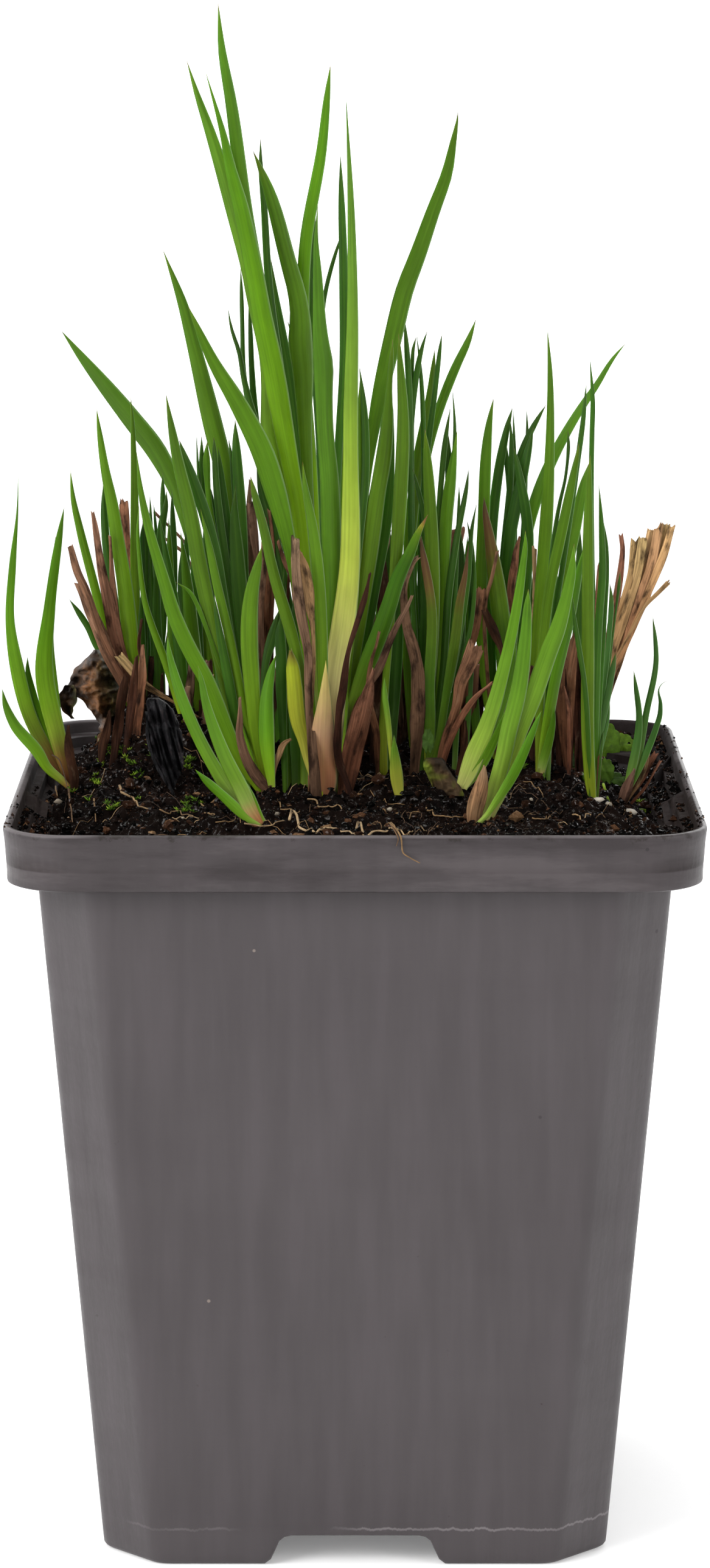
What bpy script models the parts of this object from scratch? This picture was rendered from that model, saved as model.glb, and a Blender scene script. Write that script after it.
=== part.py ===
"""Potted dwarf rush: a square nursery pot, its soil, and the leaf blades of about ten shoots.

Sizes are millimetres until the last step, which makes them metres. +Z is up, the front of the pot
faces -Y, and the pot stands on z = 0 at the origin.
Each blade's place was read from the photograph by eye: points along its middle, from the tip down,
as (column, row, width) in the photograph's pixels. pointInSpace turns such a point into a place, once
its distance from the camera is chosen, and the shoot's base depth and the leaf's rank choose that.
"""
import math

import bmesh
import bpy
import numpy as np
from mathutils import Vector

# Camera of the photograph, in mm and pixels
cameraDistance = 672.5
cameraHeight = 219.65
cameraPitch = math.radians(10.204)
focalPixels = 8323.9
imageCentre = (583.0, 1288.0)

# Pot: a 9 x 9 x 10 cm square nursery pot
potHeight = 100.0
rimHalf = 45.0
rimLowerEdge = 92.6
rimCornerRadius = 8.5
bodyTopHalf = 40.9
bodyFootHalf = 33.45
bodyChamfer = 7.2
chamferSoftness = 1.4
wallThickness = 1.2
floorTop = 5.1
archHeight = 3.9

# Soil
soilGap = 0.3
soilHalf = 39.2
soilFrontEdge = -43.3
soilCells = 11

# Leaves
layerStep = 0.85
layerSpread = 0.012
baseClearance = 0.75
bladeThickness = 0.18
leastThickness = 0.3
fuseHeight = 14.0
sheathLength = 8.0
sheathHalf = 0.9
ringSpacing = 11.0
fewestRings = 4

# Small separate things: outlines and points in the photograph's pixels, depths and sizes in mm
barkOutline = [
    (242, 1152), (250, 1150), (275, 1165), (285, 1180), (293, 1200), (297, 1228), (298, 1252), (290, 1274),
    (283, 1286), (274, 1279), (258, 1258), (248, 1234), (241, 1205),
]
barkDepth = -5.5
barkThickness = 1.3
stumpFoot = (736, 1300)
stumpHead = (715, 1253)
stumpDepth = -9.6

# Each shoot: depth of its base (mm, + is away from the camera) and how far it leans back per mm of height
shoots = {
    "farLeft": (1.0, -0.12),
    "left": (17.5, 0.08),
    "centreLeft": (-6.5, -0.02),
    "frontLeft": (-31.0, -0.05),
    "main": (-7.6, 0.0),
    "sprout": (-11.5, -0.03),
    "middle": (2.3, 0.04),
    "middleRight": (1.0, 0.09),
    "backRight": (9.0, 0.11),
    "right": (-13.0, -0.02),
    "rightBack": (0.6, 0.05),
    "frontRight": (-24.0, -0.08),
    "frontRight2": (-8.0, -0.05),
    "farRight": (-4.0, -0.05),
    "curl": (14.5, 0.05),
}

# Mounds and hollows of the soil: (x, y, reach in x, reach in y, height)
soilLevel = 98.5
soilMounds = [
    (-29, 17, 11, 13, 7.6),
    (-6, 14, 20, 13, 4.5),
    (22, 12, 12, 12, 1.5),
    (-38, -34, 6, 14, -8.5),
    (-40, 2, 8, 12, -2.0),
    (17, -26, 8, 8, -0.7),
    (-37, 37, 10, 10, -6.5),
    (36, 36, 14, 12, -6.0),
    (42, -2, 7, 26, -4.0),
]

# Each blade: node, shoot, rank from front to back, turn of the blade in degrees, points from tip to base.
# Blades with the same node name grow from one base and are one solid.
blades = [
    ("far_left_leaf_1", "farLeft", 0, 20, [(105, 833, 0), (99, 870, 8), (94, 905, 13), (88, 950, 16),
        (81, 1000, 18), (77, 1040, 22), (73, 1080, 27), (73, 1110, 28), (77, 1140, 28), (84, 1170, 27),
        (92, 1200, 26), (101, 1235, 23), (111, 1270, 18), (118, 1298, 10)]),
    ("far_left_leaf_2", "farLeft", 1, 20, [(30, 772, 0), (28, 840, 3), (25, 880, 6), (20, 930, 11),
        (17, 980, 13), (16, 1020, 14), (20, 1060, 19), (28, 1100, 22), (37, 1140, 22), (48, 1175, 22),
        (62, 1205, 21), (82, 1240, 18), (103, 1276, 13), (114, 1295, 8)]),
    ("far_left_low_leaves", "farLeft", -1, 20, [(4, 1132, 0), (8, 1160, 9), (20, 1190, 13), (35, 1215, 15),
        (55, 1240, 16), (78, 1262, 15), (100, 1281, 12), (116, 1297, 7)]),
    ("far_left_leaf_2", "farLeft", 2, 20, [(45, 1079, 0), (45, 1100, 7), (51, 1130, 11), (60, 1165, 12),
        (72, 1195, 12), (92, 1235, 10), (110, 1290, 7)]),
    ("far_left_leaf_2", "farLeft", 3, 20, [(91, 881, 0), (90, 900, 4), (87, 940, 6), (84, 1000, 7),
        (84, 1060, 8), (92, 1140, 9), (110, 1290, 8)]),
    ("far_left_low_leaves", "farLeft", -2, 20, [(112, 1193, 2), (111, 1206, 7), (114, 1230, 12),
        (118, 1255, 15), (122, 1280, 15), (121, 1302, 10)]),
    ("left_leaf_1", "left", 0, 8, [(115, 771, 0), (120, 820, 8), (131, 870, 12), (143, 920, 13),
        (154, 960, 14), (165, 1005, 14), (175, 1045, 14), (190, 1095, 13), (205, 1140, 9)]),
    ("left_leaf_2", "left", -2, -8, [(158, 670, 0), (163, 710, 8), (172, 770, 14), (184, 830, 19),
        (193, 890, 22), (203, 950, 24), (209, 1000, 26), (214, 1050, 26), (221, 1100, 22),
        (228, 1165, 15)]),
    ("left_small_leaves", "left", 1, 6, [(214, 651, 0), (217, 690, 6), (219, 740, 9), (220, 800, 12),
        (221, 860, 13), (222, 920, 14), (223, 1000, 15), (226, 1060, 14), (231, 1120, 13),
        (233, 1165, 10)]),
    ("left_small_leaves", "left", 3, 8, [(113, 984, 0), (130, 1008, 9), (145, 1032, 10), (157, 1058, 11),
        (185, 1100, 10), (224, 1162, 8)]),
    ("left_small_leaves", "left", 4, 8, [(169, 796, 0), (170, 830, 9), (173, 880, 13), (180, 940, 13),
        (190, 1000, 12), (205, 1080, 11), (225, 1160, 8)]),
    ("left_small_leaves", "left", 2, 6, [(238, 890, 0), (239, 960, 9), (239, 1020, 11), (241, 1080, 12),
        (239, 1160, 9)]),
    ("left_small_leaves", "left", 5, 6, [(267, 777, 0), (267, 800, 6), (268, 830, 8), (268, 880, 8),
        (266, 940, 9), (262, 1000, 9), (256, 1070, 9), (240, 1160, 7)]),
    ("left_small_leaves", "left", 4.5, 6, [(273, 807, 0), (272, 830, 8), (267, 855, 12), (264, 890, 13),
        (264, 940, 13), (268, 1000, 12), (262, 1080, 10), (243, 1160, 7)]),
    ("left_small_leaves", "left", 6, 6, [(282, 806, 0), (283, 840, 7), (284, 870, 10), (286, 920, 10),
        (284, 1000, 9), (270, 1080, 8), (246, 1160, 6)]),
    ("left_small_leaves", "left", 6.6, 6, [(246, 814, 0), (247, 840, 4), (249, 880, 5), (250, 960, 6),
        (248, 1060, 7), (240, 1160, 5)]),
    ("left_small_leaves", "left", 7.2, 6, [(252, 828, 0), (254, 850, 4), (257, 890, 5), (258, 960, 6),
        (254, 1060, 6), (242, 1160, 5)]),
    ("centre_left_leaf_1", "centreLeft", 1, 5, [(224, 743, 0), (230, 800, 8), (238, 845, 11),
        (248, 885, 14), (260, 925, 17), (272, 965, 20), (284, 1005, 23), (300, 1045, 25), (318, 1080, 25),
        (334, 1108, 25), (350, 1140, 24), (366, 1180, 22), (382, 1220, 20), (400, 1260, 16),
        (426, 1300, 9)]),
    ("left_leaf_4", "left", 9.6, -6, [(100, 543, 0), (123, 573, 8), (146, 602, 14), (164, 624, 19),
        (188, 654, 25), (212, 684, 28), (238, 716, 29), (260, 747, 28), (278, 780, 26), (292, 815, 22),
        (304, 855, 18), (318, 910, 14), (340, 1010, 12), (362, 1120, 11), (372, 1180, 8)]),
    ("centre_left_leaf_3", "centreLeft", 3.2, 4, [(272, 646, 0), (281, 700, 11), (290, 745, 16),
        (298, 785, 20), (307, 820, 22), (317, 870, 24), (327, 925, 25), (337, 975, 25), (348, 1030, 23),
        (360, 1085, 20), (373, 1140, 18), (388, 1205, 16), (410, 1260, 12), (430, 1295, 8)]),
    ("centre_left_leaf_4", "centreLeft", 9.6, 5, [(267, 409, 0), (286, 460, 10), (303, 510, 17),
        (316, 560, 21), (326, 600, 25), (336, 640, 29), (346, 680, 31), (355, 720, 31), (365, 760, 30),
        (370, 800, 28), (376, 860, 24), (382, 920, 22), (391, 1000, 20), (402, 1100, 18), (418, 1200, 14),
        (432, 1292, 9)]),
    ("centre_left_leaf_5", "centreLeft", 0, -4, [(430, 897, 0), (424, 925, 12), (416, 960, 20),
        (411, 1000, 25), (410, 1040, 27), (411, 1080, 27), (413, 1120, 26), (417, 1160, 24),
        (421, 1200, 22), (430, 1250, 17), (441, 1298, 10)]),
    ("centre_left_leaf_6", "centreLeft", -1, -6, [(453, 1076, 0), (446, 1100, 11), (440, 1130, 18),
        (438, 1160, 24), (437, 1200, 26), (440, 1240, 23), (445, 1280, 15), (447, 1302, 10)]),
    ("centre_left_leaf_3", "centreLeft", 2.4, 6, [(329, 836, 0), (335, 865, 7), (344, 900, 11),
        (354, 950, 14), (366, 1000, 15), (375, 1040, 15), (383, 1080, 15), (391, 1120, 14), (400, 1160, 13),
        (413, 1220, 12), (434, 1296, 8)]),
    ("centre_left_leaf_8", "left", -8, 8, [(228, 830, 0), (226, 870, 5), (229, 920, 7), (236, 980, 9),
        (246, 1016, 11), (263, 1065, 12), (278, 1108, 12), (290, 1150, 10), (300, 1192, 3)]),
    ("centre_left_small_leaves", "centreLeft", 5.2, 5, [(387, 798, 0), (385, 830, 9), (386, 870, 17),
        (389, 910, 22), (392, 950, 24), (396, 1000, 24), (402, 1060, 19), (412, 1150, 15), (434, 1290, 8)]),
    ("centre_left_small_leaves", "centreLeft", 7.4, 5, [(386, 690, 0), (387, 720, 10), (389, 760, 15),
        (392, 800, 18), (394, 850, 20), (396, 900, 20), (400, 1000, 18), (408, 1100, 14), (436, 1290, 8)]),
    ("centre_left_leaf_3", "centreLeft", 1.9, 5, [(352, 980, 0), (354, 1000, 6), (359, 1030, 10),
        (366, 1070, 14), (374, 1110, 16), (381, 1150, 16), (389, 1190, 15), (400, 1235, 12),
        (420, 1280, 8)]),
    ("centre_left_small_leaves", "centreLeft", 5, 5, [(294, 722, 0), (303, 750, 10), (314, 780, 15),
        (326, 815, 18), (338, 850, 19), (349, 890, 19), (358, 930, 17), (367, 980, 14), (380, 1050, 12),
        (400, 1150, 10), (430, 1290, 8)]),
    ("centre_left_small_leaves", "centreLeft", 5.8, 5, [(351, 718, 0), (352, 740, 7), (354, 780, 10),
        (357, 820, 12), (362, 860, 14), (368, 900, 14), (375, 950, 13), (385, 1010, 11), (400, 1110, 10),
        (432, 1290, 7)]),
    ("centre_left_small_leaves", "centreLeft", 6.4, 5, [(358, 735, 0), (361, 760, 6), (366, 800, 10),
        (371, 840, 12), (376, 880, 12), (381, 920, 12), (387, 970, 10), (397, 1040, 9), (434, 1290, 7)]),
    ("centre_left_small_leaves", "centreLeft", 7, 5, [(322, 707, 0), (324, 740, 4), (326, 780, 5),
        (335, 840, 6), (360, 960, 6), (432, 1290, 5)]),
    ("centre_left_small_leaves", "centreLeft", 7.6, 5, [(331, 716, 0), (331, 740, 6), (330, 770, 9),
        (332, 805, 10), (342, 860, 10), (365, 960, 8), (432, 1290, 6)]),
    ("centre_left_small_leaves", "centreLeft", 8.2, 5, [(333, 775, 0), (342, 805, 9), (347, 840, 12),
        (353, 880, 10), (372, 960, 8), (434, 1290, 6)]),
    ("centre_left_small_leaves", "centreLeft", 8, 5, [(375, 720, 0), (379, 745, 5), (382, 775, 6),
        (386, 830, 7), (400, 960, 7), (436, 1290, 6)]),
    ("front_left_leaf_1", "frontLeft", 1, -10, [(275, 1045, 0), (277, 1070, 8), (284, 1100, 13),
        (303, 1160, 18), (320, 1200, 20), (341, 1240, 21), (362, 1280, 20), (388, 1318, 17),
        (428, 1354, 9)]),
    ("front_left_leaf_2", "frontLeft", 0, -10, [(325, 1094, 0), (329, 1110, 6), (337, 1150, 13),
        (350, 1195, 18), (366, 1235, 22), (382, 1268, 23), (398, 1300, 22), (416, 1335, 18),
        (434, 1356, 10)]),
    ("front_left_leaf_2", "frontLeft", -1, -10, [(320, 1264, 0), (340, 1284, 12), (362, 1304, 15),
        (385, 1325, 17), (410, 1345, 15), (433, 1358, 8)]),
    ("front_left_leaf_2", "frontLeft", -1.8, -10, [(405, 1286, 0), (409, 1298, 8), (415, 1312, 12),
        (424, 1335, 12), (434, 1354, 8)]),
    ("main_leaf_1", "main", 6, 4, [(358, 3, 0), (361, 40, 7), (364, 80, 12), (371, 120, 16), (378, 160, 18),
        (389, 240, 21), (397, 300, 22), (405, 360, 23), (415, 420, 24), (430, 500, 24), (450, 600, 24),
        (470, 700, 22), (485, 800, 20), (503, 950, 17), (518, 1150, 13), (526, 1290, 9)]),
    ("main_leaf_2", "main", 5, -4, [(306, 98, 0), (316, 130, 6), (325, 160, 10), (339, 200, 15),
        (352, 240, 19), (364, 280, 22), (376, 320, 24), (387, 360, 25), (398, 400, 25), (408, 440, 25),
        (418, 490, 26), (425, 520, 26), (434, 560, 26), (441, 600, 26), (446, 650, 26), (451, 700, 26),
        (462, 760, 25), (475, 820, 21), (488, 880, 18), (503, 980, 15), (518, 1150, 12), (525, 1290, 8)]),
    ("main_leaf_3", "main", 4, 4, [(337, 116, 0), (349, 160, 5), (360, 200, 8), (371, 240, 13),
        (379, 280, 18), (390, 320, 23), (400, 360, 26), (416, 440, 29), (430, 520, 32), (447, 600, 35),
        (462, 680, 33), (476, 760, 28), (488, 820, 23), (495, 880, 21), (504, 960, 19), (514, 1040, 17),
        (522, 1160, 14), (527, 1290, 9)]),
    ("main_leaf_4", "main", 7, -3, [(415, 247, 0), (427, 275, 9), (437, 300, 15), (455, 360, 22),
        (466, 400, 24), (476, 440, 26), (487, 480, 28), (494, 520, 30), (499, 600, 28), (501, 680, 22),
        (504, 760, 18), (508, 840, 16), (514, 960, 14), (520, 1120, 12), (527, 1290, 8)]),
    ("main_leaf_5", "main", 8, 5, [(543, 105, 0), (538, 150, 9), (534, 200, 13), (529, 240, 16),
        (522, 280, 17), (514, 320, 18), (508, 360, 19), (502, 400, 20), (499, 440, 20), (497, 500, 20),
        (499, 600, 20), (505, 700, 21), (511, 780, 20), (517, 860, 15), (523, 1000, 13), (527, 1150, 11),
        (529, 1290, 8)]),
    ("main_leaf_6", "main", 1, -5, [(522, 334, 0), (519, 400, 8), (521, 440, 13), (522, 480, 17),
        (524, 520, 20), (526, 560, 23), (530, 640, 25), (534, 700, 26), (539, 760, 28), (542, 800, 30),
        (544, 860, 31), (546, 920, 29), (547, 970, 25), (546, 1020, 20), (546, 1080, 16), (544, 1140, 13),
        (538, 1220, 11), (532, 1292, 8)]),
    ("main_leaf_7", "main", 0, 5, [(568, 153, 0), (570, 200, 4), (573, 280, 8), (577, 360, 12),
        (579, 440, 15), (579, 520, 18), (578, 600, 22), (576, 680, 23), (576, 760, 24), (576, 800, 27),
        (576, 860, 28), (574, 920, 27), (568, 980, 25), (564, 1040, 20), (557, 1100, 17), (552, 1160, 15),
        (547, 1220, 13), (540, 1294, 9)]),
    ("main_small_leaves", "main", 9.5, 5, [(559, 254, 0), (560, 300, 7), (562, 360, 12), (564, 440, 14),
        (566, 520, 15), (565, 600, 15), (560, 680, 14), (556, 740, 13), (553, 820, 12), (549, 950, 11),
        (543, 1100, 10), (536, 1290, 8)]),
    ("main_leaf_9", "main", 2.5, 6, [(309, 503, 0), (327, 545, 11), (348, 590, 18), (370, 628, 24),
        (392, 665, 28), (413, 703, 33), (434, 750, 35), (450, 800, 35), (463, 845, 29), (474, 890, 22),
        (486, 950, 18), (500, 1050, 15), (514, 1180, 12), (524, 1290, 8)]),
    ("main_front_leaves", "main", -1, -5, [(411, 782, 0), (415, 800, 7), (423, 830, 12), (431, 860, 14),
        (440, 900, 16), (449, 940, 17), (460, 980, 19), (471, 1015, 19), (481, 1050, 19), (489, 1080, 17),
        (495, 1110, 15), (500, 1150, 12), (506, 1210, 10), (518, 1290, 7)]),
    ("main_front_leaves", "main", -1.6, -5, [(497, 759, 0), (500, 790, 7), (507, 830, 12), (514, 870, 16),
        (519, 910, 18), (523, 950, 19), (526, 1000, 20), (528, 1060, 19), (530, 1120, 17), (530, 1180, 14),
        (529, 1250, 11), (529, 1294, 8)]),
    ("main_small_leaves", "main", 10.5, 3, [(428, 226, 0), (428, 270, 7), (433, 330, 10), (437, 400, 12),
        (441, 460, 12), (450, 540, 12), (468, 660, 12), (492, 850, 11), (515, 1080, 9), (530, 1280, 6)]),
    ("main_small_leaves", "main", 11.3, 3, [(519, 340, 0), (513, 400, 8), (511, 440, 10), (510, 480, 10),
        (513, 540, 12), (518, 620, 12), (524, 720, 11), (530, 900, 10), (533, 1280, 6)]),
    ("main_small_leaves", "main", 9.5, 3, [(374, 506, 0), (380, 540, 5), (393, 580, 7), (400, 620, 9),
        (410, 660, 10), (425, 710, 11), (455, 800, 11), (495, 960, 10), (528, 1280, 6)]),
    ("main_small_leaves", "main", 12, 3, [(395, 440, 0), (396, 470, 5), (397, 500, 6), (398, 550, 7),
        (399, 600, 8), (405, 650, 9), (430, 760, 10), (480, 940, 9), (528, 1280, 6)]),
    ("main_small_leaves", "main", 13, 3, [(408, 490, 0), (411, 540, 7), (413, 600, 9), (416, 650, 11),
        (424, 720, 12), (450, 830, 11), (495, 1000, 9), (530, 1280, 6)]),
    ("main_small_leaves", "main", 12, 3, [(445, 425, 0), (450, 470, 8), (458, 520, 13), (468, 580, 16),
        (478, 640, 18), (485, 700, 19), (495, 780, 16), (508, 900, 13), (530, 1280, 6)]),
    ("main_small_leaves", "main", 13, 3, [(472, 527, 0), (483, 560, 9), (490, 600, 13), (500, 650, 14),
        (506, 720, 13), (514, 850, 11), (532, 1280, 6)]),
    ("main_small_leaves", "main", 9.6, 3, [(421, 765, 0), (428, 800, 11), (438, 840, 15), (450, 880, 17),
        (460, 920, 16), (470, 970, 13), (490, 1080, 11), (522, 1285, 7)]),
    ("main_small_leaves", "main", 10.3, 3, [(568, 368, 0), (553, 410, 5), (545, 440, 7), (537, 470, 7),
        (531, 500, 7), (528, 600, 7), (530, 900, 7), (534, 1280, 5)]),
    ("main_small_leaves", "main", 8.6, 3, [(590, 600, 0), (593, 630, 6), (597, 660, 9), (600, 700, 12),
        (601, 740, 13), (600, 780, 13), (597, 820, 13), (591, 880, 12), (580, 980, 11), (560, 1150, 9),
        (541, 1285, 7)]),
    ("main_front_leaves", "main", -2.2, 4, [(477, 1077, 3), (479, 1100, 12), (481, 1130, 14),
        (484, 1160, 15), (489, 1190, 15), (496, 1216, 12), (505, 1250, 9), (518, 1292, 6)]),
    ("middle_leaf_1", "middle", -2, 5, [(703, 845, 0), (694, 862, 7), (685, 880, 12), (677, 900, 16),
        (668, 920, 20), (659, 940, 22), (650, 960, 24), (644, 980, 25), (638, 1000, 26), (631, 1020, 27),
        (624, 1040, 28), (616, 1060, 28), (608, 1080, 28), (600, 1105, 28), (590, 1135, 26),
        (579, 1170, 22), (568, 1210, 16), (558, 1252, 9)]),
    ("middle_leaf_2", "middle", 0, -6, [(645, 557, 0), (643, 590, 7), (639, 640, 10), (635, 680, 14),
        (631, 720, 18), (627, 760, 22), (622, 800, 25), (616, 840, 28), (609, 880, 31), (603, 920, 31),
        (597, 960, 29), (592, 1000, 26), (587, 1040, 23), (580, 1090, 20), (573, 1140, 18), (566, 1190, 15),
        (560, 1250, 9)]),
    ("middle_leaf_3", "middle", -0.9, 6, [(655, 548, 0), (656, 575, 6), (658, 600, 11), (660, 640, 15),
        (662, 680, 18), (661, 720, 20), (660, 760, 22), (658, 800, 22), (656, 840, 22), (653, 880, 20),
        (649, 930, 18), (644, 990, 15), (640, 1040, 12), (636, 1090, 12), (633, 1130, 12), (630, 1180, 13),
        (629, 1230, 15), (631, 1283, 12)]),
    ("middle_leaf_4", "middle", 3, 5, [(752, 183, 0), (751, 200, 4), (746, 225, 9), (742, 250, 13),
        (734, 285, 18), (725, 310, 20), (712, 345, 22), (700, 380, 24), (690, 405, 26), (680, 435, 27),
        (670, 460, 28), (661, 490, 28), (654, 520, 28), (644, 560, 29), (634, 600, 28), (625, 640, 26),
        (617, 680, 22), (611, 720, 18), (606, 760, 13), (602, 800, 10), (596, 860, 9), (585, 960, 9),
        (570, 1120, 9), (562, 1245, 7)]),
    ("middle_leaf_2", "middle", 2, 5, [(646, 667, 0), (646, 700, 4), (645, 740, 6), (642, 780, 11),
        (639, 820, 14), (635, 860, 16), (629, 900, 16), (620, 950, 14), (600, 1060, 11), (565, 1248, 8)]),
    ("front_sprout", "sprout", 1, 5, [(631, 1112, 0), (632, 1140, 8), (637, 1180, 9), (641, 1215, 8),
        (644, 1250, 7), (651, 1302, 6)]),
    ("front_sprout", "sprout", 0, 10, [(647, 1207, 0), (648, 1230, 10), (649, 1255, 17), (652, 1280, 20),
        (656, 1308, 14)]),
    ("middle_right_leaf_1", "middleRight", 6.5, 5, [(714, 574, 0), (712, 600, 7), (708, 640, 12),
        (702, 680, 15), (694, 720, 17), (687, 760, 19), (682, 800, 20), (675, 860, 19), (671, 920, 17),
        (668, 1000, 15), (670, 1120, 12), (678, 1245, 8)]),
    ("middle_right_leaf_2", "middleRight", 7.7, -5, [(782, 524, 0), (769, 560, 10), (750, 600, 14),
        (733, 640, 15), (719, 680, 15), (708, 720, 16), (698, 760, 16), (690, 800, 15), (683, 860, 14),
        (678, 950, 13), (676, 1080, 11), (684, 1245, 8)]),
    ("middle_right_leaf_3", "middleRight", 1, 5, [(698, 705, 0), (700, 730, 8), (703, 760, 13),
        (705, 800, 18), (707, 840, 20), (709, 880, 22), (710, 930, 22), (711, 980, 22), (710, 1060, 19),
        (704, 1150, 16), (703, 1247, 12)]),
    ("middle_right_leaf_3", "middleRight", 0, -5, [(691, 886, 2), (694, 905, 8), (699, 930, 12),
        (704, 960, 15), (708, 990, 15), (709, 1020, 16), (708, 1060, 17), (706, 1100, 18), (705, 1140, 18),
        (706, 1180, 18), (706, 1220, 15), (706, 1250, 12)]),
    ("middle_right_small_leaves", "middleRight", 2.4, -6, [(751, 707, 0), (747, 730, 5), (743, 760, 12),
        (740, 790, 17), (736, 820, 20), (733, 850, 20), (731, 890, 18), (730, 930, 16), (728, 1000, 14),
        (725, 1080, 14), (720, 1160, 13), (710, 1250, 9)]),
    ("middle_right_leaf_3", "middleRight", 0, 5, [(770, 893, 0), (767, 920, 5), (763, 950, 9),
        (757, 980, 13), (753, 1010, 15), (748, 1050, 17), (743, 1080, 17), (737, 1120, 15), (730, 1160, 13),
        (722, 1210, 12), (711, 1250, 10)]),
    ("middle_right_small_leaves", "middleRight", 3.4, 4, [(664, 522, 0), (666, 545, 5), (668, 575, 8),
        (670, 600, 10), (672, 640, 10), (673, 680, 10), (674, 760, 9), (675, 900, 8), (697, 1245, 7)]),
    ("middle_right_small_leaves", "middleRight", 4.2, 4, [(702, 543, 0), (695, 565, 5), (689, 590, 8),
        (684, 620, 10), (679, 655, 9), (676, 700, 8), (674, 800, 8), (676, 950, 7), (699, 1245, 7)]),
    ("middle_right_small_leaves", "middleRight", 4.8, 4, [(684, 547, 0), (687, 575, 3), (690, 600, 5),
        (693, 640, 7), (695, 680, 7), (696, 800, 7), (694, 1000, 6), (700, 1245, 7)]),
    ("middle_right_small_leaves", "middleRight", 5.2, 4, [(726, 548, 0), (723, 570, 5), (719, 600, 7),
        (715, 640, 8), (709, 690, 9), (701, 750, 10), (695, 820, 10), (690, 950, 9), (701, 1245, 7)]),
    ("middle_right_small_leaves", "middleRight", 4.6, 4, [(684, 553, 0), (679, 570, 5), (677, 600, 6),
        (677, 680, 6), (678, 850, 6), (698, 1245, 7)]),
    ("middle_right_small_leaves", "middleRight", 3, 4, [(740, 668, 0), (737, 690, 5), (732, 720, 8),
        (728, 760, 9), (724, 800, 9), (721, 850, 9), (719, 950, 8), (715, 1100, 8), (704, 1245, 7)]),
    ("middle_right_small_leaves", "middleRight", 3.9, 4, [(743, 635, 0), (745, 670, 4), (747, 700, 5),
        (746, 740, 6), (740, 820, 7), (733, 950, 7), (705, 1245, 7)]),
    ("middle_right_small_leaves", "middleRight", 1.9, 4, [(770, 770, 0), (767, 795, 5), (763, 820, 7),
        (757, 850, 9), (751, 880, 10), (746, 910, 11), (741, 940, 12), (737, 975, 12), (733, 1030, 12),
        (728, 1100, 11), (708, 1245, 8)]),
    ("middle_right_small_leaves", "middleRight", 2.6, 4, [(754, 799, 0), (754, 820, 4), (753, 845, 5),
        (752, 880, 7), (750, 930, 9), (744, 1010, 9), (709, 1245, 7)]),
    ("middle_right_small_leaves", "middleRight", 2, 4, [(678, 770, 0), (683, 790, 5), (689, 815, 7),
        (695, 840, 8), (700, 870, 8), (706, 930, 7), (708, 1100, 6), (704, 1245, 7)]),
    ("middle_right_small_leaves", "middleRight", 3.2, 4, [(783, 826, 0), (779, 850, 4), (775, 870, 6),
        (772, 900, 9), (769, 940, 10), (763, 990, 10), (752, 1060, 10), (711, 1245, 8)]),
    ("middle_right_small_leaves", "middleRight", 3.8, 4, [(767, 855, 0), (772, 880, 5), (776, 910, 6),
        (779, 945, 6), (776, 1010, 7), (756, 1100, 8), (712, 1245, 8)]),
    ("back_right_leaf_1", "backRight", 0, 5, [(811, 653, 0), (806, 680, 7), (803, 700, 10), (798, 740, 15),
        (796, 780, 17), (795, 820, 19), (794, 870, 19), (792, 920, 20), (791, 960, 20), (790, 1020, 18),
        (795, 1100, 16), (812, 1235, 9)]),
    ("back_right_small_leaves", "backRight", 2.8, -5, [(842, 669, 0), (835, 695, 8), (828, 725, 12),
        (821, 760, 15), (815, 800, 17), (811, 840, 16), (808, 880, 16), (806, 950, 15), (808, 1080, 13),
        (818, 1235, 8)]),
    ("back_right_leaf_3", "backRight", -1, 5, [(795, 816, 0), (797, 840, 8), (802, 870, 14), (808, 905, 21),
        (815, 950, 27), (821, 1000, 29), (826, 1040, 28), (828, 1100, 22), (826, 1160, 16),
        (824, 1240, 10)]),
    ("back_right_small_leaves", "backRight", 1.8, -5, [(876, 702, 0), (871, 725, 8), (865, 750, 12),
        (859, 780, 16), (852, 810, 18), (845, 840, 19), (838, 880, 19), (833, 930, 18), (828, 1000, 17),
        (826, 1100, 14), (830, 1240, 9)]),
    ("back_right_small_leaves", "backRight", 1.2, 5, [(844, 735, 0), (848, 755, 8), (853, 780, 12),
        (859, 810, 16), (864, 840, 18), (867, 870, 18), (867, 910, 17), (864, 970, 16), (856, 1080, 13),
        (838, 1242, 8)]),
    ("back_right_leaf_6", "backRight", 0, 5, [(899, 538, 0), (901, 570, 4), (903, 600, 7), (904, 640, 10),
        (904, 700, 13), (903, 740, 15), (901, 780, 18), (899, 820, 20), (897, 860, 21), (894, 900, 21),
        (890, 950, 20), (885, 1000, 18), (878, 1070, 16), (868, 1150, 13), (852, 1245, 8)]),
    ("back_right_leaf_7", "backRight", 5.8, 5, [(1028, 564, 0), (1010, 585, 5), (995, 608, 8),
        (978, 636, 10), (960, 662, 12), (942, 690, 14), (925, 720, 16), (912, 745, 17), (900, 770, 18),
        (888, 800, 19), (876, 835, 19), (868, 865, 18), (860, 910, 16), (852, 980, 15), (846, 1080, 12),
        (843, 1240, 8)]),
    ("back_right_small_leaves", "backRight", 3.6, 4, [(897, 665, 0), (888, 680, 5), (878, 698, 8),
        (866, 722, 10), (856, 745, 11), (847, 775, 11), (841, 810, 11), (838, 880, 10), (834, 1000, 8),
        (832, 1240, 5)]),
    ("back_right_small_leaves", "backRight", 2.4, 4, [(838, 688, 0), (840, 720, 6), (840, 760, 9),
        (838, 800, 11), (834, 840, 12), (830, 880, 12), (825, 940, 11), (822, 1040, 9), (824, 1240, 6)]),
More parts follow.
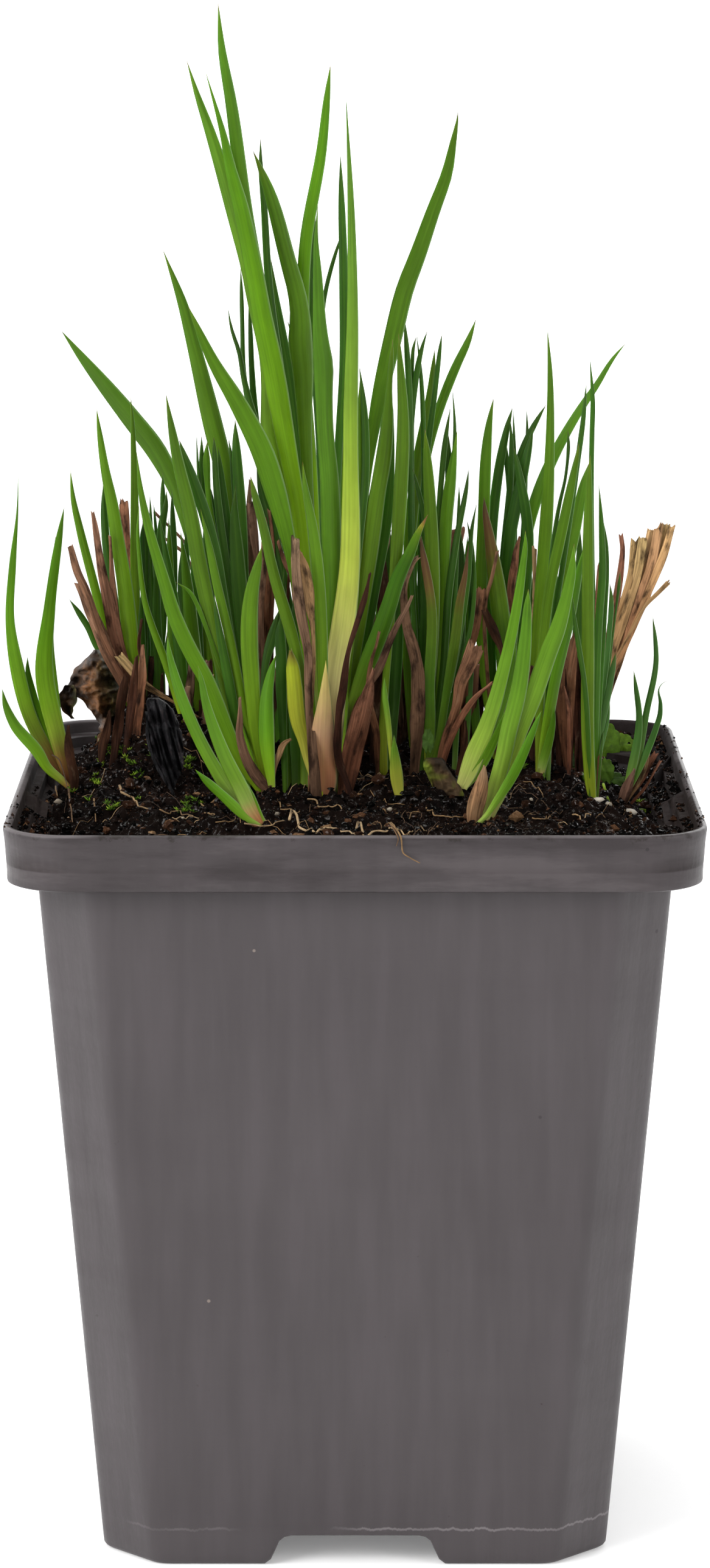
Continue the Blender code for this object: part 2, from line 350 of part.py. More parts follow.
    ("back_right_small_leaves", "backRight", 4.6, 4, [(865, 672, 0), (866, 700, 4), (866, 730, 5),
        (864, 780, 6), (858, 880, 7), (846, 1050, 7), (834, 1240, 5)]),
    ("back_right_small_leaves", "backRight", 4, 4, [(843, 671, 0), (844, 700, 3), (845, 735, 5),
        (846, 790, 6), (846, 900, 7), (840, 1060, 7), (830, 1240, 5)]),
    ("back_right_small_leaves", "backRight", 3.2, 4, [(827, 711, 0), (830, 735, 6), (834, 765, 8),
        (836, 800, 8), (836, 900, 8), (832, 1050, 7), (828, 1240, 5)]),
    ("right_leaf_1", "right", 0, -5, [(970, 748, 0), (968, 780, 8), (967, 820, 12), (966, 860, 14),
        (965, 900, 16), (965, 950, 18), (965, 1000, 19), (966, 1060, 20), (966, 1120, 20), (966, 1180, 20),
        (967, 1240, 19), (971, 1295, 16), (975, 1322, 9)]),
    ("right_small_leaves", "right", 1.2, 5, [(984, 795, 0), (986, 820, 4), (988, 860, 8), (990, 900, 10),
        (990, 940, 12), (987, 980, 13), (984, 1020, 13), (982, 1060, 13), (981, 1100, 13), (980, 1150, 12),
        (978, 1210, 12), (978, 1316, 7)]),
    ("right_small_leaves", "right", 4.2, 5, [(969, 586, 0), (971, 610, 4), (973, 640, 6), (974, 670, 8),
        (973, 700, 8), (972, 730, 8), (971, 800, 9), (972, 900, 10), (974, 1050, 10), (977, 1200, 9),
        (978, 1312, 6)]),
    ("right_back_leaves", "rightBack", 0.6, 5, [(951, 729, 0), (949, 745, 6), (944, 770, 10),
        (938, 800, 13), (931, 830, 15), (925, 860, 16), (917, 900, 17), (908, 940, 17), (901, 980, 17),
        (895, 1030, 16), (890, 1090, 15), (886, 1170, 13), (884, 1284, 8)]),
    ("right_leaf_5", "rightBack", 3.8, -5, [(967, 762, 0), (960, 790, 11), (954, 820, 16), (948, 850, 18),
        (942, 880, 19), (936, 910, 18), (929, 945, 17), (920, 990, 16), (910, 1050, 15), (900, 1120, 14),
        (888, 1282, 8)]),
    ("right_back_leaves", "rightBack", -0.4, 5, [(958, 902, 0), (953, 930, 9), (948, 960, 13),
        (942, 990, 15), (935, 1020, 17), (928, 1050, 18), (921, 1080, 18), (912, 1120, 18), (905, 1160, 18),
        (898, 1200, 17), (889, 1250, 14), (884, 1288, 9)]),
    ("right_back_leaves", "rightBack", -1.2, 5, [(911, 1158, 0), (909, 1180, 7), (903, 1210, 13),
        (896, 1240, 15), (888, 1270, 13), (884, 1290, 9)]),
    ("right_leaf_1", "right", -0.9, 5, [(940, 976, 0), (942, 1000, 4), (946, 1030, 6), (951, 1060, 7),
        (956, 1090, 8), (961, 1130, 8), (965, 1200, 8), (970, 1315, 6)]),
    ("right_back_leaves", "rightBack", 1.4, 4, [(963, 630, 0), (961, 660, 5), (958, 690, 7), (955, 720, 8),
        (951, 750, 8), (946, 780, 9), (939, 830, 9), (929, 900, 9), (912, 1010, 9), (892, 1280, 6)]),
    ("right_back_leaves", "rightBack", 2, 4, [(933, 708, 0), (934, 725, 5), (932, 760, 5), (928, 790, 5),
        (921, 820, 6), (914, 860, 7), (905, 930, 8), (896, 1050, 8), (888, 1280, 5)]),
    ("right_small_leaves", "right", 2, 4, [(992, 859, 0), (995, 885, 5), (997, 915, 7), (997, 945, 7),
        (995, 985, 7), (991, 1050, 7), (984, 1180, 7), (980, 1310, 5)]),
    ("right_small_leaves", "right", 2.6, 4, [(1012, 1070, 0), (1008, 1092, 8), (1003, 1120, 10),
        (998, 1150, 11), (992, 1180, 10), (986, 1210, 9), (980, 1255, 8), (978, 1305, 6)]),
    ("right_small_leaves", "right", 3.2, 4, [(1002, 1150, 0), (999, 1175, 6), (993, 1205, 7),
        (987, 1235, 6), (981, 1300, 5)]),
    ("right_small_leaves", "right", 3.6, 4, [(1002, 958, 0), (1004, 980, 6), (1004, 1010, 8),
        (1001, 1040, 8), (994, 1100, 8), (984, 1200, 7), (980, 1305, 5)]),
    ("front_right_leaf_1", "frontRight", 1, 5, [(943, 893, 0), (941, 910, 7), (939, 940, 14),
        (932, 975, 18), (923, 1010, 22), (914, 1040, 26), (902, 1070, 28), (890, 1105, 30), (877, 1142, 29),
        (862, 1180, 26), (850, 1213, 24), (837, 1250, 21), (820, 1290, 17), (802, 1332, 9)]),
    ("front_right_leaf_2", "frontRight", 0, -5, [(868, 968, 0), (867, 985, 8), (866, 1010, 14),
        (864, 1040, 18), (860, 1080, 22), (856, 1110, 24), (851, 1140, 26), (844, 1170, 27),
        (836, 1200, 27), (827, 1240, 24), (818, 1270, 20), (808, 1305, 15), (797, 1338, 8)]),
    ("front_right_leaf_3", "frontRight", -1, 5, [(889, 1168, 0), (882, 1185, 7), (874, 1205, 11),
        (866, 1225, 14), (857, 1245, 16), (846, 1268, 17), (832, 1292, 16), (815, 1317, 12), (799, 1340, 9),
        (786, 1353, 8)]),
    ("front_right_leaf_4", "frontRight2", 0, 5, [(863, 872, 0), (863, 895, 7), (859, 930, 11),
        (854, 965, 13), (848, 1000, 15), (841, 1040, 17), (832, 1080, 19), (823, 1120, 21), (811, 1160, 23),
        (797, 1200, 25), (781, 1240, 23), (767, 1272, 17), (757, 1294, 9)]),
    ("front_right_leaf_4", "frontRight2", -1, 5, [(829, 1168, 0), (822, 1190, 7), (812, 1215, 12),
        (800, 1240, 16), (785, 1265, 16), (768, 1288, 11), (759, 1298, 7)]),
    ("front_right_leaf_4", "frontRight2", 1, 5, [(848, 1056, 0), (844, 1085, 7), (838, 1115, 11),
        (829, 1145, 14), (818, 1175, 16), (806, 1205, 16), (790, 1240, 15), (764, 1288, 9)]),
    ("far_right_leaves", "farRight", 1, -20, [(1072, 1012, 0), (1076, 1045, 6), (1078, 1080, 8),
        (1075, 1110, 9), (1069, 1140, 10), (1062, 1170, 10), (1056, 1200, 10), (1050, 1235, 10),
        (1042, 1270, 10), (1030, 1305, 8)]),
    ("far_right_leaves", "farRight", 0, -20, [(1041, 1101, 0), (1044, 1125, 6), (1048, 1150, 8),
        (1050, 1180, 10), (1048, 1210, 12), (1043, 1240, 13), (1036, 1270, 13), (1026, 1306, 9)]),
    ("far_right_leaves", "farRight", -1, -20, [(1095, 1119, 0.6), (1088, 1123, 1), (1083, 1130, 1.6),
        (1082, 1140, 3), (1085, 1155, 6), (1084, 1175, 8), (1078, 1195, 9), (1068, 1220, 10),
        (1057, 1245, 10), (1047, 1267, 10), (1036, 1290, 9), (1026, 1310, 6)]),
    ("dead_left_sheaths", "left", -3.2, 8, [(152, 843, 5), (155, 860, 8), (164, 920, 12), (171, 960, 16),
        (180, 1000, 20), (190, 1050, 22), (204, 1095, 18), (216, 1145, 10)]),
    ("dead_left_sheaths", "left", -4.4, 8, [(130, 958, 15), (138, 975, 17), (147, 1000, 19),
        (162, 1035, 21), (176, 1070, 22), (192, 1103, 18), (208, 1140, 10)]),
    ("dead_left_sheaths", "left", -5.2, 8, [(115, 898, 9), (127, 940, 12), (140, 968, 12), (152, 1000, 12),
        (170, 1050, 11), (205, 1120, 8)]),
    ("dead_left_sheaths", "left", -2.8, 8, [(180, 880, 3), (183, 940, 8), (186, 980, 11), (192, 1030, 13),
        (203, 1080, 12), (216, 1130, 8)]),
    ("dead_main_1", "main", -3.4, 4, [(485, 888, 14), (485, 920, 14), (488, 960, 15), (493, 1000, 17),
        (502, 1040, 17), (509, 1080, 15), (511, 1120, 14), (514, 1160, 17), (517, 1200, 20),
        (520, 1250, 24), (526, 1299, 18)]),
    ("centre_left_leaf_6", "centreLeft", -2.2, 4, [(394, 1148, 3), (394, 1180, 9), (393, 1203, 12),
        (400, 1235, 14), (412, 1262, 17), (428, 1284, 18), (446, 1303, 12)]),
    ("middle_leaf_1", "middle", -3, 4, [(602, 1133, 3), (596, 1150, 16), (588, 1175, 22), (579, 1205, 20),
        (570, 1235, 16), (563, 1262, 10)]),
    ("dead_curl", "middleRight", -1, 10, [(686, 917, 6), (680, 922, 9), (673, 936, 10), (666, 955, 11),
        (663, 975, 11), (664, 1000, 12), (668, 1025, 14), (675, 1050, 17), (682, 1075, 20), (686, 1100, 20),
        (687, 1130, 21), (687, 1160, 22), (686, 1200, 23), (682, 1248, 16)]),
    ("dead_torn_strips", "middleRight", -1.4, -8, [(780, 1064, 27), (775, 1080, 26), (766, 1100, 23),
        (756, 1125, 19), (752, 1150, 17), (746, 1172, 14), (738, 1195, 13), (730, 1220, 13),
        (722, 1252, 9)]),
    ("dead_torn_strips", "middleRight", -2.4, -8, [(807, 1123, 2), (797, 1132, 5), (785, 1142, 8),
        (772, 1158, 10), (760, 1175, 10), (750, 1195, 10), (740, 1215, 10), (728, 1252, 9)]),
    ("dead_back_right", "rightBack", 5, 5, [(945, 1040, 4), (938, 1070, 20), (932, 1100, 29),
        (928, 1140, 31), (928, 1180, 27), (930, 1220, 20), (934, 1270, 12)]),
    ("dead_right", "right", 8, -12, [(1076, 876, 56), (1066, 905, 62), (1056, 935, 58), (1042, 970, 48),
        (1028, 1005, 38), (1016, 1040, 30), (1006, 1075, 22), (996, 1110, 16), (988, 1160, 12),
        (982, 1300, 8)]),
    ("front_right_leaf_3", "frontRight", -2, 5, [(794, 1262, 3), (791, 1277, 13), (788, 1295, 17),
        (784, 1315, 19), (780, 1335, 19), (778, 1356, 14)]),
    ("curled_dead_leaf", "curl", 0, -12, [(157, 1070, 3), (150, 1085, 22), (142, 1105, 42), (137, 1130, 62),
        (135, 1155, 74), (140, 1178, 76), (148, 1196, 66)]),
]


def pointInSpace(column, row, depth):
    """Place in mm of a pixel at a chosen depth, and the size of a pixel there."""
    rayY = focalPixels * math.cos(cameraPitch) - (row - imageCentre[1]) * math.sin(cameraPitch)
    rayZ = -focalPixels * math.sin(cameraPitch) - (row - imageCentre[1]) * math.cos(cameraPitch)
    scale = (depth + cameraDistance) / rayY
    return Vector(((column - imageCentre[0]) * scale, depth, cameraHeight + rayZ * scale)), scale


def soilHeight(x, y):
    """Height of the soil: a level with bell-shaped mounds and hollows."""
    height = soilLevel
    for mx, my, rx, ry, rise in soilMounds:
        height += rise * math.exp(-((x - mx) / rx) ** 2 - ((y - my) / ry) ** 2)
    return height


def makeObject(name, bm, color, roughness, smooth=True):
    """Turns a bmesh in mm into an object in metres with its own material."""
    bmesh.ops.recalc_face_normals(bm, faces=bm.faces)
    bmesh.ops.scale(bm, vec=(0.001, 0.001, 0.001), verts=bm.verts)
    mesh = bpy.data.meshes.new(name)
    bm.to_mesh(mesh)
    bm.free()
    if smooth:
        mesh.shade_smooth()
        mesh.set_sharp_from_angle(angle=math.radians(35))
    material = bpy.data.materials.new(name + "_material")
    material.use_nodes = True
    shader = material.node_tree.nodes["Principled BSDF"]
    shader.inputs["Base Color"].default_value = (*color, 1.0)
    shader.inputs["Roughness"].default_value = roughness
    shader.inputs["Metallic"].default_value = 0.0
    mesh.materials.append(material)
    item = bpy.data.objects.new(name, mesh)
    bpy.context.collection.objects.link(item)
    return item


def roundCorner(half, radius):
    """Six points round the +X +Y corner on a quarter circle."""
    points = []
    for step in range(6):
        angle = math.radians(18 * step)
        points.append((half - radius + radius * math.cos(angle), half - radius + radius * math.sin(angle)))
    return points


def chamferCorner(half, chamfer, soft):
    """Six points round the +X +Y corner on a flat chamfer with two softened edges."""
    inner = half - chamfer
    slant = soft * 0.7071
    dip = soft * 0.27
    return [
        (half, inner - soft),
        (half - dip, inner),
        (half - slant, inner + slant),
        (inner + slant, half - slant),
        (inner, half - dip),
        (inner - soft, half),
    ]


def ringOf(corner, z):
    """A closed ring from one corner's points, turned to the four corners."""
    ring = []
    for quarter in range(4):
        c = round(math.cos(quarter * math.pi / 2))
        s = round(math.sin(quarter * math.pi / 2))
        for x, y in corner:
            ring.append(Vector((x * c - y * s, x * s + y * c, z)))
    return ring


def loftRings(bm, rings):
    """Joins rings in order with quads and closes both ends."""
    rows = []
    for ring in rings:
        rows.append([bm.verts.new(point) for point in ring])
    count = len(rows[0])
    for low, high in zip(rows, rows[1:]):
        for i in range(count):
            bm.faces.new((low[i], low[(i + 1) % count], high[(i + 1) % count], high[i]))
    bm.faces.new(rows[0][::-1])
    bm.faces.new(rows[-1])
    return rows


def bodyHalf(z):
    """Half width of the tapered body at a height."""
    return bodyFootHalf + (bodyTopHalf - bodyFootHalf) * z / 92.0


def makePot():
    """The moulded pot: outside up the body, round the rim band, down the stepped inside to the floor."""
    innerChamfer = bodyChamfer - 0.586 * wallThickness
    skirt = 2.4
    rings = [ringOf(chamferCorner(bodyFootHalf - 0.7, bodyChamfer, chamferSoftness), 0.0)]
    for z in (0.7, 46.0, 94.6):
        rings.append(ringOf(chamferCorner(bodyHalf(z), bodyChamfer, chamferSoftness), z))
    rings.append(ringOf(roundCorner(rimHalf - skirt + 0.8, rimCornerRadius - 1.2), 94.6))
    rings.append(ringOf(roundCorner(rimHalf - skirt + 0.8, rimCornerRadius - 1.2), rimLowerEdge))
    rings.append(ringOf(roundCorner(rimHalf - 0.75, rimCornerRadius), rimLowerEdge))
    rings.append(ringOf(roundCorner(rimHalf - 0.45, rimCornerRadius), rimLowerEdge + 0.8))
    rings.append(ringOf(roundCorner(rimHalf, rimCornerRadius), potHeight - 0.4))
    rings.append(ringOf(roundCorner(rimHalf - 0.3, rimCornerRadius), potHeight))
    rings.append(ringOf(roundCorner(rimHalf - 0.9, rimCornerRadius - 0.8), potHeight))
    rings.append(ringOf(roundCorner(rimHalf - 1.2, rimCornerRadius - 1.2), potHeight - 0.4))
    rings.append(ringOf(roundCorner(rimHalf - 1.3, rimCornerRadius - 1.2), 98.2))
    rings.append(ringOf(roundCorner(rimHalf - 2.6, rimCornerRadius - 1.6), 98.1))
    rings.append(ringOf(roundCorner(rimHalf - 2.7, rimCornerRadius - 1.6), 96.4))
    innerTop = bodyHalf(96.0) - wallThickness
    rings.append(ringOf(chamferCorner(innerTop, innerChamfer, chamferSoftness), 96.3))
    innerFoot = bodyHalf(floorTop) - wallThickness
    rings.append(ringOf(chamferCorner(innerFoot, innerChamfer, chamferSoftness), floorTop))
    bm = bmesh.new()
    loftRings(bm, rings)
    pot = makeObject("pot", bm, (0.112, 0.098, 0.104), 0.45)

    # Two crossing channels under the floor leave the four corner feet, with an S-curved arch on each side
    halfArch = [(12.3, -1.0), (11.9, 0.0), (11.1, 0.6), (10.5, 1.9), (10.0, 3.1), (9.3, 3.7), (8.4, archHeight)]
    outline = halfArch + [(-x, z) for x, z in reversed(halfArch)]
    for axis in ("x", "y"):
        bm = bmesh.new()
        ends = []
        for reach in (-40.0, 40.0):
            if axis == "y":
                ends.append([bm.verts.new((x, reach, z)) for x, z in outline])
            else:
                ends.append([bm.verts.new((reach, x, z)) for x, z in outline])
        count = len(outline)
        for i in range(count):
            j = (i + 1) % count
            bm.faces.new((ends[0][i], ends[0][j], ends[1][j], ends[1][i]))
        bm.faces.new(ends[0][::-1])
        bm.faces.new(ends[1])
        cutter = makeObject("arch_cutter_" + axis, bm, (0.5, 0.5, 0.5), 0.5, False)
        cutter.hide_render = True
        cutter.display_type = "WIRE"
        cut = pot.modifiers.new("arch_" + axis, "BOOLEAN")
        cut.operation = "DIFFERENCE"
        cut.solver = "EXACT"
        cut.object = cutter
    return pot


def clipToCorner(x, y, half, chamfer):
    """Pulls a point of a square grid in so that it stays inside the chamfered corner."""
    reach = abs(x) + abs(y)
    limit = 2 * half - chamfer
    shrink = min(1.0, limit / reach) if reach > 0 else 1.0
    return x * shrink, y * shrink


def makeSoil():
    """The soil: a grid of heights over a tapered body, with a lip that lies over the front ledge."""
    xs = [soilHalf * (2 * i / soilCells - 1) for i in range(soilCells + 1)]
    frontRows = [(soilFrontEdge, 0.93, 98.55), (-42.0, 0.93, 98.55), (-41.9, 0.9, 96.8), (-39.3, 0.84, 96.8)]
    bm = bmesh.new()
    top = []
    low = []
    for y, squeeze, bottom in frontRows:
        points = [(x * squeeze, y) for x in xs]
        top.append([bm.verts.new((px, py, max(soilHeight(px, py), 98.95))) for px, py in points])
        low.append([bm.verts.new((px, py, bottom)) for px, py in points])
    for y in xs:
        points = [clipToCorner(x, y, soilHalf, 9.0) for x in xs]
        top.append([bm.verts.new((px, py, soilHeight(px, py))) for px, py in points])
        low.append([bm.verts.new((px * 0.805, py * 0.805, floorTop + soilGap)) for px, py in points])
    rows = len(top)
    columns = len(xs)
    for i in range(rows - 1):
        for j in range(columns - 1):
            bm.faces.new((top[i][j], top[i][j + 1], top[i + 1][j + 1], top[i + 1][j]))
            bm.faces.new((low[i][j], low[i + 1][j], low[i + 1][j + 1], low[i][j + 1]))
    border = [(0, j) for j in range(columns)] + [(i, columns - 1) for i in range(1, rows)]
    border += [(rows - 1, j) for j in range(columns - 2, -1, -1)] + [(i, 0) for i in range(rows - 2, 0, -1)]
    for (i, j), (k, m) in zip(border, border[1:] + border[:1]):
        bm.faces.new((top[i][j], low[i][j], low[k][m], top[k][m]))
    return makeObject("soil", bm, (0.022, 0.015, 0.012), 0.95)


def smoothLine(points, count):
    """A smooth line through the hand-read points, sampled evenly, closer together near the tip."""
    data = np.array(points, dtype=float)
    steps = np.hypot(np.diff(data[:, 0]), np.diff(data[:, 1]))
    along = np.concatenate(([0.0], np.cumsum(steps)))
    slopes = np.gradient(data, along, axis=0)
    at = along[-1] * np.linspace(0.0, 1.0, count) ** 1.15
    index = np.clip(np.searchsorted(along, at, side="right") - 1, 0, len(along) - 2)
    gap = (along[index + 1] - along[index])[:, None]
    u = (at - along[index])[:, None] / gap
    line = (2 * u**3 - 3 * u**2 + 1) * data[index] + (u**3 - 2 * u**2 + u) * gap * slopes[index]
    return line + (3 * u**2 - 2 * u**3) * data[index + 1] + (u**3 - u**2) * gap * slopes[index + 1]


def depthOf(shoot, rank, row):
    """Depth in mm of a leaf of a shoot at a row: the ranks spread apart and the shoot leans with height."""
    baseDepth, lean = shoots[shoot]
    height = max(0.0, (1290.0 - row) * 0.08)
    return baseDepth + (layerStep + layerSpread * height) * rank + lean * height


def commonBase(members):
    """Column, row and rank of the base that blades of one node share, just above the soil."""
    shoot = members[0][0]
    column = sum(points[-1][0] for name, rank, turn, points in members) / len(members)
    rank = sum(member[1] for member in members) / len(members)
    row = max(points[-1][1] for name, rank, turn, points in members) + 40
    above = -1.0
    while above < 0.0:
        row -= 1
        place, scale = pointInSpace(column, row, depthOf(shoot, rank, row))
        above = place.z - soilHeight(place.x, place.y) - baseClearance
    return column, row, rank


def bladeLine(shoot, rank, points, base, lift):
    """Places in mm and widths in mm down a blade, ended just above the soil.

    base is the column, row and rank of a base shared with other blades, or None."""
    if base:
        kept = [point for point in points[:-1] if point[1] < base[1] - 25]
        points = kept + [(base[0], base[1], points[-1][2])]
    places = []
    for column, row, width in smoothLine(points, 40):
        spread = rank
        if base:
            spread = base[2] + (rank - base[2]) * min(1.0, max(0.0, (base[1] - row) * 0.08 / fuseHeight))
        place, scale = pointInSpace(column, row, depthOf(shoot, spread, row))
        places.append((place, width * scale))
    end, width = places[-1]
    down = (end - places[-2][0]).normalized()
    down.z = min(down.z, -0.5)
    for step in range(1, 25):
        places.append((end + down * 0.5 * step, width))
    above = [place.z - soilHeight(place.x, place.y) - baseClearance - lift for place, width in places]
    for index in range(9, len(places)):
        if above[index] < 0.0:
            share = above[index - 1] / (above[index - 1] - above[index])
            last = places[index - 1][0].lerp(places[index][0], share)
            return places[:index] + [(last, places[index][1])]
    return places


def bladeRings(line, turn, sheath):
    """Four-sided rings across the blade, flat across the view and turned about its own line.

    With a sheath, the last few mm swell to the thick base that holds the other blades of the node."""
    steps = [(line[i + 1][0] - line[i][0]).length for i in range(len(line) - 1)]
    along = np.concatenate(([0.0], np.cumsum(steps)))
    length = along[-1]
    count = max(fewestRings, round(length / ringSpacing))
    stops = [length * (step / count) ** 1.1 for step in range(1, count + 1)]
    if sheath:
        stops = [stop for stop in stops if stop < length - sheathLength - 2.0] + [length - sheathLength, length]
    rings = []
    for stop in stops:
        index = min(int(np.searchsorted(along, stop, side="right")) - 1, len(steps) - 1)
        share = (stop - along[index]) / steps[index]
        here = line[index][0].lerp(line[index + 1][0], share)
        width = line[index][1] + (line[index + 1][1] - line[index][1]) * share
        direction = (line[min(index + 2, len(steps))][0] - line[max(index - 1, 0)][0]).normalized()
        across = direction.cross(Vector((0.0, 1.0, 0.0))).normalized()
        out = across.cross(direction).normalized()
        angle = math.radians(turn)
        side = across * math.cos(angle) + out * math.sin(angle)
        face = out * math.cos(angle) - across * math.sin(angle)
        half = 0.5 * max(width, 0.3) / math.cos(angle)
        thick = 0.5 * max(leastThickness, width * bladeThickness)
        if sheath and stop == length:
            half = max(half, sheathHalf)
            thick = sheathHalf * 0.7
        rings.append([here + side * half, here + face * thick, here - side * half, here - face * thick])
    return rings


def addBlade(bm, tip, rings):
    """A closed blade: a point at the tip, four-sided rings and a flat end."""
    tipVert = bm.verts.new(tip)
    rows = [[bm.verts.new(point) for point in ring] for ring in rings]
    for i in range(4):
        j = (i + 1) % 4
        bm.faces.new((tipVert, rows[0][i], rows[0][j]))
        for low, high in zip(rows, rows[1:]):
            bm.faces.new((low[i], high[i], high[j], low[j]))
    bm.faces.new(rows[-1])


def bladeColor(node):
    """Colour by the kind of blade."""
    if node.startswith("dead"):
        return (0.165, 0.088, 0.055)
    if node.startswith(("front", "far", "main")):
        return (0.155, 0.300, 0.035)
    return (0.098, 0.215, 0.040)


def makeBlades():
    """One object for each node; blades that share a node are united by exact unions."""
    groups = {}
    for node, shoot, rank, turn, points in blades:
        groups.setdefault(node, []).append((shoot, rank, turn, points))
    for node, members in groups.items():
        base = commonBase(members) if len(members) > 1 else None
        parts = []
        for number, (shoot, rank, turn, points) in enumerate(members):
            first = number == 0
            line = bladeLine(shoot, rank, points, base, 0.0 if first else 0.5 + 0.03 * number)
            rings = bladeRings(line, turn + 2.3 * number, bool(base) and first)
            bm = bmesh.new()
            addBlade(bm, line[0][0], rings)
            name = node if first else node + "_part_" + str(number)
            parts.append(makeObject(name, bm, bladeColor(node), 0.42))
        if base:
            holder = bpy.data.collections.new(node + "_parts")
            bpy.context.scene.collection.children.link(holder)
            for part in parts[1:]:
                bpy.context.collection.objects.unlink(part)
                holder.objects.link(part)
                part.hide_render = True
                part.display_type = "WIRE"
            union = parts[0].modifiers.new("union", "BOOLEAN")
            union.operation = "UNION"
            union.solver = "EXACT"
            union.operand_type = "COLLECTION"
            union.collection = holder


def makeBark():
    """The upright chip of bark: its outline read from the photograph, as a plate with a bevelled back."""
    bm = bmesh.new()
    front = []
    back = []
    for column, row in barkOutline:
        place, scale = pointInSpace(column, row, barkDepth)
        front.append(place)
    centre = sum(front, Vector()) / len(front)
    for place in front:
        back.append(centre + (place - centre) * 0.86 + Vector((0.0, barkThickness, 0.0)))
    frontVerts = [bm.verts.new(point) for point in front]
    backVerts = [bm.verts.new(point) for point in back]
    count = len(front)
    bm.faces.new(frontVerts)
    bm.faces.new(backVerts[::-1])
    for i in range(count):
        j = (i + 1) % count
        bm.faces.new((frontVerts[i], backVerts[i], backVerts[j], frontVerts[j]))
    return makeObject("bark_chip", bm, (0.030, 0.032, 0.040), 0.8, False)


def makeStump():
    """The small mossy stump: a leaning tapered peg with a domed top."""
    foot, scale = pointInSpace(*stumpFoot, stumpDepth)
    head, scale = pointInSpace(*stumpHead, stumpDepth + 0.6)
    foot.z = soilHeight(foot.x, foot.y) + 0.4
    bm = bmesh.new()
    rings = []
    for share, radius in ((0.0, 2.1), (0.45, 1.65), (0.9, 1.45), (1.0, 0.8)):
        centre = foot.lerp(head, share)
        ring = []
        for step in range(10):
            angle = math.radians(36 * step)
            ring.append(centre + Vector((radius * math.cos(angle), radius * math.sin(angle), 0.0)))
        rings.append(ring)
    loftRings(bm, rings)
    return makeObject("mossy_stump", bm, (0.060, 0.085, 0.030), 0.9)


for item in list(bpy.data.objects):
    bpy.data.objects.remove(item, do_unlink=True)

makePot()
makeSoil()
makeBlades()
makeBark()
makeStump()
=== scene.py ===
import math

import bpy
import numpy as np
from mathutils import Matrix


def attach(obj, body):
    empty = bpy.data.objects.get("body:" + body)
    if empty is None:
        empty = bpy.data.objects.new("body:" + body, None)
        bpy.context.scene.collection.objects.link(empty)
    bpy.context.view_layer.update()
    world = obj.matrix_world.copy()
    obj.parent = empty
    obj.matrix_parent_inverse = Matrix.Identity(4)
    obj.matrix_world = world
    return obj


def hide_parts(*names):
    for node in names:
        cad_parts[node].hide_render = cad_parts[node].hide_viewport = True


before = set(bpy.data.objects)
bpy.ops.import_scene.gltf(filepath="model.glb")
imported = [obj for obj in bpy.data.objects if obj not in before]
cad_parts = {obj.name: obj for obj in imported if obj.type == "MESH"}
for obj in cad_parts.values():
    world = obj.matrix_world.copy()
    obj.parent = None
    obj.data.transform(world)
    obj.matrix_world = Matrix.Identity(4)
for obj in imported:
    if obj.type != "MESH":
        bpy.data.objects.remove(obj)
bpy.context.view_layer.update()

# Potted dwarf rush: sword-leaved marsh plant in a square nursery pot, 9 x 9 x 10 cm.
# Places are worked out in mm; makePiece turns them to metres.
print("frame loaded, nodes:", len(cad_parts))

# The photograph's camera, in mm and in pixels of its 1167 x 2576 frame
photo = {
    "distance": 672.5,          # camera to the pot's centre line
    "height": 219.65,           # above the surface that the pot stands on
    "pitch": 10.204,            # degrees down
    "focal": 8323.9,            # pixels
    "centre": (583.0, 1288.0),
    "rows": 2576,
    "sensor": 36.0,             # mm, along the rows
}
pitch = math.radians(photo["pitch"])


def spaceFromPhoto(columns, rows, depths):
    # Ray through the pixel, stretched until its y is the chosen depth:
    # camera + ray * (depth + distance) / ray y. Also gives the mm that one pixel covers there
    columns, rows, depths = np.broadcast_arrays(np.asarray(columns, float), rows, depths)
    rayY = photo["focal"] * math.cos(pitch) - (rows - photo["centre"][1]) * math.sin(pitch)
    rayZ = -photo["focal"] * math.sin(pitch) - (rows - photo["centre"][1]) * math.cos(pitch)
    scale = (depths + photo["distance"]) / rayY
    places = [(columns - photo["centre"][0]) * scale, depths, photo["height"] + rayZ * scale]
    return np.stack(places, axis=-1), scale


cameraData = bpy.data.cameras.new("photo_camera")
cameraData.sensor_fit = "VERTICAL"
cameraData.sensor_height = photo["sensor"]
cameraData.lens = photo["focal"] * photo["sensor"] / photo["rows"]
cameraData.clip_start = 0.01
camera = bpy.data.objects.new("photo_camera", cameraData)
camera.location = (0.0, -photo["distance"] / 1000, photo["height"] / 1000)
camera.rotation_euler = (math.radians(90 - photo["pitch"]), 0.0, 0.0)
bpy.context.scene.collection.objects.link(camera)
bpy.context.scene.camera = camera

